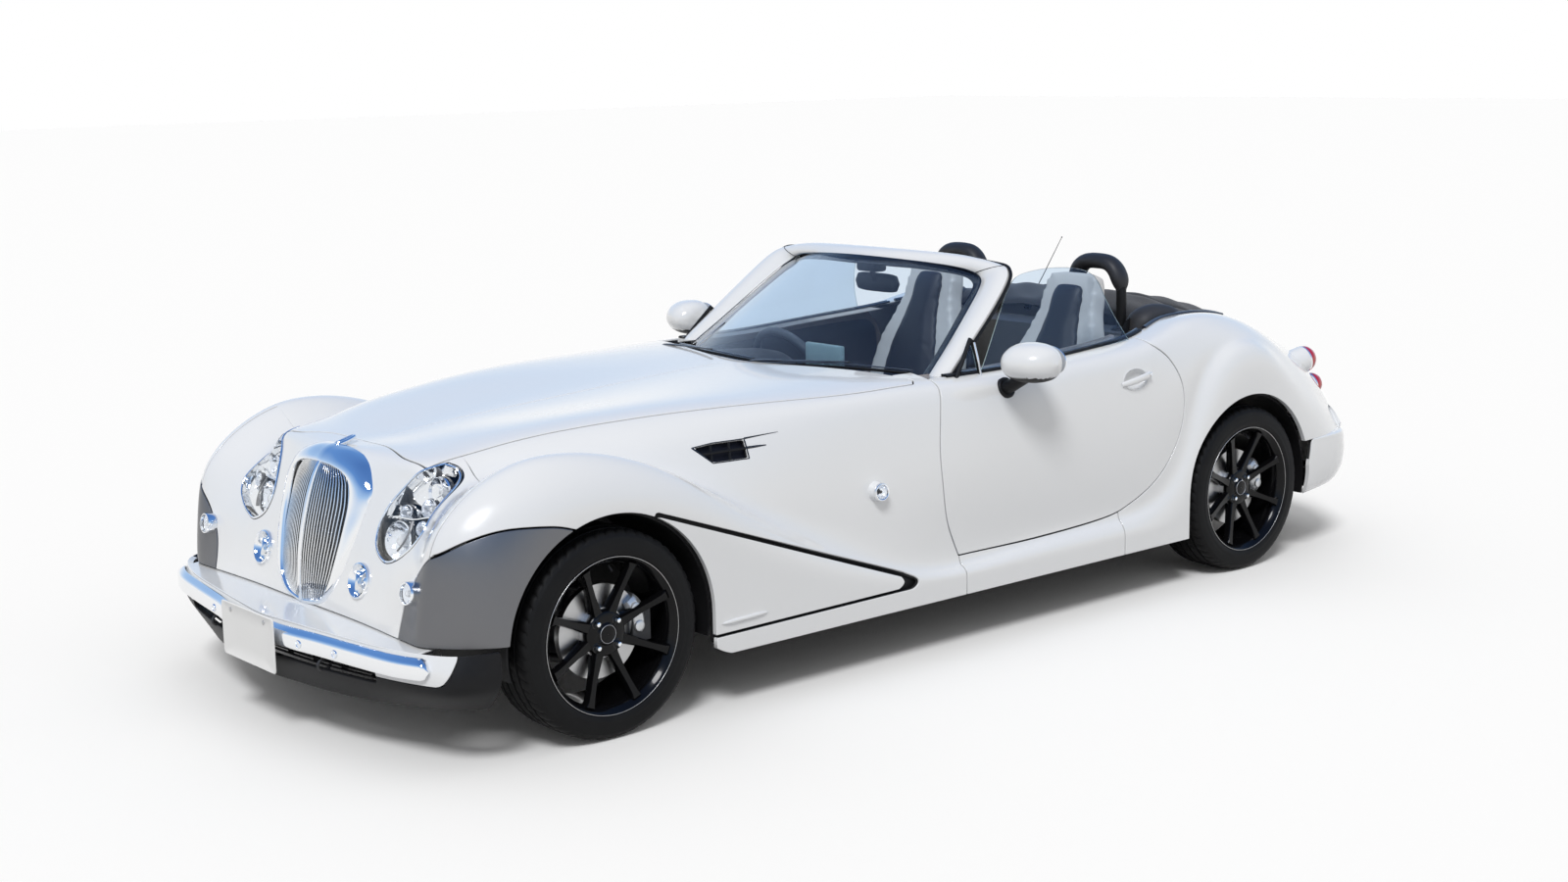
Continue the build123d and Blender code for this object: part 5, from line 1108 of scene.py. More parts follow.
def add_round_lamps(nose):
    """Fog lamps in deep chrome tunnels, and the marker lamps that stand proud."""
    centre, n = on_surface(nose, 0, [FOG[0][1]], [FOG[0][2]])
    aim_ = unit(n[0])
    centre = centre[0] + aim_ * .003
    r = FOG[1] * .94
    tunnel = [(-.046, r * .60), (-.040, r * .62), (-.012, r * .80), (.002, r * .94), (.006, r * 1.03),
              (.004, r * 1.12),
              (-.004, r * 1.15)]
    parts = [turned("tunnel", tunnel, CHROME, centre, aim_, 64)]
    parts.append(turned("tunnel_gap", [(-.046, r * .70), (-.043, r * .60), (-.0435, r * .54)], GLOSS, centre,
                        aim_, 48))
    bulb = [(-.050, r * .56), (-.042, r * .54), (-.034, r * .46), (-.028, r * .30), (-.026, .001)]
    parts.append(turned("fog_bulb", bulb, PALE_GLASS, centre, aim_, 40))
    parts.append(turned("fog_cap", [(-.028, r * .28), (-.018, r * .24), (-.014, r * .05)], CHROME, centre,
                        aim_, 24))
    both_sides("fog_lamp", parts, "body", "chrome")
    centre, n = on_surface(nose, 0, [MARKER[0][1]], [MARKER[0][2]])
    r = MARKER[1]
    centre, aim_ = centre[0] + [.006, 0, 0], unit(np.array([1, .02, .14]))
    ring = [(-.012, r * 1.05), (.012, r * 1.05), (.017, r * .98), (.017, r * .88), (.008, r * .84)]
    parts = [turned("marker_ring", ring, CHROME, centre, aim_, 48)]
    parts.append(turned("marker_back", [(.006, r * .86), (.000, r * .6), (-.004, .001)], MIRRORED, centre,
                        aim_, 40))
    parts.append(turned("marker_bulb", [(-.004, r * .3), (.010, r * .28), (.014, r * .05)], PALE_GLASS,
                        centre, aim_, 20))
    both_sides("marker_lamp", parts, "body", "chrome")
    dome = [(.008, r * .86), (.017, r * .80), (.023, r * .62), (.027, r * .35), (.028, .0005)]
    both_sides("marker_lens", [turned("dome", dome, LENS, centre, aim_, 48)], "body", "lamp_glass")


# ---------------------------------------------------------------- front bumper
# The bumper's face in plan at each height: (x, y) from the middle to the wheel arch
FRONT_WRAP = (
    (.166, ((2.236, 0), (2.206, .243), (2.160, .462), (2.051, .714), (1.985, .775), (1.925, .806))),
    (.200, ((2.241, 0), (2.213, .277), (2.163, .530), (2.078, .755), (2.024, .808), (1.935, .833))),
    (.236, ((2.246, 0), (2.220, .311), (2.165, .600), (2.100, .795), (2.060, .836), (1.945, .858))),
    (.270, ((2.245, 0), (2.215, .311), (2.162, .642), (2.098, .797), (2.080, .835), (1.949, .866))),
    (.300, ((2.244, 0), (2.214, .311), (2.162, .646), (2.094, .792), (2.074, .832), (1.950, .867))),
    (.340, ((2.228, 0), (2.196, .311), (2.146, .646), (2.080, .788), (2.056, .824), (1.955, .866))),
)
BUMPER_EDGE = ((2.40, .257), (2.108, .257), (2.100, .262), (2.058, .336), (2.054, .400),
               (2.40, .400))   # (x, z)
AIR_SLOT = (.575, .236, .272)            # half width, low, high
FRONT_BAR = ((2.262, 0), (2.256, .165), (2.232, .311), (2.208, .485), (2.182, .646), (2.152, .735),
             (2.126, .775))
REAR_BAR = ((-2.275, 0), (-2.262, .20), (-2.244, .400), (-2.200, .54), (-2.150, .640), (-2.085, .700))
# A chrome bar's section from its front's foot over the top: (forward, up)
BAR_SECTION = ((-.012, -.025), (-.003, -.024), (0, -.018), (0, .014), (-.003, .022), (-.008, .0255),
               (-.020, .0335),
               (-.024, .0335), (-.024, -.020))


def along_arc(points, count):
    """Points evenly spaced along a Catmull-Rom line."""
    line = curve(points, 24)
    run = np.append(0, np.cumsum(np.linalg.norm(np.diff(line, axis=0), axis=1)))
    return np.stack([np.interp(np.linspace(0, run[-1], count), run, axis) for axis in line.T], 1)


def chrome_bar(name, plan, z, forward, tip=.028):
    """A bar that follows a plan curve from side to side, with rounded ends."""
    half = along_arc(plan, 61)
    line = np.vstack([(half * [1, -1])[:0:-1], half])
    ahead = unit(np.stack([np.gradient(line[:, 1]), -np.gradient(line[:, 0])], 1))
    run = np.append(0, np.cumsum(np.linalg.norm(np.diff(line, axis=0), axis=1)))
    room = np.minimum(run, run[-1] - run)
    size = np.sqrt(np.clip(1 - (1 - np.clip(room / tip, 0.004, 1)) ** 2, 0, 1))
    rings = []
    for (x, y), (fx, fy), k in zip(line, ahead, size):
        rings.append([(x + fx * f * forward, y + fy * f * forward, z + up * k) for f, up in BAR_SECTION])
    return loft(name, rings, CHROME)


SHELF_REAR = ([0, .43, .64, .70, .80], [2.070, 2.074, 2.085, 2.080,
                                        2.02])   # rear edge of the shelf: its ys, xs
SHELF_Z = .341
VALANCE_REAR_X = 1.95
FRONT_BAR_Z, SENSOR_Z = .300, .297
SENSORS_Y = (-.30, -.10, .255, .42)
SENSOR = ((-.004, .012), (.002, .0125), (.0035, .0115), (.0035, .009), (.002, .0085), (.0022, .001))
INTAKE_FACE = FRONT_WRAP[2][1][:3]       # the bumper's face in plan at the air slot
SLATS_Z = (.243, .254, .265)
TOW_EYE = (2.205, .335, .247)


def add_front_bumper():
    grid = full(np.array([[(x, y, z) for x, y in along_arc(row, 9)] for z, row in FRONT_WRAP]))
    skin = skin_of(grid, cell=0.012)
    skin = facing(skin, skin.p - [1.5, 0, .25])
    half, low, high = AIR_SLOT
    slot = rounded(((-half, low), (half, low), (half, high), (-half, high)), .008)
    white = trimmed(skin, within(XZ, BUMPER_EDGE, .0005), outside(YZ, slot, 0))
    dark = trimmed(skin, outside(XZ, BUMPER_EDGE, .0005), outside(YZ, slot, 0), beyond(X, VALANCE_REAR_X),
                   off_arch(FRONT_AXLE))
    place(panel("bumper_skin", white, BODY, depth=.016, bright=lambda p: p[:, Z] > 0), "body", "white_paint",
          "bumper_cover")
    place(panel("valance_skin", dark, [BLACK, BLACK, UNDER], depth=.010), "body", "black_plastic",
          "lower_valance")


def add_bumper_shelf():
    """The shelf between the bumper's top edge and the foot of the nose."""
    front = along_arc(FRONT_WRAP[-1][1], 9)[:7]
    rear = np.stack([np.interp(front[:, 1], *SHELF_REAR), front[:, 1]], 1)
    rows = []
    for share in np.linspace(0, 1, 5):
        height = np.full(len(front), SHELF_Z) + .004 * math.sin(share * 1.5)
        rows.append(np.column_stack([front * (1 - share) + rear * share, height]))
    skin = facing(skin_of(full(np.array(rows)), cell=0.02), (0, 0, 1))
    place(panel("bumper_shelf", skin, BODY, depth=.010), "body", "white_paint")


def add_front_bar():
    """The chrome bar and the parking sensors in it."""
    place(chrome_bar("front_chrome_bar", FRONT_BAR, FRONT_BAR_Z, 1), "body", "chrome", "bumper_bars")
    parts = []
    for y in SENSORS_Y:
        x = float(np.interp(abs(y), [p[1] for p in FRONT_BAR], [p[0] for p in FRONT_BAR])) - .0005
        parts.append(turned("sensor", SENSOR, MIRRORED, (x, y, SENSOR_Z), (1, .12 * np.sign(y), 0), 28))
    place(joined("parking_sensors", parts), "body", "dark_satin")


def add_intake():
    """Slats and posts in the bumper's air slot, and a towing eye at each side of it."""
    parts = []
    half, low, high = AIR_SLOT
    line = along_arc([(x - .022, y) for x, y in INTAKE_FACE], 20)
    line = line[line[:, 1] < half + .01]
    path = np.vstack([(line * [1, -1])[:0:-1], line])
    for z in SLATS_Z:
        parts.append(swept("slat", np.column_stack([path, np.full(len(path), z)]), .006, BLACK, 8, .35))
    for y in np.arange(-.52, .53, .13):
        x = float(np.interp(abs(y), [p[1] for p in INTAKE_FACE], [p[0] for p in INTAKE_FACE])) - .026
        parts.append(slab("slat_post", (x - .02, y - .004, low + .002), (x, y + .004, high), BLACK, .001))
    x, y, z = TOW_EYE
    for side, _ in SIDES:
        eye = [(x + .020 * math.cos(a), side * y, z + .016 * math.sin(a))
               for a in np.linspace(0, 2 * math.pi, 25)]
        parts.append(swept("tow_eye", eye, .0045, IRON, 8, up=(0, 1, 0)))
    place(joined("intake_slats", parts), "body", "black_plastic")


PLATES = (("front", 2.271, .275, 1), ("rear", -2.170, .530, -1))     # name, x, z, the way it faces
PLATE_HALF, PLATE_TALL, PLATE_RADIUS = .165, .0825, .012
SCREW = ((-.001, .007), (.002, .0065), (.003, .004), (.003, .0005))
SCREWS_Y, SCREW_UP = (-.105, .105), .062


def add_plates():
    """Blank plates with rounded corners, a pressed rim and two small screws each."""
    corners = [(PLATE_HALF * y, PLATE_TALL * z) for y, z in ((-1, -1), (1, -1), (1, 1), (-1, 1))]
    edge = rounded(corners, PLATE_RADIUS, 8)
    rim = edge * (1 - .010 / PLATE_HALF)
    loops = ((-.0015, edge), (.0008, edge), (.0022, (edge + rim) / 2), (.0008, rim), (.0008, rim * .5),
             (.0008, rim * .01))
    for name, x, middle, ahead in PLATES:
        rings = [[(x + ahead * d, y * ahead, middle + z) for y, z in loop] for d, loop in loops]
        parts = [loft("plate", rings, PLATE)]
        for y in SCREWS_Y:
            parts.append(turned("screw", SCREW, STEEL, (x + ahead * .001, y, middle + SCREW_UP),
                                (ahead, 0, 0), 20))
        place(joined(f"number_plate_{name}", parts), "body", "plate_white", "number_plates")


# ---------------------------------------------------------------- wheels
TYRE_BLOCKS = 52         # tread blocks round a tyre
SPOKES, LUG_NUTS = 8, 4
# Half of the tyre's section from the bead out: (distance from its middle, radius, depth of the cross grooves)
TYRE_HALF = (
    (.086, .226, 0), (.094, .229, 0), (.1005, .238, 0), (.1022, .250, 0), (.1024, .252, 0), (.1020, .2535, 0),
    (.1022, .262, 0), (.1015, .275, 0), (.0985, .286, 0), (.0982, .2875, 0), (.0972, .2885, 0),
    (.0935, .296, .001),
    (.0880, .3015, .004), (.0800, .3048, .005), (.0640, .3066, .005), (.0600, .3068, .002), (.0590, .3010, 0),
    (.0510, .3010, 0), (.0500, .3072, 0), (.0380, .3077, .003), (.0270, .3079, .003), (.0240, .3079, 0),
    (.0230, .3015, 0), (.0150, .3015, 0), (.0140, .3080, 0), (0, .3080, 0),
)
# The rim from the outer flange inwards, along the wheel's own axis: (distance outwards, radius)
RIM_PROFILE = (
    (.0900, .2300), (.0960, .2340), (.0985, .2335), (.0990, .2300), (.0975, .2265), (.0900, .2225),
    (.0840, .2150),
    (.0700, .2095), (.0300, .2050), (-.0300, .2040), (-.0860, .2060), (-.0900, .2200), (-.0960, .2300),
    (-.0900, .2330),
    (-.0860, .2270), (-.0500, .2090), (.0600, .2120), (.0860, .2260), (.0900, .2300),
)


def add_tyre():
    """A tyre round the origin, its tread cut into blocks by cross grooves."""
    rows = [*TYRE_HALF, *[(-d, r, g) for d, r, g in TYRE_HALF[-2::-1]]]
    around = TYRE_BLOCKS * 4
    angle = np.arange(around) * 2 * math.pi / around
    rings = []
    for d, r, groove in rows:
        shift = int(round(abs(d) * 60)) + (2 if d < 0 else 0)
        radius = r - groove * ((np.arange(around) + shift) % 4 == 0)
        rings.append(np.stack([radius * np.cos(angle), np.full(around, d), radius * np.sin(angle)], 1))
    return loft("tyre", rings, RUBBER, caps=False)


# A spoke from the hub out: (radius, half width, its face's distance outwards, depth)
SPOKE_ROWS = (
    (.040, .0210, .0600, .030), (.075, .0165, .0620, .030), (.120, .0125, .0690, .026),
    (.165, .0115, .0790, .024),
    (.200, .0135, .0875, .024), (.214, .0180, .0905, .026),
)
SPOKE_FACE, SPOKE_CHAMFER = .72, .007    # flat share of a spoke's face, and how far its edges fall


def spoke_at(angle):
    """One slender spoke, dished towards the hub, with sloped sides."""
    c, s = math.cos(angle), math.sin(angle)
    rings = []
    for r, half, face, depth in SPOKE_ROWS:
        low, flat = face - SPOKE_CHAMFER, half * SPOKE_FACE
        section = ((-half, face - depth), (-half, low), (-flat, face), (flat, face), (half, low),
                   (half, face - depth))
        rings.append([(r * c - w * s, d, r * s + w * c) for w, d in section])
    return loft("spoke", rings, WHEEL)


AXLE = (0, 1, 0)
# Turned pieces of a wheel: (distance outwards, radius) rows, finish, sides
WHEEL_PIECES = (
    (((.020, .070), (.050, .070), (.060, .066), (.0635, .060), (.0640, .034), (.066, .032), (.0685, .030),
      (.0700, .026), (.0705, .001)), WHEEL, 64),
    (((.0984, .2318), (.0992, .2312), (.0992, .2302), (.0984, .2296)), STEEL, 96),
    (((.0700, .0275), (.0708, .0270), (.0708, .0262), (.0700, .0258)), ALLOY, 48),
)
LUG_PIECES = (
    (((.0642, .0150), (.0650, .0140), (.0600, .0125), (.0560, .0110)), GLOSS, 24),
    (((.056, .0095), (.069, .0095), (.0715, .0080), (.0765, .0070), (.0780, .0045), (.0782, .0005)), CHROME,
     6),
)
LUG_CIRCLE = .050
VALVE = ((0, .080, .205), (0, .092, .196), (0, .098, .190))


def add_rim():
    """A rim round the origin: barrel, spokes, hub, lug nuts and valve."""
    parts = [turned("barrel", RIM_PROFILE, WHEEL, (0, 0, 0), AXLE, 96)]
    parts += [spoke_at((k + .5) * 2 * math.pi / SPOKES) for k in range(SPOKES)]
    parts += [turned("hub", profile, finish, (0, 0, 0), AXLE, sides) for profile, finish,
              sides in WHEEL_PIECES]
    for k in range(LUG_NUTS):
        a = (k + .5) * 2 * math.pi / LUG_NUTS
        centre = (LUG_CIRCLE * math.cos(a), 0, LUG_CIRCLE * math.sin(a))
        parts += [turned("lug", profile, finish, centre, AXLE, sides) for profile, finish,
                  sides in LUG_PIECES]
    parts.append(swept("valve", VALVE, .0035, BLACK, 8))
    return joined("rim", parts)


CALIPER_HALF = math.radians(26)          # half the arc that a caliper spans
CALIPER_TURN = math.radians(-168)        # where it sits round the disc
CALIPER_SECTION = ((.100, .036), (.112, .050), (.140, .052), (.156, .040), (.160, .010), (.156, -.020),
                   (.146, -.024), (.146, .026), (.104, .026))   # (radius, distance outwards)
CALIPER_MIDDLE = (.13, .010)             # the point of its section that its ends shrink towards
PISTON = ((.046, .017), (.054, .016), (.056, .012), (.056, .001))


def add_caliper():
    """A cast caliper over the disc's edge, with its bridge and two bolts."""
    mid_r, mid_d = CALIPER_MIDDLE
    rings = []
    for a in np.linspace(-CALIPER_HALF, CALIPER_HALF, 15):
        swell = 1 - .25 * (abs(a) / CALIPER_HALF) ** 3
        ring = [(mid_r + (r - mid_r) * swell, mid_d + (d - mid_d) * swell) for r, d in CALIPER_SECTION]
        rings.append([(r * math.cos(a), d, r * math.sin(a)) for r, d in ring])
    parts = [loft("caliper", rings, CALIPER)]
    for a in (-CALIPER_HALF / 2, CALIPER_HALF / 2):
        parts.append(turned("piston", PISTON, CALIPER, (.126 * math.cos(a), 0, .126 * math.sin(a)), AXLE, 24))
    caliper = joined("caliper", parts)
    caliper.data.transform(Matrix.Rotation(CALIPER_TURN, 4, "Y"))
    return caliper


def add_wheels():
    sources = [(add_tyre(), "tyre", "tyre_rubber"), (add_rim(), "rim", "black_wheel_paint"),
               (add_caliper(), "caliper", "cast_aluminium")]
    for end, (x, z) in (("front", FRONT_AXLE), ("rear", REAR_AXLE)):
        for side, name in SIDES:
            matrix = Matrix.Translation((x, side * WHEEL_Y, z)) @ Matrix.Scale(side, 4, AXLE)
            for source, kind, slot in sources:
                piece = copy_of(source, f"{kind}_skin_{end}_{name}", matrix, side < 0)
                if kind == "caliper":
                    place(piece, f"upright_front_{name}" if end == "front" else "body", slot)
                else:
                    place(piece, f"wheel_{end}_{name}", slot, f"{kind}_{end}_{name}")
    for source, _, _ in sources:
        bpy.data.objects.remove(source)


# ---------------------------------------------------------------- glass and screen
# Screen frame from the left base up and over to the middle: (edge on the glass, outer edge), (x, y, z) each
SCREEN_EDGE = (
    ((.105, .632, .862), (.100, .704, .858)), ((-.020, .600, .953), (-.015, .690, .953)),
    ((-.150, .564, 1.052), (-.150, .668, 1.062)), ((-.246, .532, 1.126), (-.256, .640, 1.150)),
    ((-.282, .502, 1.158), (-.304, .606, 1.190)), ((-.278, .452, 1.180), (-.318, .545, 1.208)),
    ((-.254, .350, 1.194), (-.318, .405, 1.223)), ((-.214, .190, 1.204), (-.288, .215, 1.230)),
    ((-.196, .080, 1.208), (-.274, .088, 1.232)), ((-.192, 0, 1.209), (-.271, 0, 1.2325)),
)
SCREEN_CORNER = 4        # row of the glass's top corner
SCREEN_JOINT = 23        # ring of the frame where header and pillar meet
SCREEN_BASE = (.335, .872)               # middle of the glass's lower edge, (x, z)
DOOR_GLASS = ((-.050, .80), (-.050, .872), (-.150, .992), (-.262, 1.115), (-.330, 1.166), (-.420, 1.181),
              (-.530, 1.183),
              (-.640, 1.172), (-.710, 1.148), (-.738, 1.110), (-.748, 1.060), (-.775, .985), (-.822, .895),
              (-.850, .80))
GLASS_LEAN = ((.74, .766), (.78, .745), (.88, .724), (1.00, .686), (1.10, .648), (1.19, .612))   # z, y


def symmetric(line):
    """A line that ends on y = 0, continued down the car's right side."""
    return np.vstack([line, (line[:-1] * MIRROR)[::-1]])


def body_point(x, column):
    """Points and normals on the body at stations x and columns of its grid."""
    v = np.array([row_at(value) for value in np.ravel(x)])
    u = np.broadcast_to(np.asarray(column, float), len(v))
    control = fitted(GRID)
    bv, bu = basis(v, GRID.shape[0]), basis(u, GRID.shape[1])
    p = np.einsum("ai,ijk,aj->ak", bv[0], control, bu[0])
    dv = np.einsum("ai,ijk,aj->ak", bv[1], control, bu[0])
    du = np.einsum("ai,ijk,aj->ak", bv[0], control, bu[1])
    return p, unit(np.cross(dv, du))


# The screen frame's section: (share of the way from the glass to the outer edge, height over the glass)
FRAME_SECTION = ((0, -.006), (.01, .003), (.15, .011), (.40, .016), (.65, .0155), (.88, .010), (1, .000),
                 (1.0, -.012), (.90, -.030), (.60, -.040), (.25, -.036), (.06, -.022))
FRAME_STEPS = 5                          # rings of the frame between two rows of SCREEN_EDGE
SCREEN_BULGE = np.array([.010, 0, .012])
MIRROR_STALK = ((-.235, 0, 1.16), (-.245, 0, 1.13), (-.255, 0, 1.115))


def add_screen():
    """The frame round the screen, with its joints and seals."""
    inner, outer = (symmetric(curve([pair[k] for pair in SCREEN_EDGE], FRAME_STEPS)) for k in (0, 1))
    across = outer - inner
    normal = unit(np.cross(np.gradient(inner, axis=0), across))
    normal *= np.where(normal @ np.array([1, 0, .6]) < 0, -1, 1)[:, None]
    rings = np.array([inner + across * a + normal * b for a, b in FRAME_SECTION]).swapaxes(0, 1)
    place(loft("screen_frame", rings, PAINT), "body", "white_paint", "windshield_frame")
    # thin dark lines where header and pillar meet: painted shade of the groove at the joint
    joints = [swept("frame_joint_shade", curve(rings[k][1:8], 4), .0013, GAP_SHADE, 6)
              for k in (SCREEN_JOINT, len(rings) - 1 - SCREEN_JOINT)]
    place(joined("screen_joint_shades", joints), "body", "black_plastic")
    parts = [swept("glass_seal", inner + normal * .001 - across * .02, .0055, GLOSS, 8, .6),
             swept("edge_seal", outer - normal * .013 + across * .04, .0060, BLACK, 8),
             swept("inner_trim", inner + across * .45 - normal * .040, .024, TRIM, 10, .35),
             swept("glass_border", inner - across * .22 - normal * .0035, .016, GLOSS, 8, .08, (1, 0, .6))]
    place(joined("screen_seals", parts), "body", "black_plastic")


def add_screen_glass():
    side = curve([pair[0] for pair in SCREEN_EDGE], FRAME_STEPS)[:SCREEN_CORNER * FRAME_STEPS + 1]
    top = np.array(SCREEN_EDGE[-1][0])
    base = np.array([SCREEN_BASE[0], 0, SCREEN_BASE[1]])
    u = np.linspace(0, 1, 9)[:, None]
    rows = []
    for share, edge in zip(np.linspace(0, 1, len(side)), side):
        middle = base * (1 - share) + top * share + SCREEN_BULGE * math.sin(math.pi * share)
        rows.append(middle * (1 - u ** 2) + edge * u ** 2)
        rows[-1][:, 1] = edge[1] * u[:, 0]
    skin = facing(skin_of(full(np.array(rows)), cell=.05), (1, 0, 0))
    place(panel("screen_glass", skin, plain(GLASS), depth=.004, back=True, radius=.0005), "body",
          "tinted_glass",
          "windshield_glass")


def add_interior_mirror():
    turn = np.linspace(0, 2 * math.pi, 20, endpoint=False)
    rings = []
    for y in np.linspace(-1, 1, 13):
        k = (1 - abs(y) ** 4) ** .25
        rings.append([(-.262 + .016 * k * math.cos(a), .118 * y,
                       1.108 + .034 * k * math.sin(a)) for a in turn])
    parts = [slab("mirror_housing", (-.262, -.055, 1.150), (-.205, .055, 1.196), TRIM, .012),
             swept("mirror_stalk", MIRROR_STALK, .010, TRIM, 10), loft("mirror_back", rings, TRIM)]
    place(joined("interior_mirror", parts), "body", "cabin_plastic")


COWL_HALF = .66                          # half width of the grille under the screen
COWL_TOP = ((0, .884), (.25, .888), (.50, .878), (.70, .862))    # its front edge, (y, z)
SCREEN_SWEEP = SCREEN_BASE[0] - .085     # how far the screen's foot runs back at the cowl's ends
# Each wiper's blade and arm; an arm starts at its pivot
WIPERS = (
    (((.372, .11, .886), (.335, .26, .893), (.255, .46, .893), (.170, .630, .884)),
     ((.392, .055, .872), (.385, .10, .892), (.262, .42, .905))),
    (((.285, -.470, .884), (.335, -.32, .892), (.372, -.12, .895), (.372, .055, .890)),
     ((.345, -.50, .870), (.352, -.46, .892), (.385, -.16, .907))),
)
WIPER_PIVOT = ((-.012, .015), (.004, .015), (.010, .011), (.012, .001))
WIPER_LIFT = [0, 0, .009]


def add_cowl():
    rear = along_arc(HOOD_REAR, 25)
    rows = []
    for share in np.linspace(0, 1, 7):
        row = []
        for x, y in rear:
            glass_x = SCREEN_BASE[0] - .020 - SCREEN_SWEEP * min(y / COWL_HALF, 1) ** 2
            top = float(smooth(y, COWL_TOP)[0, 0])
            row.append((x * (1 - share) + glass_x * share - .004, y * (1 - share) + min(y, COWL_HALF) * share,
                        top * (1 - share) + .862 * share - .012 * math.sin(math.pi * share)))
        rows.append(row[::-1])
    skin = facing(skin_of(full(np.array(rows)), cell=.03), (0, 0, 1))
    parts = [panel("cowl_panel", skin, plain(BLACK), depth=.012, back=True)]
    for y in np.arange(-.50, .51, .02):
        if abs(y) > .06:
            x = SCREEN_BASE[0] - SCREEN_SWEEP * (abs(y) / COWL_HALF) ** 2
            parts.append(swept("cowl_rib", [(x + .038, y, .868), (x + .008, y, .864)], .0028, GLOSS, 6))
    place(joined("cowl_grille", parts), "body", "black_plastic", "cowl")


def add_wipers():
    parts = []
    for blade, arm in WIPERS:
        line, reach = curve(blade) + WIPER_LIFT, curve(arm, 10) + WIPER_LIFT
        parts += [
            swept("wiper_blade", line - [0, 0, .006], .0065, BLACK, 8, .8),
            swept("wiper_spine", line + [0, 0, .0045], .0055, WIPER_METAL, 8, .45),
            swept("wiper_arm", reach, np.linspace(.0095, .0050, len(reach)), WIPER_METAL, 8, .6),
            turned("wiper_pivot", WIPER_PIVOT, GLOSS, arm[0], (0, 0, 1), 24),
        ]
    place(joined("wiper_set", parts), "body", "black_plastic", "wipers")


def leaning_glass(outline):
    """A skin on the sloped plane of the door windows, cut to an (x, z) outline."""
    xs, zs = np.linspace(-.95, .15, 12), np.linspace(.76, 1.2, 8)
    lean = smooth(zs, GLASS_LEAN)[:, 0]
    grid = np.array([[(x, y, z) for z, y in zip(zs, lean)] for x in xs])
    return trimmed(facing(skin_of(grid, cell=.02), (0, 1, 0)), within(XZ, outline, 0))


QUARTER_GLASS = ((.062, .80), (.062, .868), (-.040, .985), (-.040, .80))
QUARTER_LOOP = ((.070, .862), (.030, .908), (-.038, .986), (-.046, .978), (-.046, .862), (.070, .862),
                (.030, .908))
QUARTER_BAR = ((-.046, .862), (-.046, .93), (-.046, .975))
BELT_COLUMN = U_BELT - .12               # column of the body under the seals along the belt
SEAL_END = ((-1.534, .50, .922), (-1.536, .30, .926), (-1.536, 0, .927))


def on_glass(line):
    """Points of an (x, z) line on the plane of the left door window."""
    x, z = np.array(line).T
    return np.column_stack([x, smooth(z, GLASS_LEAN)[:, 0], z])


def add_door_glass():
    pane = leaning_glass(np.vstack([DOOR_GLASS[:2], curve(DOOR_GLASS[1:-1], 6), DOOR_GLASS[-1:]]))
    quarter = leaning_glass(QUARTER_GLASS)
    belt, _ = body_point(np.linspace(.10, -.93, 30), BELT_COLUMN)
    finishes = [GLASS, GLASS_EDGE, GLASS]
    for side, name in SIDES:
        rides, way = f"door_assembly_{name}", [1, side, 1]
        place(panel(f"door_glass_pane_{name}", pane, finishes, side, depth=.0042, back=True, radius=.0006),
              rides, "tinted_glass", f"door_glass_{name}")
        place(panel(f"quarter_glass_pane_{name}", quarter, finishes, side, depth=.004, back=True,
                    radius=.0006),
              rides, "tinted_glass")
        top = belt * way + [0, -side * .002, .003]
        parts = [swept("quarter_frame", on_glass(QUARTER_LOOP) * way, .0075, BLACK, 8),
                 swept("quarter_bar", on_glass(QUARTER_BAR) * way + [0, side * .007, 0], .0035, CHROME, 8),
                 swept("belt_seal", top, .0085, BLACK, 8, .8),
                 swept("belt_lip", top + [0, -side * .016, .002], .0060, GLOSS, 8, .8)]
        place(joined(f"door_seals_{name}", parts), rides, "black_plastic")


def add_cabin_seal():
    """The seal round the rear of the cabin, from door to door."""
    xs = np.concatenate([np.linspace(-.965, -1.40, 16), np.linspace(-1.44, -1.518, 5)])
    line, _ = body_point(xs, BELT_COLUMN)
    loop = symmetric(np.vstack([line[:-1], curve([line[-1], *SEAL_END])]) + [0, 0, .003])
    place(swept("cabin_seal", loop, .0085, SEAL_BLUE, 8, .8), "body", "black_plastic")


MIRROR_MIDDLE = np.array([-.105, .918, .920])
MIRROR_AHEAD, MIRROR_BACK, MIRROR_HALF, MIRROR_TALL = .098, .074, .094, .066   # its reach from the middle
MIRROR_FOOT = (-.104, .826)              # where its foot meets the door, (x, z)


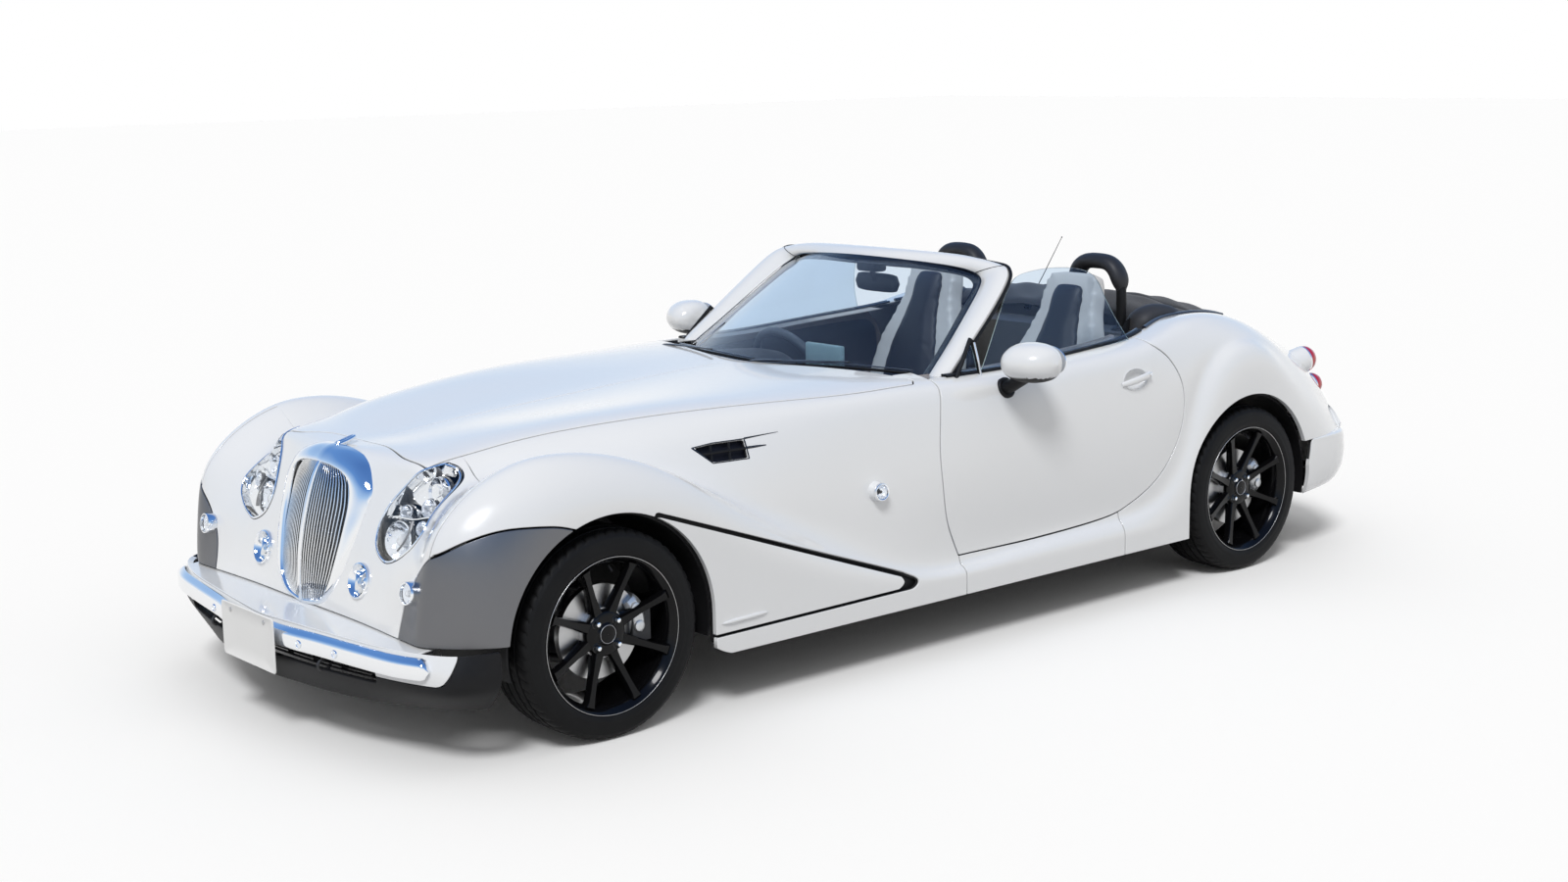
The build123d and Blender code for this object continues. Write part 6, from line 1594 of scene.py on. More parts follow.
def add_mirrors():
    """Rounded shells on black feet; the underside of a shell is black too."""
    x0, y0, z0 = MIRROR_MIDDLE
    turn = np.linspace(0, 2 * math.pi, 40, endpoint=False)
    rings = []
    for t in np.linspace(-1, 1, 25):
        k = (1 - abs(t) ** 2.5) ** .5
        ring = []
        for c, q in zip(np.cos(turn), np.sin(turn)):
            ahead = MIRROR_AHEAD * c if c > 0 else MIRROR_BACK * math.copysign(abs(c) ** .7, c)
            ring.append((x0 + ahead * k * (1 - .12 * t) - .012 * t, y0 + MIRROR_HALF * t,
                         z0 + .002 + MIRROR_TALL * q * k ** .9 * (1 - .06 * t)))
        rings.append(ring)
    quads = grid_triangles(len(rings), len(turn), True)
    points = np.array(rings).reshape(-1, 3)
    low = points[quads].mean(1)[:, 2] < z0 - .040
    shell_ = add_mesh("mirror_shell", points, quads, [PAINT, BLACK], index=low.astype(int))
    tidy_normals(shell_)
    face = [[(x0 - .070 - d, y0 - .002 + .078 * share * math.cos(a), z0 + .002 + .050 * share * math.sin(a))
             for a in turn] for share, d in ((1, .0), (1.0, .004), (.95, .006), (.01, .006))]
    side_skin = skin_of(GRID, (row_at(-.30), row_at(.10)), (U_BELT, U_CREST), cell=.008)
    (foot_at,), (out,) = on_surface(side_skin, 1, *[[value] for value in MIRROR_FOOT])
    path = [foot_at - out * .015, foot_at + out * .012, foot_at + out * .024 + [0, .018, .008],
            (-.106, .884, .880)]
    path = curve(path, 6)
    radius = np.interp(np.linspace(0, 1, len(path)), [0, .3, .7, 1], [.030, .026, .024, .030])
    pad = ((-.014, .036), (.003, .036), (.008, .031), (.010, .001))
    parts = [shell_, loft("mirror_face", face, CHROME), swept("mirror_foot", path, radius, BLACK, 20, .9),
             turned("mirror_pad", pad, BLACK, foot_at, out, 32)]
    both_sides("door_mirror", parts, "door_assembly_{}", "white_paint", "mirror_{}")


HANDLE_HALF = (.060, .036)               # half length and half height of the handle's recess
# The recess from its lip in: (share of its outline, depth)
RECESS = ((1.13, .0006), (1.12, -.0006), (1.04, -.0012), (.99, .0006), (.95, .007), (.86, .015), (.68, .020),
          (.35, .022), (.01, .022))
GRIP_LIFT = np.array([.001, .010, .017, .020, .021, .020, .017, .010,
                      .002])   # from its front end to its rear end
LOCK = ((-.002, .0062), (.0015, .006), (.0018, .0045), (.0008, .004), (.0010, .0005))


def add_handles():
    (x, z), (half, tall) = HANDLE, HANDLE_HALF
    side_skin = skin_of(GRID, (row_at(-1.0), row_at(-.45)), (U_BELT, U_CREST), cell=.008)
    a = np.linspace(0, 2 * math.pi, 48, endpoint=False)
    rings = []
    for share, depth in RECESS:
        ring, n = on_surface(side_skin, 1, x + half * share * np.cos(a), z + tall * share * np.sin(a))
        rings.append(ring - (n.mean(0) if depth > .002 else n) * depth)
    count = len(GRIP_LIFT)
    ends, n = on_surface(side_skin, 1, np.linspace(x + .076, x - .080, count),
                         np.linspace(z - .012, z + .014, count))
    grip = curve(ends + n * GRIP_LIFT[:, None], 4)
    radius = np.interp(np.arange(len(grip)), [0, 5, 16, 27, 32], [.008, .0115, .0125, .0115, .007])
    parts = [loft("handle_recess", rings, PAINT, caps=False),
             swept("handle_grip", grip, radius, PAINT, 14, .62, (0, 1, 0)),
             turned("handle_lock", LOCK, CHROME, ends[7] + n[7] * .021, (0, 1, .1), 24)]
    both_sides("door_handle", parts, "door_assembly_{}", "white_paint")


# ---------------------------------------------------------------- cabin
SEAT_Y = .365
BACK_PATH = (                            # seat back, (x, z, half width, half depth)
    (-.735, .300, .190, .052), (-.758, .400, .222, .058), (-.790, .530, .240, .060),
    (-.830, .680, .240, .058),
    (-.862, .800, .215, .053), (-.890, .890, .172, .048), (-.915, .970, .142, .042),
    (-.933, 1.040, .132, .037),
    (-.945, 1.095, .118, .030),
)
BACK_PAD = (
    (-.695, .410, .130, .022), (-.722, .530, .152, .024), (-.763, .680, .152, .025),
    (-.797, .800, .136, .024),
    (-.828, .890, .108, .022), (-.857, .970, .090, .020), (-.880, 1.035, .080, .018),
    (-.895, 1.078, .064, .014),
)
CUSHION_PATH = ((-.262, .372, .212, .050), (-.360, .378, .232, .062), (-.520, .362, .236, .060),
                (-.700, .345, .228, .056),
                (-.775, .340, .205, .048))
CUSHION_PAD = ((-.285, .425, .130, .022), (-.400, .432, .146, .025), (-.560, .416, .150, .025),
               (-.690, .405, .140, .022))
STEERING_CENTRE, STEERING_TILT = np.array([-.150, -.360, .745]), math.radians(24)
HOOP_LINE = ((-1.045, .478, .895), (-1.050, .476, 1.040), (-1.052, .458, 1.105), (-1.050, .420, 1.142),
             (-1.048, .360, 1.150),
             (-1.050, .300, 1.142), (-1.052, .262, 1.105), (-1.050, .244, 1.040), (-1.045, .242, .895))


FORM_SIDES = 56                          # points round a stuffed form
FORM_POWER, END_POWER = 2.8, 2.4         # how square its section and its ends are
VOXEL = .013                             # cell of the remesh before the simulation
CLOTH_FRAMES, CLOTH_PRESSURE, CLOTH_QUALITY = 20, 4, 4


def cushion(name, line, finish, bolster, swell):
    """A stuffed form along a line of (x, z, half width, half depth), swollen by a cloth simulation."""
    rows = curve(line, 7)
    spine = np.column_stack([rows[:, 0], np.full(len(rows), SEAT_Y), rows[:, 1]])
    along = unit(np.gradient(spine, axis=0))
    front = unit(np.cross([0, 1, 0], along))
    front *= np.where(front @ np.array([1, 0, .9]) < 0, -1, 1)[:, None]
    ends = [(share, (1 - (1 - share) ** END_POWER) ** (1 / END_POWER)) for share in (.10, .45, .75, .92)]
    plan = [(0, -(1 - a) * rows[0, 3], b) for a, b in ends] + [(k, 0, 1) for k in range(len(rows))]
    plan += [(len(rows) - 1, (1 - a) * rows[-1, 3], b) for a, b in ends[::-1]]
    turn = np.linspace(0, 2 * math.pi, FORM_SIDES, endpoint=False)
    c, q = np.cos(turn), np.sin(turn)
    rings = []
    for k, push, share in plan:
        half, deep = rows[k, 2] * share, rows[k, 3] * share
        side = np.sign(c) * np.abs(c) ** (2 / FORM_POWER) * half
        out = np.sign(q) * np.abs(q) ** (2 / FORM_POWER) * deep
        out = out + bolster * share * np.where(q > -.2, np.abs(c) ** 3, 0)
        rings.append(spine[k] + along[k] * push + side[:, None] * np.array([0, 1, 0])
                     + out[:, None] * front[k])
    form = loft(name, rings, finish)
    return swollen(form, swell)


def points_of(mesh):
    points = np.empty(len(mesh.vertices) * 3)
    mesh.vertices.foreach_get("co", points)
    return points.reshape(-1, 3)


def swollen(form, reach):
    """The form remeshed, put under pressure as cloth, moved no further than reach, and smoothed."""
    scene = bpy.context.scene
    finishes = list(form.data.materials)
    remesh = form.modifiers.new("remesh", "REMESH")
    remesh.mode, remesh.voxel_size, remesh.use_smooth_shade = "VOXEL", VOXEL, True
    apply_modifiers(form)
    form.data.materials.clear()
    for finish in finishes:
        form.data.materials.append(finish)
    start = points_of(form.data)
    cloth = form.modifiers.new("cloth", "CLOTH")
    cloth.settings.use_pressure = True
    cloth.settings.uniform_pressure_force = CLOTH_PRESSURE
    cloth.settings.quality = CLOTH_QUALITY
    cloth.settings.effector_weights.gravity = 0
    cloth.point_cache.frame_start, cloth.point_cache.frame_end = 1, CLOTH_FRAMES
    for frame_number in range(1, CLOTH_FRAMES + 1):
        scene.frame_set(frame_number)
    step = points_of(form.evaluated_get(bpy.context.evaluated_depsgraph_get()).data) - start
    far = np.linalg.norm(step, axis=1, keepdims=True)
    step *= np.minimum(1, reach / np.maximum(far, 1e-9))
    form.modifiers.clear()
    form.data.vertices.foreach_set("co", (start + step).ravel())
    scene.frame_set(1)
    finer = form.modifiers.new("finer", "SUBSURF")
    finer.levels = finer.render_levels = 1
    apply_modifiers(form)
    return form


SEAT_SHIFT = Matrix.Translation((0, -2 * SEAT_Y, 0))     # from the left seat to the right one
SEAT_FORMS = (                           # name, line, finish, slot, side bolster, how far the cloth may swell
    ("seat_back", BACK_PATH, PALE_LEATHER, "seat_leather", .045, .010),
    ("seat_back_pad", BACK_PAD, DARK_LEATHER, "dark_leather", 0, .014),
    ("seat_cushion", CUSHION_PATH, PALE_LEATHER, "seat_leather", .030, .010),
    ("seat_cushion_pad", CUSHION_PAD, DARK_LEATHER, "dark_leather", 0, .014),
)
SHELL_Y = np.array([-1, -.97, -.6, 0, .6, .97, 1])       # shares of the seat shell's half width
SEAT_PIVOT = ((-.010, .034), (.008, .034), (.014, .026), (.015, .001))


def add_seats():
    """Both seats' padded forms; the left ones are swollen, the right ones are copies."""
    made = [(name, slot, cushion(name, line, finish, bolster, swell))
            for name, line, finish, slot, bolster, swell in SEAT_FORMS]
    for name, slot, piece in made:
        other = copy_of(piece, f"{name}_right", SEAT_SHIFT)
        piece.name = f"{name}_left"
        for one in (piece, other):
            place(one, "body", slot, *(["seats"] if one.name == "seat_back_left" else []))


def add_seat_bases():
    rings = []
    for x, z, half, deep in BACK_PATH[:6]:
        depth = x - deep * 1.05 - .014 * (1 - SHELL_Y ** 6)
        ring = np.column_stack([depth, SEAT_Y + SHELL_Y * half * .9, np.full(len(SHELL_Y), z)])
        rings.append(np.vstack([ring, ring[::-1] + [.012, 0, 0]]))
    parts = [loft("seat_shell", rings, TRIM)]
    for side, _ in SIDES:
        rail, edge = SEAT_Y + side * .17, SEAT_Y + side * .215
        parts += [
            slab("seat_rail", (-.74, rail - .018, .178), (-.28, rail + .018, .215), IRON, .004),
            slab("seat_side", (-.76, edge - .014, .215), (-.30, edge + .014, .315), TRIM, .012),
            turned("seat_pivot", SEAT_PIVOT, TRIM, (-.765, SEAT_Y + side * .226, .345), (0, side, 0), 28),
        ]
    parts.append(slab("seat_frame", (-.74, SEAT_Y - .19, .215), (-.30, SEAT_Y + .19, .300), TRIM, .015))
    left = joined("seat_base_left", parts)
    for piece in (copy_of(left, "seat_base_right", SEAT_SHIFT), left):
        place(piece, "body", "cabin_plastic")


WHEEL_RADIUS, WHEEL_GRIP = .183, .0160   # steering wheel's rim
WHEEL_SPOKES = ((90, .019), (-90, .019), (180, .024))   # (angle from the top, half width)
WHEEL_BOSS = ((-.034, .040), (-.030, .060), (-.010, .066), (.008, .062), (.016, .050), (.020, .028),
              (.021, .0005))
WHEEL_RING = ((.0195, .030), (.0212, .029), (.0212, .026), (.0200, .025))


def add_steering():
    axis = np.array([-math.cos(STEERING_TILT), 0, math.sin(STEERING_TILT)])
    side, up = np.array([0, 1, 0]), np.cross(axis, [0, 1, 0])
    up *= np.sign(up[2])

    def at(across, high, out):
        return STEERING_CENTRE + side * across + up * high + axis * out

    turn = np.linspace(0, 2 * math.pi, 73)
    rim = [at(WHEEL_RADIUS * math.sin(a), WHEEL_RADIUS * math.cos(a), .004) for a in turn]
    parts = [swept("steering_rim", rim, WHEEL_GRIP, WHEEL_LEATHER, 18, 1.0, tuple(axis))]
    for a, wide in WHEEL_SPOKES:
        a = math.radians(a)
        line = [at(r * math.sin(a), r * math.cos(a), -.022 + .022 * (r / .18) ** 2)
                for r in (.035, .08, .12, .150, .176)]
        width = np.interp(np.arange(21), [0, 8, 20], [wide * 1.25, wide, wide * .75])
        parts.append(swept("steering_spoke", curve(line, 5), width, TRIM, 12, .34, tuple(axis)))
    for across in (-.086, .086):
        line = [at(across - .026, .004, -.001), at(across + .026, .004, .004)]
        parts.append(swept("steering_trim", line, .0105, CHROME, 12, .3, tuple(axis)))
    parts.append(turned("steering_boss", WHEEL_BOSS, TRIM, STEERING_CENTRE, axis))
    parts.append(turned("steering_ring", WHEEL_RING, CHROME, STEERING_CENTRE, axis))
    place(joined("steering_wheel_trimmed", parts), "steering", "dark_leather", "steering_wheel")


DASH_HALF = .632
VENTS_Y, VENT_Z = (-.575, -.13, .13, .575), .742
VENT_RING = ((-.02, .040), (.012, .043), (.020, .040), (.018, .035), (-.012, .033))
GAUGES = ((-.44, .042), (-.36, .052), (-.28, .042))     # (y, radius)
GLOVEBOX = ((.003, .20, .655), (.003, .58, .655), (.028, .60, .60), (.028, .20, .60), (.003, .20, .655))


def dash_ring(y):
    """The dashboard's section at y: a hood over the gauges, and ends drawn in a little."""
    binnacle = math.exp(-((y + .36) / .165) ** 4)
    dip = math.exp(-(y / .13) ** 4)
    edge = min(1, (DASH_HALF - abs(y)) / .02 + .5)
    top = .822 + .034 * binnacle - .004 * dip
    rear = -.006 - .050 * binnacle
    ring = [(.548, .800), (.330, .824), (.160, top + .006), (.060, top + .004), (rear + .020, top - .004),
            (rear - .010, top - .022), (rear, top - .048), (rear + .038 * (1 - binnacle) + .05, .735),
            (.030, .700), (.006, .655), (.010, .630), (.045, .590), (.100, .575), (.320, .585), (.548, .620)]
    return [(x * edge + .3 * (1 - edge), y, z * edge + .72 * (1 - edge)) for x, z in ring]


def add_dash():
    parts = [loft("dash_body", [dash_ring(y) for y in np.linspace(-DASH_HALF, DASH_HALF, 45)], TRIM)]
    for y in VENTS_Y:
        parts.append(turned("vent_ring", VENT_RING, CHROME, (.018, y, VENT_Z), (-1, 0, .15), 40))
        for z in (VENT_Z - .016, VENT_Z, VENT_Z + .016):
            parts.append(slab("vent_blade", (.006, y - .030, z - .0015), (.018, y + .030, z + .0015), GLOSS,
                              .001))
    for y, r in GAUGES:
        for profile, finish in (([(-.035, r), (.004, r), (.006, r - .004), (-.006, r - .005), (-.007, .0005)],
                                 GLOSS),
                                ([(.003, r + .001), (.008, r), (.008, r - .003), (.003, r - .004)], CHROME)):
            parts.append(turned("gauge", profile, finish, (-.012, y, .775), (-1, 0, .2), 40))
    parts.append(slab("screen_body", (-.012, -.098, .822), (.006, .098, .908), PALE_TEAL, .006))
    parts.append(slab("screen_face", (-.0145, -.090, .830), (-.0115, .090, .900), GLOSS, .001))
    # a thin dark line round the glovebox: painted shade in its shut gap
    parts.append(swept("glovebox_gap_shade", GLOVEBOX, .0016, GAP_SHADE, 6))
    ahead = np.array([math.cos(STEERING_TILT), 0, -math.sin(STEERING_TILT)])
    start = STEERING_CENTRE + ahead * .045
    shroud = [start, start + ahead * .05, start + ahead * .20]
    parts.append(swept("column_shroud", shroud, np.array([.044, .052, .060]), TRIM, 24, .85))
    for side, _ in SIDES:
        foot = start + ahead * .03 + np.array([0, side * .04, 0])
        tip = start + ahead * .035 + np.array([0, side * .165, .012])
        parts.append(swept("stalk", [foot, tip], np.array([.007, .010]), TRIM, 10))
    place(joined("dash_trim", parts), "body", "cabin_plastic", "dashboard")


# Console between the seats: (x, half width, low, high), and its section as shares of them
CONSOLE = (
    (.135, .088, .44, .640), (.06, .090, .44, .622), (-.06, .090, .44, .600), (-.25, .088, .44, .588),
    (-.42, .088, .44, .600), (-.52, .090, .44, .628), (-.69, .088, .44, .622), (-.71, .080, .44, .600),
)
CONSOLE_Y = np.array([1, .99, .92, .75, .4, 0, -.4, -.75, -.92, -.99, -1])
CONSOLE_Z = np.array([0, .80, .95, 1, 1.01, 1.012, 1.01, 1, .95, .80, 0])
LEVER_BOOT = ((0, .055), (.015, .050), (.05, .026), (.075, .012))
LEVER_RING = ((0, .060), (.006, .060), (.008, .055), (.004, .052))
LEVER_KNOB = ((-.004, .012), (.002, .020), (.020, .027), (.038, .025), (.048, .014), (.050, .0005))
CUP_RING = ((0, .038), (.005, .038), (.005, .034), (-.004, .033), (-.012, .0005))
HAND_BRAKE = ((-.20, .062, .60), (-.26, .062, .628), (-.36, .062, .648))


def add_console():
    rings = [np.column_stack([np.full(len(CONSOLE_Y), x), CONSOLE_Y * half, low + (high - low) * CONSOLE_Z])
             for x, half, low, high in CONSOLE]
    parts = [
        loft("console_body", rings, TRIM),
        slab("armrest", (-.70, -.078, .615), (-.50, .078, .655), DARK_LEATHER, .018),
        turned("lever_boot", LEVER_BOOT, DARK_LEATHER, (-.16, 0, .598), (-.15, 0, 1), 32),
        turned("lever_ring", LEVER_RING, CHROME, (-.16, 0, .597), (0, 0, 1), 40),
        swept("lever", [(-.17, 0, .66), (-.18, 0, .70)], .006, CHROME, 12),
        turned("lever_knob", LEVER_KNOB, DARK_LEATHER, (-.182, 0, .695), (-.15, 0, 1), 32),
    ]
    parts += [turned("cup_ring", CUP_RING, CHROME, (x, 0, .602), (0, 0, 1), 36) for x in (-.38, -.455)]
    parts.append(swept("hand_brake", HAND_BRAKE, np.array([.011, .013, .014]), DARK_LEATHER, 14))
    place(joined("console_trim", parts), "body", "cabin_plastic")


TRIM_HALF_WIDTH = ((.33, .700), (.55, .690), (.75, .690), (.83, .700), (.868, .722))   # door trim, (z, y)
TRIM_REST, TRIM_SPLIT_Z = .040, .655     # depth of the arm rest; where the two colours meet
TRIM_LOOP = ((.0, .862), (-.895, .862), (-.895, .42), (-.80, .35), (-.05, .35), (.0, .40))
DOOR_PULL = ((-.22, .680, .720), (-.25, .655, .722), (-.38, .652, .716), (-.41, .680, .712))


def add_door_trims():
    rows = []
    for x in np.linspace(.02, -.905, 30):
        row = []
        for z in np.linspace(.868, .33, 22):
            fade = min(1, max(0, (.02 - x) / .12)) * min(1, max(0, (x + .90) / .12))
            rest = math.exp(-((z - .62) / .05) ** 4) * fade
            row.append((x, float(smooth(z, TRIM_HALF_WIDTH)[0, 0]) - TRIM_REST * rest, z))
        rows.append(row)
    skin = facing(skin_of(np.array(rows), cell=.018), (0, -1, 0))
    skin = trimmed(skin, within(XZ, rounded(TRIM_LOOP, .05), 0))
    upper = trimmed(skin, lambda s: TRIM_SPLIT_Z - s.p[:, 2])
    lower = trimmed(skin, lambda s: s.p[:, 2] - TRIM_SPLIT_Z + .002)
    speaker = ((-.004, .080), (.004, .080), (.006, .074), (.001, .068), (.004, .0005))
    for side, name in SIDES:
        parts = [panel("trim_upper", upper, plain(BRONZE), side, depth=.010, radius=.003),
                 panel("trim_lower", lower, plain(TRIM), side, depth=.010, radius=.003),
                 swept("door_pull", curve(np.array(DOOR_PULL) * [1, side, 1], 6), .010, CHROME, 12),
                 turned("door_speaker", speaker, TRIM, (-.14, side * .694, .47), (0, -side, 0), 40)]
        place(joined(f"door_trim_{name}", parts), f"door_assembly_{name}", "cabin_plastic")


HOOP_PAD_SHARE = .80                     # share of a hoop that its cover hides


def add_hoops():
    foot = ((-.004, .040), (.010, .038), (.018, .028), (.020, .020))
    for side, name in SIDES:
        line = curve(np.array(HOOP_LINE) * [1, side, 1])
        pad = line[np.abs(np.linspace(-1, 1, len(line))) < HOOP_PAD_SHARE]
        wide = .040 * np.clip((1 - np.abs(np.linspace(-1, 1, len(pad))) ** 10), .45, 1)
        parts = [swept("hoop_tube", line, .019, BLACK, 14),
                 swept("hoop_pad", pad, wide, DARK_LEATHER, 22, .72)]
        parts += [turned("hoop_foot", foot, BLACK, end, (0, 0, 1), 28) for end in (line[0], line[-1])]
        place(joined(f"roll_hoop_{name}", parts), "body", "black_plastic",
              *(["roll_hoops"] if side == 1 else []))


TOP_WIDE = .560                          # half the stowed roof's width at its ends
TOP_PROFILE = ((-1.128, .945), (-1.140, .968), (-1.205, .990), (-1.290, 1.001), (-1.325, .990),
               (-1.330, .984),
               (-1.350, .994), (-1.430, .984), (-1.515, .962), (-1.533, .948), (-1.520, .940))   # (x, z)
TOP_HALF_WIDTH = ((-1.54, TOP_WIDE), (-1.50, .580), (-1.30, .590), (-1.12, TOP_WIDE))            # (x, y)
TOP_FALL, TOP_FALL_POWER = .052, 3.2     # how the roof and its bows fall to the sides
TOP_THICKNESS = .0022
BOWS = ((-1.150, .950), (-1.300, .976), (-1.420, .962), (-1.500, .940))                          # (x, z)
BOW_HALF = .555


def add_soft_top():
    """The folded roof: one sheet in three folds over its bows."""
    across = np.linspace(-1, 1, 61)
    profile = curve(TOP_PROFILE, 6)
    half = smooth(profile[:, 0], TOP_HALF_WIDTH)[:, 0]
    rows = []
    for (x, z), wide in zip(profile, half):
        fall = TOP_FALL * np.abs(across) ** TOP_FALL_POWER
        sag = .004 * np.sin(across * 9 + x * 21) * (1 - across ** 4) + .003 * np.sin(across * 17 - x * 60)
        wave = .010 * np.cos(across * 6) * (1 - across ** 2)
        rows.append(np.column_stack([x + wave, across * wide, z - fall + sag]))
    rows = np.array(rows)
    top = add_mesh("soft_top_sheet", rows.reshape(-1, 3), grid_triangles(len(rows), len(across)), [FABRIC])
    thick = top.modifiers.new("thick", "SOLIDIFY")
    thick.thickness, thick.offset = TOP_THICKNESS, -1
    apply_modifiers(top)
    for face in top.data.polygons:
        face.use_smooth = True
    place(top, "body", "soft_top_fabric", "soft_top")


def add_top_bows():
    parts = []
    for x, z in BOWS:
        line = [(x, y * BOW_HALF, z - TOP_FALL * abs(y) ** TOP_FALL_POWER) for y in np.linspace(-1, 1, 25)]
        parts.append(swept("bow", line, .011, IRON, 10, .7))
    for side, _ in SIDES:
        line = [(-1.150, side * .555, .898), (-1.30, side * .565, .92), (-1.50, side * .556, .888)]
        parts.append(swept("bow_side", line, .012, IRON, 10))
    place(joined("soft_top_bows", parts), "body", "black_plastic")


BELT_TOWER = ((-1.085, .520, .850), (-1.110, .515, .915), (-1.165, .530, .945), (-1.240, .560, .935),
              (-1.300, .590, .900))
BELT_LINE = ((-1.075, .500, .925), (-.98, .555, .900), (-.90, .590, .70), (-.82, .600, .40))


def add_belts():
    """The towers behind the seats and the belt straps that run down from them."""
    parts = []
    for side, _ in SIDES:
        line = curve(np.array(BELT_TOWER) * [1, side, 1])
        radius = np.interp(np.linspace(0, 1, len(line)), [0, .3, .7, 1], [.050, .062, .052, .020])
        parts.append(swept("belt_tower", line, radius, TRIM, 20, .8))
        parts.append(swept("belt", curve(np.array(BELT_LINE) * [1, side, 1]), .022, BLACK, 8, .06, (0, 1, 0)))
    place(joined("belt_towers", parts), "body", "cabin_plastic")


def add_tub_floor():
    parts = [slab("floor_mat", (-.28, side * .385 - .185, .182), (.52, side * .385 + .185, .196), CARPET,
                  .006) for side in (1, -1)]
    parts.append(slab("rear_wall", (-.985, -.60, .30), (-.965, .60, .890), CARPET, .008))
    parts.append(slab("rear_shelf", (-1.125, -.60, .880), (-.965, .60, .898), CARPET, .006))
    for x, y in ((.46, -.43), (.46, -.35), (.46, -.27)):
        parts.append(slab("pedal", (x, y - .025, .30), (x + .012, y + .025, .37), STEEL, .003))
        parts.append(swept("pedal_arm", [(x + .010, y, .36), (x + .06, y, .52)], .006, IRON, 8))
    place(joined("cabin_floor", parts), "body", "cabin_plastic")


# ---------------------------------------------------------------- fittings
BOSS = (.506, .812, .568)                # side marker's foot on the wing, behind the front wheel
# The rear bumper's face in plan at each height: (x, y) from the middle to the wheel arch
REAR_WRAP = (
    (.236, ((-2.196, 0), (-2.166, .400), (-2.078, .618), (-1.935, .776), (-1.66, .846))),
    (.258, ((-2.228, 0), (-2.198, .400), (-2.108, .638), (-1.960, .800), (-1.67, .862))),
    (.325, ((-2.256, 0), (-2.226, .400), (-2.132, .650), (-1.980, .820), (-1.69, .867))),
    (.400, ((-2.255, 0), (-2.224, .400), (-2.130, .652), (-1.978, .822), (-1.71, .865))),
    (.434, ((-2.247, 0), (-2.215, .400), (-2.122, .650), (-1.975, .820), (-1.72, .860))),
    (.446, ((-2.222, 0), (-2.194, .392), (-2.108, .635), (-1.968, .817), (-1.73, .859))),
    (.4485, ((-2.130, 0), (-2.105, .380), (-2.070, .600), (-1.945, .788), (-1.74, .850))),
)


# Lines on the side vent, (x, z), with radius and how far they stand out: blades, and two lines ahead
VENT_BLADES = (
    (((1.125, .7555), (1.05, .7580), (.966, .7590)), .0048, -.004),
    (((1.090, .7270), (1.080, .7860)), .0042, -.006), (((1.028, .7270), (1.018, .7850)), .0042, -.006),
)
VENT_TAILS = (
    (((.966, .7590), (.930, .7597), (.897, .7600)), (.0042, .0036, .0014)),
    (((.966, .7865), (.900, .7905), (.846, .7935)), (.0030, .0016, .0006)),
)


def add_vent():
    patch = skin_of(GRID, (row_at(.93), row_at(1.19)), (U_BELT, U_CREST), cell=.004)
    rim = trimmed(patch, within(XZ, VENT_LOOP, 0), outside(XZ, VENT_HOLE, 0))
    rim.p = rim.p + rim.n * .0012
    back = trimmed(patch, within(XZ, VENT_LOOP, 0))
    back.p = back.p - back.n * .020

    def bar(line, radius, flat, lift, finish):
        points, normals = on_surface(patch, 1, *np.array(line).T)
        return swept("bar", points + normals * lift, radius, finish, 8, flat, (0, 1, .3))

    for side, name in SIDES:
        parts = [panel("rim", rim, plain(GLOSS), side, depth=.012, radius=.0015),
                 panel("back", back, plain(VENT_DARK), side, depth=.003, radius=.0005)]
        bars = [bar(line, radius, .8, lift, BLACK) for line, radius, lift in VENT_BLADES]
        bars += [bar(line, np.array(radii), .4, .0004, GLOSS) for line, radii in VENT_TAILS]
        if side < 0:
            near = joined("bars", bars)
            bars = [mirror_of(near, "bar")]
            bpy.data.objects.remove(near)
        place(joined(f"side_vent_{name}", parts + bars), "body", "black_plastic")


MARKER_AXIS = (.06, 1, .05)


def add_side_markers():
    """Round marker lamps on a painted boss behind the front wheels."""
    parts = []
    for profile, finish, sides in (
        (((-.012, .0345), (.0, .0325), (.010, .0305), (.020, .0285), (.027, .0272), (.029, .0262)), PAINT,
         48),
        (((.024, .0285), (.030, .0286), (.033, .0272), (.0335, .0252), (.032, .0228), (.028, .0220)), CHROME,
         48),
        (((.029, .0228), (.021, .0180), (.015, .0100), (.013, .0004)), MIRRORED, 48),
        (((.013, .0060), (.022, .0058), (.026, .0040), (.0275, .0004)), IRON, 24),
    ):
        parts.append(turned("marker", profile, finish, BOSS, MARKER_AXIS, sides))
    lens = turned("lens", ((.030, .0226), (.0335, .0190), (.0355, .0110), (.0360, .0004)), LENS, BOSS,
                  MARKER_AXIS)
    both_sides("side_marker", parts, "body", "chrome")
    both_sides("side_marker_lens", [lens], "body", "lamp_glass")


SPINE_ENDS = (1.820, .455)               # front and rear end of the ridge along the bonnet
RIDGE_ENDS = ((1.180, .2745), (1.006, .2795))   # ends of the short ridge low on the wing, (x, z)
RIDGE_RADII = np.array([.0015, .005, .0062, *[.0066] * 6, .006, .005, .0015])
MAST = ((-1.700, -.602, .845), (-1.712, -.602, .866), (-1.816, -.600, 1.001), (-1.910, -.600, 1.125))


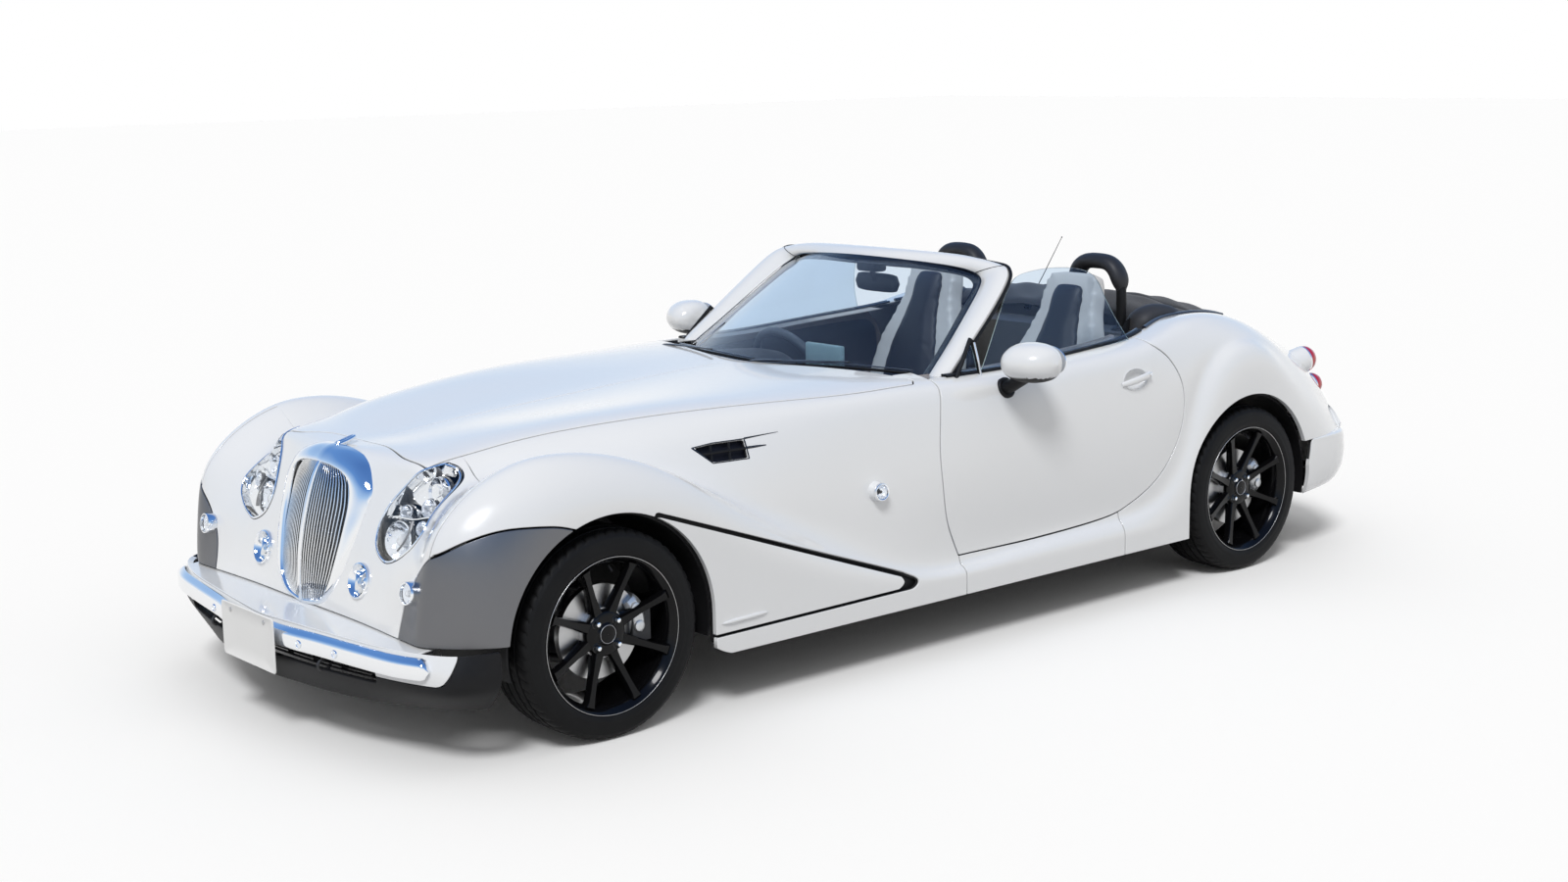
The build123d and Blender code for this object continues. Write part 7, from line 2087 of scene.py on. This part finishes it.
def add_trim_lines():
    """The bonnet's spine, a short ridge on each wing and the aerial."""
    line, _ = body_point(np.linspace(*SPINE_ENDS, 40), 0)
    wide = np.full(len(line), .0042)
    wide[[0, 1, -2, -1]] = .001, .003, .003, .001
    place(swept("hood_spine", line + [0, 0, .0006], wide, PAINT, 12, .42), "hood_panel", "white_paint")
    side = skin_of(GRID, (row_at(.9), row_at(1.3)), (U_CREST, U_FOOT), cell=.012)
    xs, zs = (np.linspace(start, end, len(RIDGE_RADII)) for start, end in zip(*RIDGE_ENDS))
    points, normals = on_surface(side, 1, xs, zs)
    ridge = swept("ridge", points + normals * -.001, RIDGE_RADII, PAINT, 14, .8, (0, 1, 0))
    both_sides("wing_ridge", [ridge], "body", "white_paint")
    foot = ((-.012, .016), (.004, .0155), (.012, .010), (.028, .006), (.034, .0030))
    tip = ((-.003, .0004), (-.001, .0028), (.003, .0028), (.0045, .0004))
    parts = [swept("mast", MAST[1:], np.array([.0022, .0018, .0012]), BLACK, 8),
             turned("mast_foot", foot, BLACK, MAST[0], (-.6, 0, 1), 24),
             turned("mast_tip", tip, BLACK, MAST[-1], (-.6, 0, .8), 12)]
    place(joined("antenna", parts), "body", "black_plastic")


# Tail lamps, (middle, radius), and their sections as (distance out, share of the radius)
TAIL_LAMPS = (((-1.985, .600, .697), .052), ((-2.035, .600, .590), .046))
TAIL_LAMP_AXIS = (-1, .12, .16)
TAIL_POD = ((-.075, .90), (-.030, .99), (.002, 1.03), (.010, 1.035), (.014, 1.02))
TAIL_RING = ((.010, 1.03), (.014, 1.035), (.017, 1.025), (.018, .99), (.012, .94))
TAIL_LENS = ((.012, .975), (.030, .985), (.040, .93), (.048, .72), (.0525, .42), (.0535, .01))
TAIL_LENS_RINGS = (.78, .52, .28)        # raised rings on the lens, at these shares of the radius


def add_tail_lamps():
    pods, lenses = [], []
    for centre, r in TAIL_LAMPS:
        for profile, finish in ((TAIL_POD, PAINT), (TAIL_RING, CHROME)):
            pods.append(turned("pod", [(d, r * share) for d, share in profile], finish, centre,
                               TAIL_LAMP_AXIS, 64))
        bowl = [(.014, r * .95), (.006, r * .86), (.002, r * .55), (.000, .0004)]
        pods.append(turned("bowl", bowl, MIRRORED, centre, TAIL_LAMP_AXIS, 64))
        lens = [(d, r * share) for d, share in TAIL_LENS]
        lenses.append(turned("lens", lens, RED, centre, TAIL_LAMP_AXIS, 64))
        for share in TAIL_LENS_RINGS:
            out = .0435 + (1 - share) ** .6 * .0105
            ring = [(out - .003, r * share + .0025), (out + .0012, r * share + .0012),
                    (out + .0012, r * share - .0012), (out - .002, r * share - .0025)]
            lenses.append(turned("lens_ring", ring, RED, centre, TAIL_LAMP_AXIS, 48))
    both_sides("tail_lamp_pod", pods, "body", "white_paint")
    both_sides("tail_lamp_lens", lenses, "body", "red_lens", "tail_lamps")


REAR_BAR_Z = .385
VALANCE_ROWS = ((.262, .030), (.225, .036), (.190, .060),
                (.178, .110))   # (z, how far it stands in from the bumper)
VALANCE_END_X = -2.03
EXHAUST_END = (-2.254, .300, .236)
EXHAUST_HOLE = .042                      # radius of the cut-out round a tip
EXHAUST_TIP = ((-.110, .0325), (-.020, .0345), (.008, .0355), (.0125, .0345), (.0115, .0320), (-.050, .0300),
               (-.100, .0290))           # (distance back, radius)


def outside_exhaust(s):
    _, y, z = EXHAUST_END
    return np.hypot(np.abs(s.p[:, 1]) - y, s.p[:, 2] - z) - EXHAUST_HOLE


def add_rear_bumper():
    grid = full(np.array([[(x, y, z) for x, y in along_arc(row, 11)] for z, row in REAR_WRAP]))
    skin = skin_of(grid, cell=.018)
    skin = facing(skin, skin.p - [-1.5, 0, .36])
    skin = trimmed(skin, off_arch(REAR_AXLE), outside_exhaust)
    place(panel("rear_bumper_skin", skin, BODY, depth=.014, bright=near_arch), "body", "white_paint",
          "tail_panel")
    place(chrome_bar("rear_chrome_bar", REAR_BAR, REAR_BAR_Z, -1), "body", "chrome")
    rows = []
    for z, back in VALANCE_ROWS:
        line = along_arc([(x + back, y) for x, y in REAR_WRAP[1][1]], 11)
        rows.append([(x, y * .985, z) for x, y in line])
    skin = skin_of(full(np.array(rows)), cell=.02)
    skin = facing(skin, skin.p - [-1.5, 0, .30])
    skin = trimmed(skin, off_arch(REAR_AXLE), lambda s: VALANCE_END_X - s.p[:, 0], outside_exhaust)
    place(panel("rear_valance_skin", skin, plain(BLACK), depth=.006), "body", "black_plastic")
    x, y, z = EXHAUST_END
    tips = [turned("tip", EXHAUST_TIP, CHROME, (x, side * y, z), (-1, 0, 0)) for side, _ in SIDES]
    place(joined("exhaust_tips", tips), "body", "exhaust_steel")
    parts = [slab("plate_lamp", (-2.135, -.105, .560), (-2.098, .105, .578), CHROME, .006)]
    for y in (-.06, .06):
        parts.append(slab("plate_lamp_glass", (-2.130, y - .022, .5575), (-2.106, y + .022, .5610),
                          PALE_GLASS, .001))
    place(joined("plate_lamps", parts), "body", "chrome")


# ---------------------------------------------------------------- studio
def aim(obj, back, roll=0.0):
    """Turns a lamp or the camera so that its back points along a direction."""
    back = Vector(back).normalized()
    right = Vector((0, 0, 1)).cross(back).normalized()
    up = back.cross(right)
    c, s = math.cos(roll), math.sin(roll)
    turned_right, turned_up = right * c + up * s, up * c - right * s
    matrix = Matrix((turned_right, turned_up, back)).transposed().to_4x4()
    matrix.translation = obj.location
    obj.matrix_world = matrix


CAMERA_AT = (4.935, 5.602, 1.933)
CAMERA_AZIMUTH, CAMERA_ELEVATION, CAMERA_ROLL = (math.radians(a) for a in (49.77, 10.423, -1.018))
CAMERA_LENS, CAMERA_SENSOR = 48.43, 36   # millimetres
CAMERA_REACH = 200


def add_camera():
    data = bpy.data.cameras.new("camera")
    data.sensor_width, data.lens, data.clip_end = CAMERA_SENSOR, CAMERA_LENS, CAMERA_REACH
    camera = bpy.data.objects.new("camera", data)
    bpy.context.scene.collection.objects.link(camera)
    camera.location = CAMERA_AT
    level = math.cos(CAMERA_ELEVATION)
    back = (math.cos(CAMERA_AZIMUTH) * level, math.sin(CAMERA_AZIMUTH) * level, math.sin(CAMERA_ELEVATION))
    aim(camera, back, CAMERA_ROLL)
    bpy.context.scene.camera = camera


def ray_mix(tree, kinds, other, seen):
    """Two shaders of a tree mixed: the second one for rays of the given kinds."""
    nodes, links = tree.nodes, tree.links
    path = nodes.new("ShaderNodeLightPath")
    total = path.outputs[f"Is {kinds[0]} Ray"]
    for kind in kinds[1:]:
        most = nodes.new("ShaderNodeMath")
        most.operation = "MAXIMUM"
        links.new(total, most.inputs[0])
        links.new(path.outputs[f"Is {kind} Ray"], most.inputs[1])
        total = most.outputs[0]
    mix = nodes.new("ShaderNodeMixShader")
    for socket, source in enumerate((total, other, seen)):
        links.new(source, mix.inputs[socket])
    return mix.outputs[0]


FLOOR_HALF = 60
FLOOR_BOUNCE, FLOOR_SEEN = (.40, .40, .41, 1), (.97, .97, .97, 1)


def add_floor():
    """A pale floor, white to the camera with the object's shadow, darker for the light thrown back."""
    corners = [(FLOOR_HALF * x, FLOOR_HALF * y, 0) for x, y in ((-1, -1), (1, -1), (1, 1), (-1, 1))]
    add_mesh("studio_floor", corners, [[0, 1, 2, 3]], FLOOR)
    tree = FLOOR.node_tree
    shaders = []
    for colour in (FLOOR_BOUNCE, FLOOR_SEEN):
        shader = tree.nodes.new("ShaderNodeBsdfDiffuse")
        shader.inputs["Color"].default_value = colour
        shaders.append(shader.outputs[0])
    surface = ray_mix(tree, ("Camera", "Glossy", "Transmission"), *shaders)
    tree.links.new(surface, tree.nodes["Material Output"].inputs["Surface"])


# The sky that metal and glass reflect: (height, colour) from the pale horizon up
SKY = ((0.0, (1, 1, 1)), (.08, (.93, .96, 1)), (.30, (.42, .62, .92)), (.60, (.13, .30, .68)),
       (1.0, (.08, .20, .52)))
WHITE = (1, 1, 1, 1)
WORLD_LIGHT, SUN_LIGHT = 0.58, 1.75
SUN_FROM = (.50, .44, .80)
SUN_ANGLE = math.radians(16)             # a wide lamp, for a soft shadow


def add_world():
    """Even light all round; metal and glass see a pale horizon under a blue sky."""
    world = bpy.data.worlds.new("studio_world")
    bpy.context.scene.world = world
    world.use_nodes = True
    tree = world.node_tree
    nodes, links = tree.nodes, tree.links
    nodes.clear()
    soft, plain_, sky = (nodes.new("ShaderNodeBackground") for _ in range(3))
    for shader, strength in ((soft, WORLD_LIGHT), (plain_, 1.0)):
        shader.inputs["Color"].default_value = WHITE
        shader.inputs["Strength"].default_value = strength
    ramp = nodes.new("ShaderNodeValToRGB")
    while len(ramp.color_ramp.elements) < len(SKY):
        ramp.color_ramp.elements.new(.5)
    for element, (height, colour) in zip(ramp.color_ramp.elements, SKY):
        element.position, element.color = height, (*colour, 1)
    up = nodes.new("ShaderNodeSeparateXYZ")
    links.new(nodes.new("ShaderNodeTexCoord").outputs["Generated"], up.inputs[0])
    links.new(up.outputs["Z"], ramp.inputs[0])
    links.new(ramp.outputs[0], sky.inputs["Color"])
    lit = ray_mix(tree, ("Glossy",), soft.outputs[0], sky.outputs[0])
    surface = ray_mix(tree, ("Camera", "Transmission"), lit, plain_.outputs[0])
    links.new(surface, nodes.new("ShaderNodeOutputWorld").inputs["Surface"])


def add_studio():
    bpy.context.scene.view_settings.view_transform = "Standard"
    add_floor()
    add_world()
    data = bpy.data.lights.new("soft_sun", "SUN")
    data.energy, data.angle = SUN_LIGHT, SUN_ANGLE
    lamp = bpy.data.objects.new("soft_sun", data)
    bpy.context.scene.collection.objects.link(lamp)
    aim(lamp, SUN_FROM)


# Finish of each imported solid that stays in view; a left and a right one share an entry
CAD_FINISH = {
    "tub": UNDER, "front_frame": UNDER, "boot_box": UNDER, "front_wheel_liners": BLACK,
    "rear_wheel_liners": BLACK,
    "engine": ALLOY, "radiator": IRON, "driveline": IRON, "exhaust": PIPE, "front_suspension": IRON,
    "rear_suspension": IRON, "knuckle": IRON, "disc_front": STEEL, "disc_rear": STEEL,
}


def finish_cad_nodes():
    """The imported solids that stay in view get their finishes."""
    for name, node in NODES.items():
        base = name.removesuffix("_left").removesuffix("_right")
        if base in CAD_FINISH:
            node.data.materials.clear()
            node.data.materials.append(CAD_FINISH[base])


def main():
    add_camera()
    finish_cad_nodes()
    add_hood()
    add_boot_lid()
    add_fascia()
    add_fenders()
    add_doors()
    add_skirts()
    add_quarters()
    add_tail()
    nose = skin_of(GRID, (V_NOSE - 1.5, V_END), (1, U_FOOT), cell=0.006)
    add_grille()
    add_ornament()
    add_headlamps(nose)
    add_round_lamps(nose)
    add_front_bumper()
    add_bumper_shelf()
    add_front_bar()
    add_intake()
    add_plates()
    add_wheels()
    add_screen()
    add_screen_glass()
    add_interior_mirror()
    add_cowl()
    add_wipers()
    add_door_glass()
    add_cabin_seal()
    add_mirrors()
    add_handles()
    add_seats()
    add_seat_bases()
    add_steering()
    add_dash()
    add_console()
    add_door_trims()
    add_hoops()
    add_soft_top()
    add_top_bows()
    add_belts()
    add_tub_floor()
    add_vent()
    add_side_markers()
    add_trim_lines()
    add_tail_lamps()
    add_rear_bumper()
    add_studio()


main()
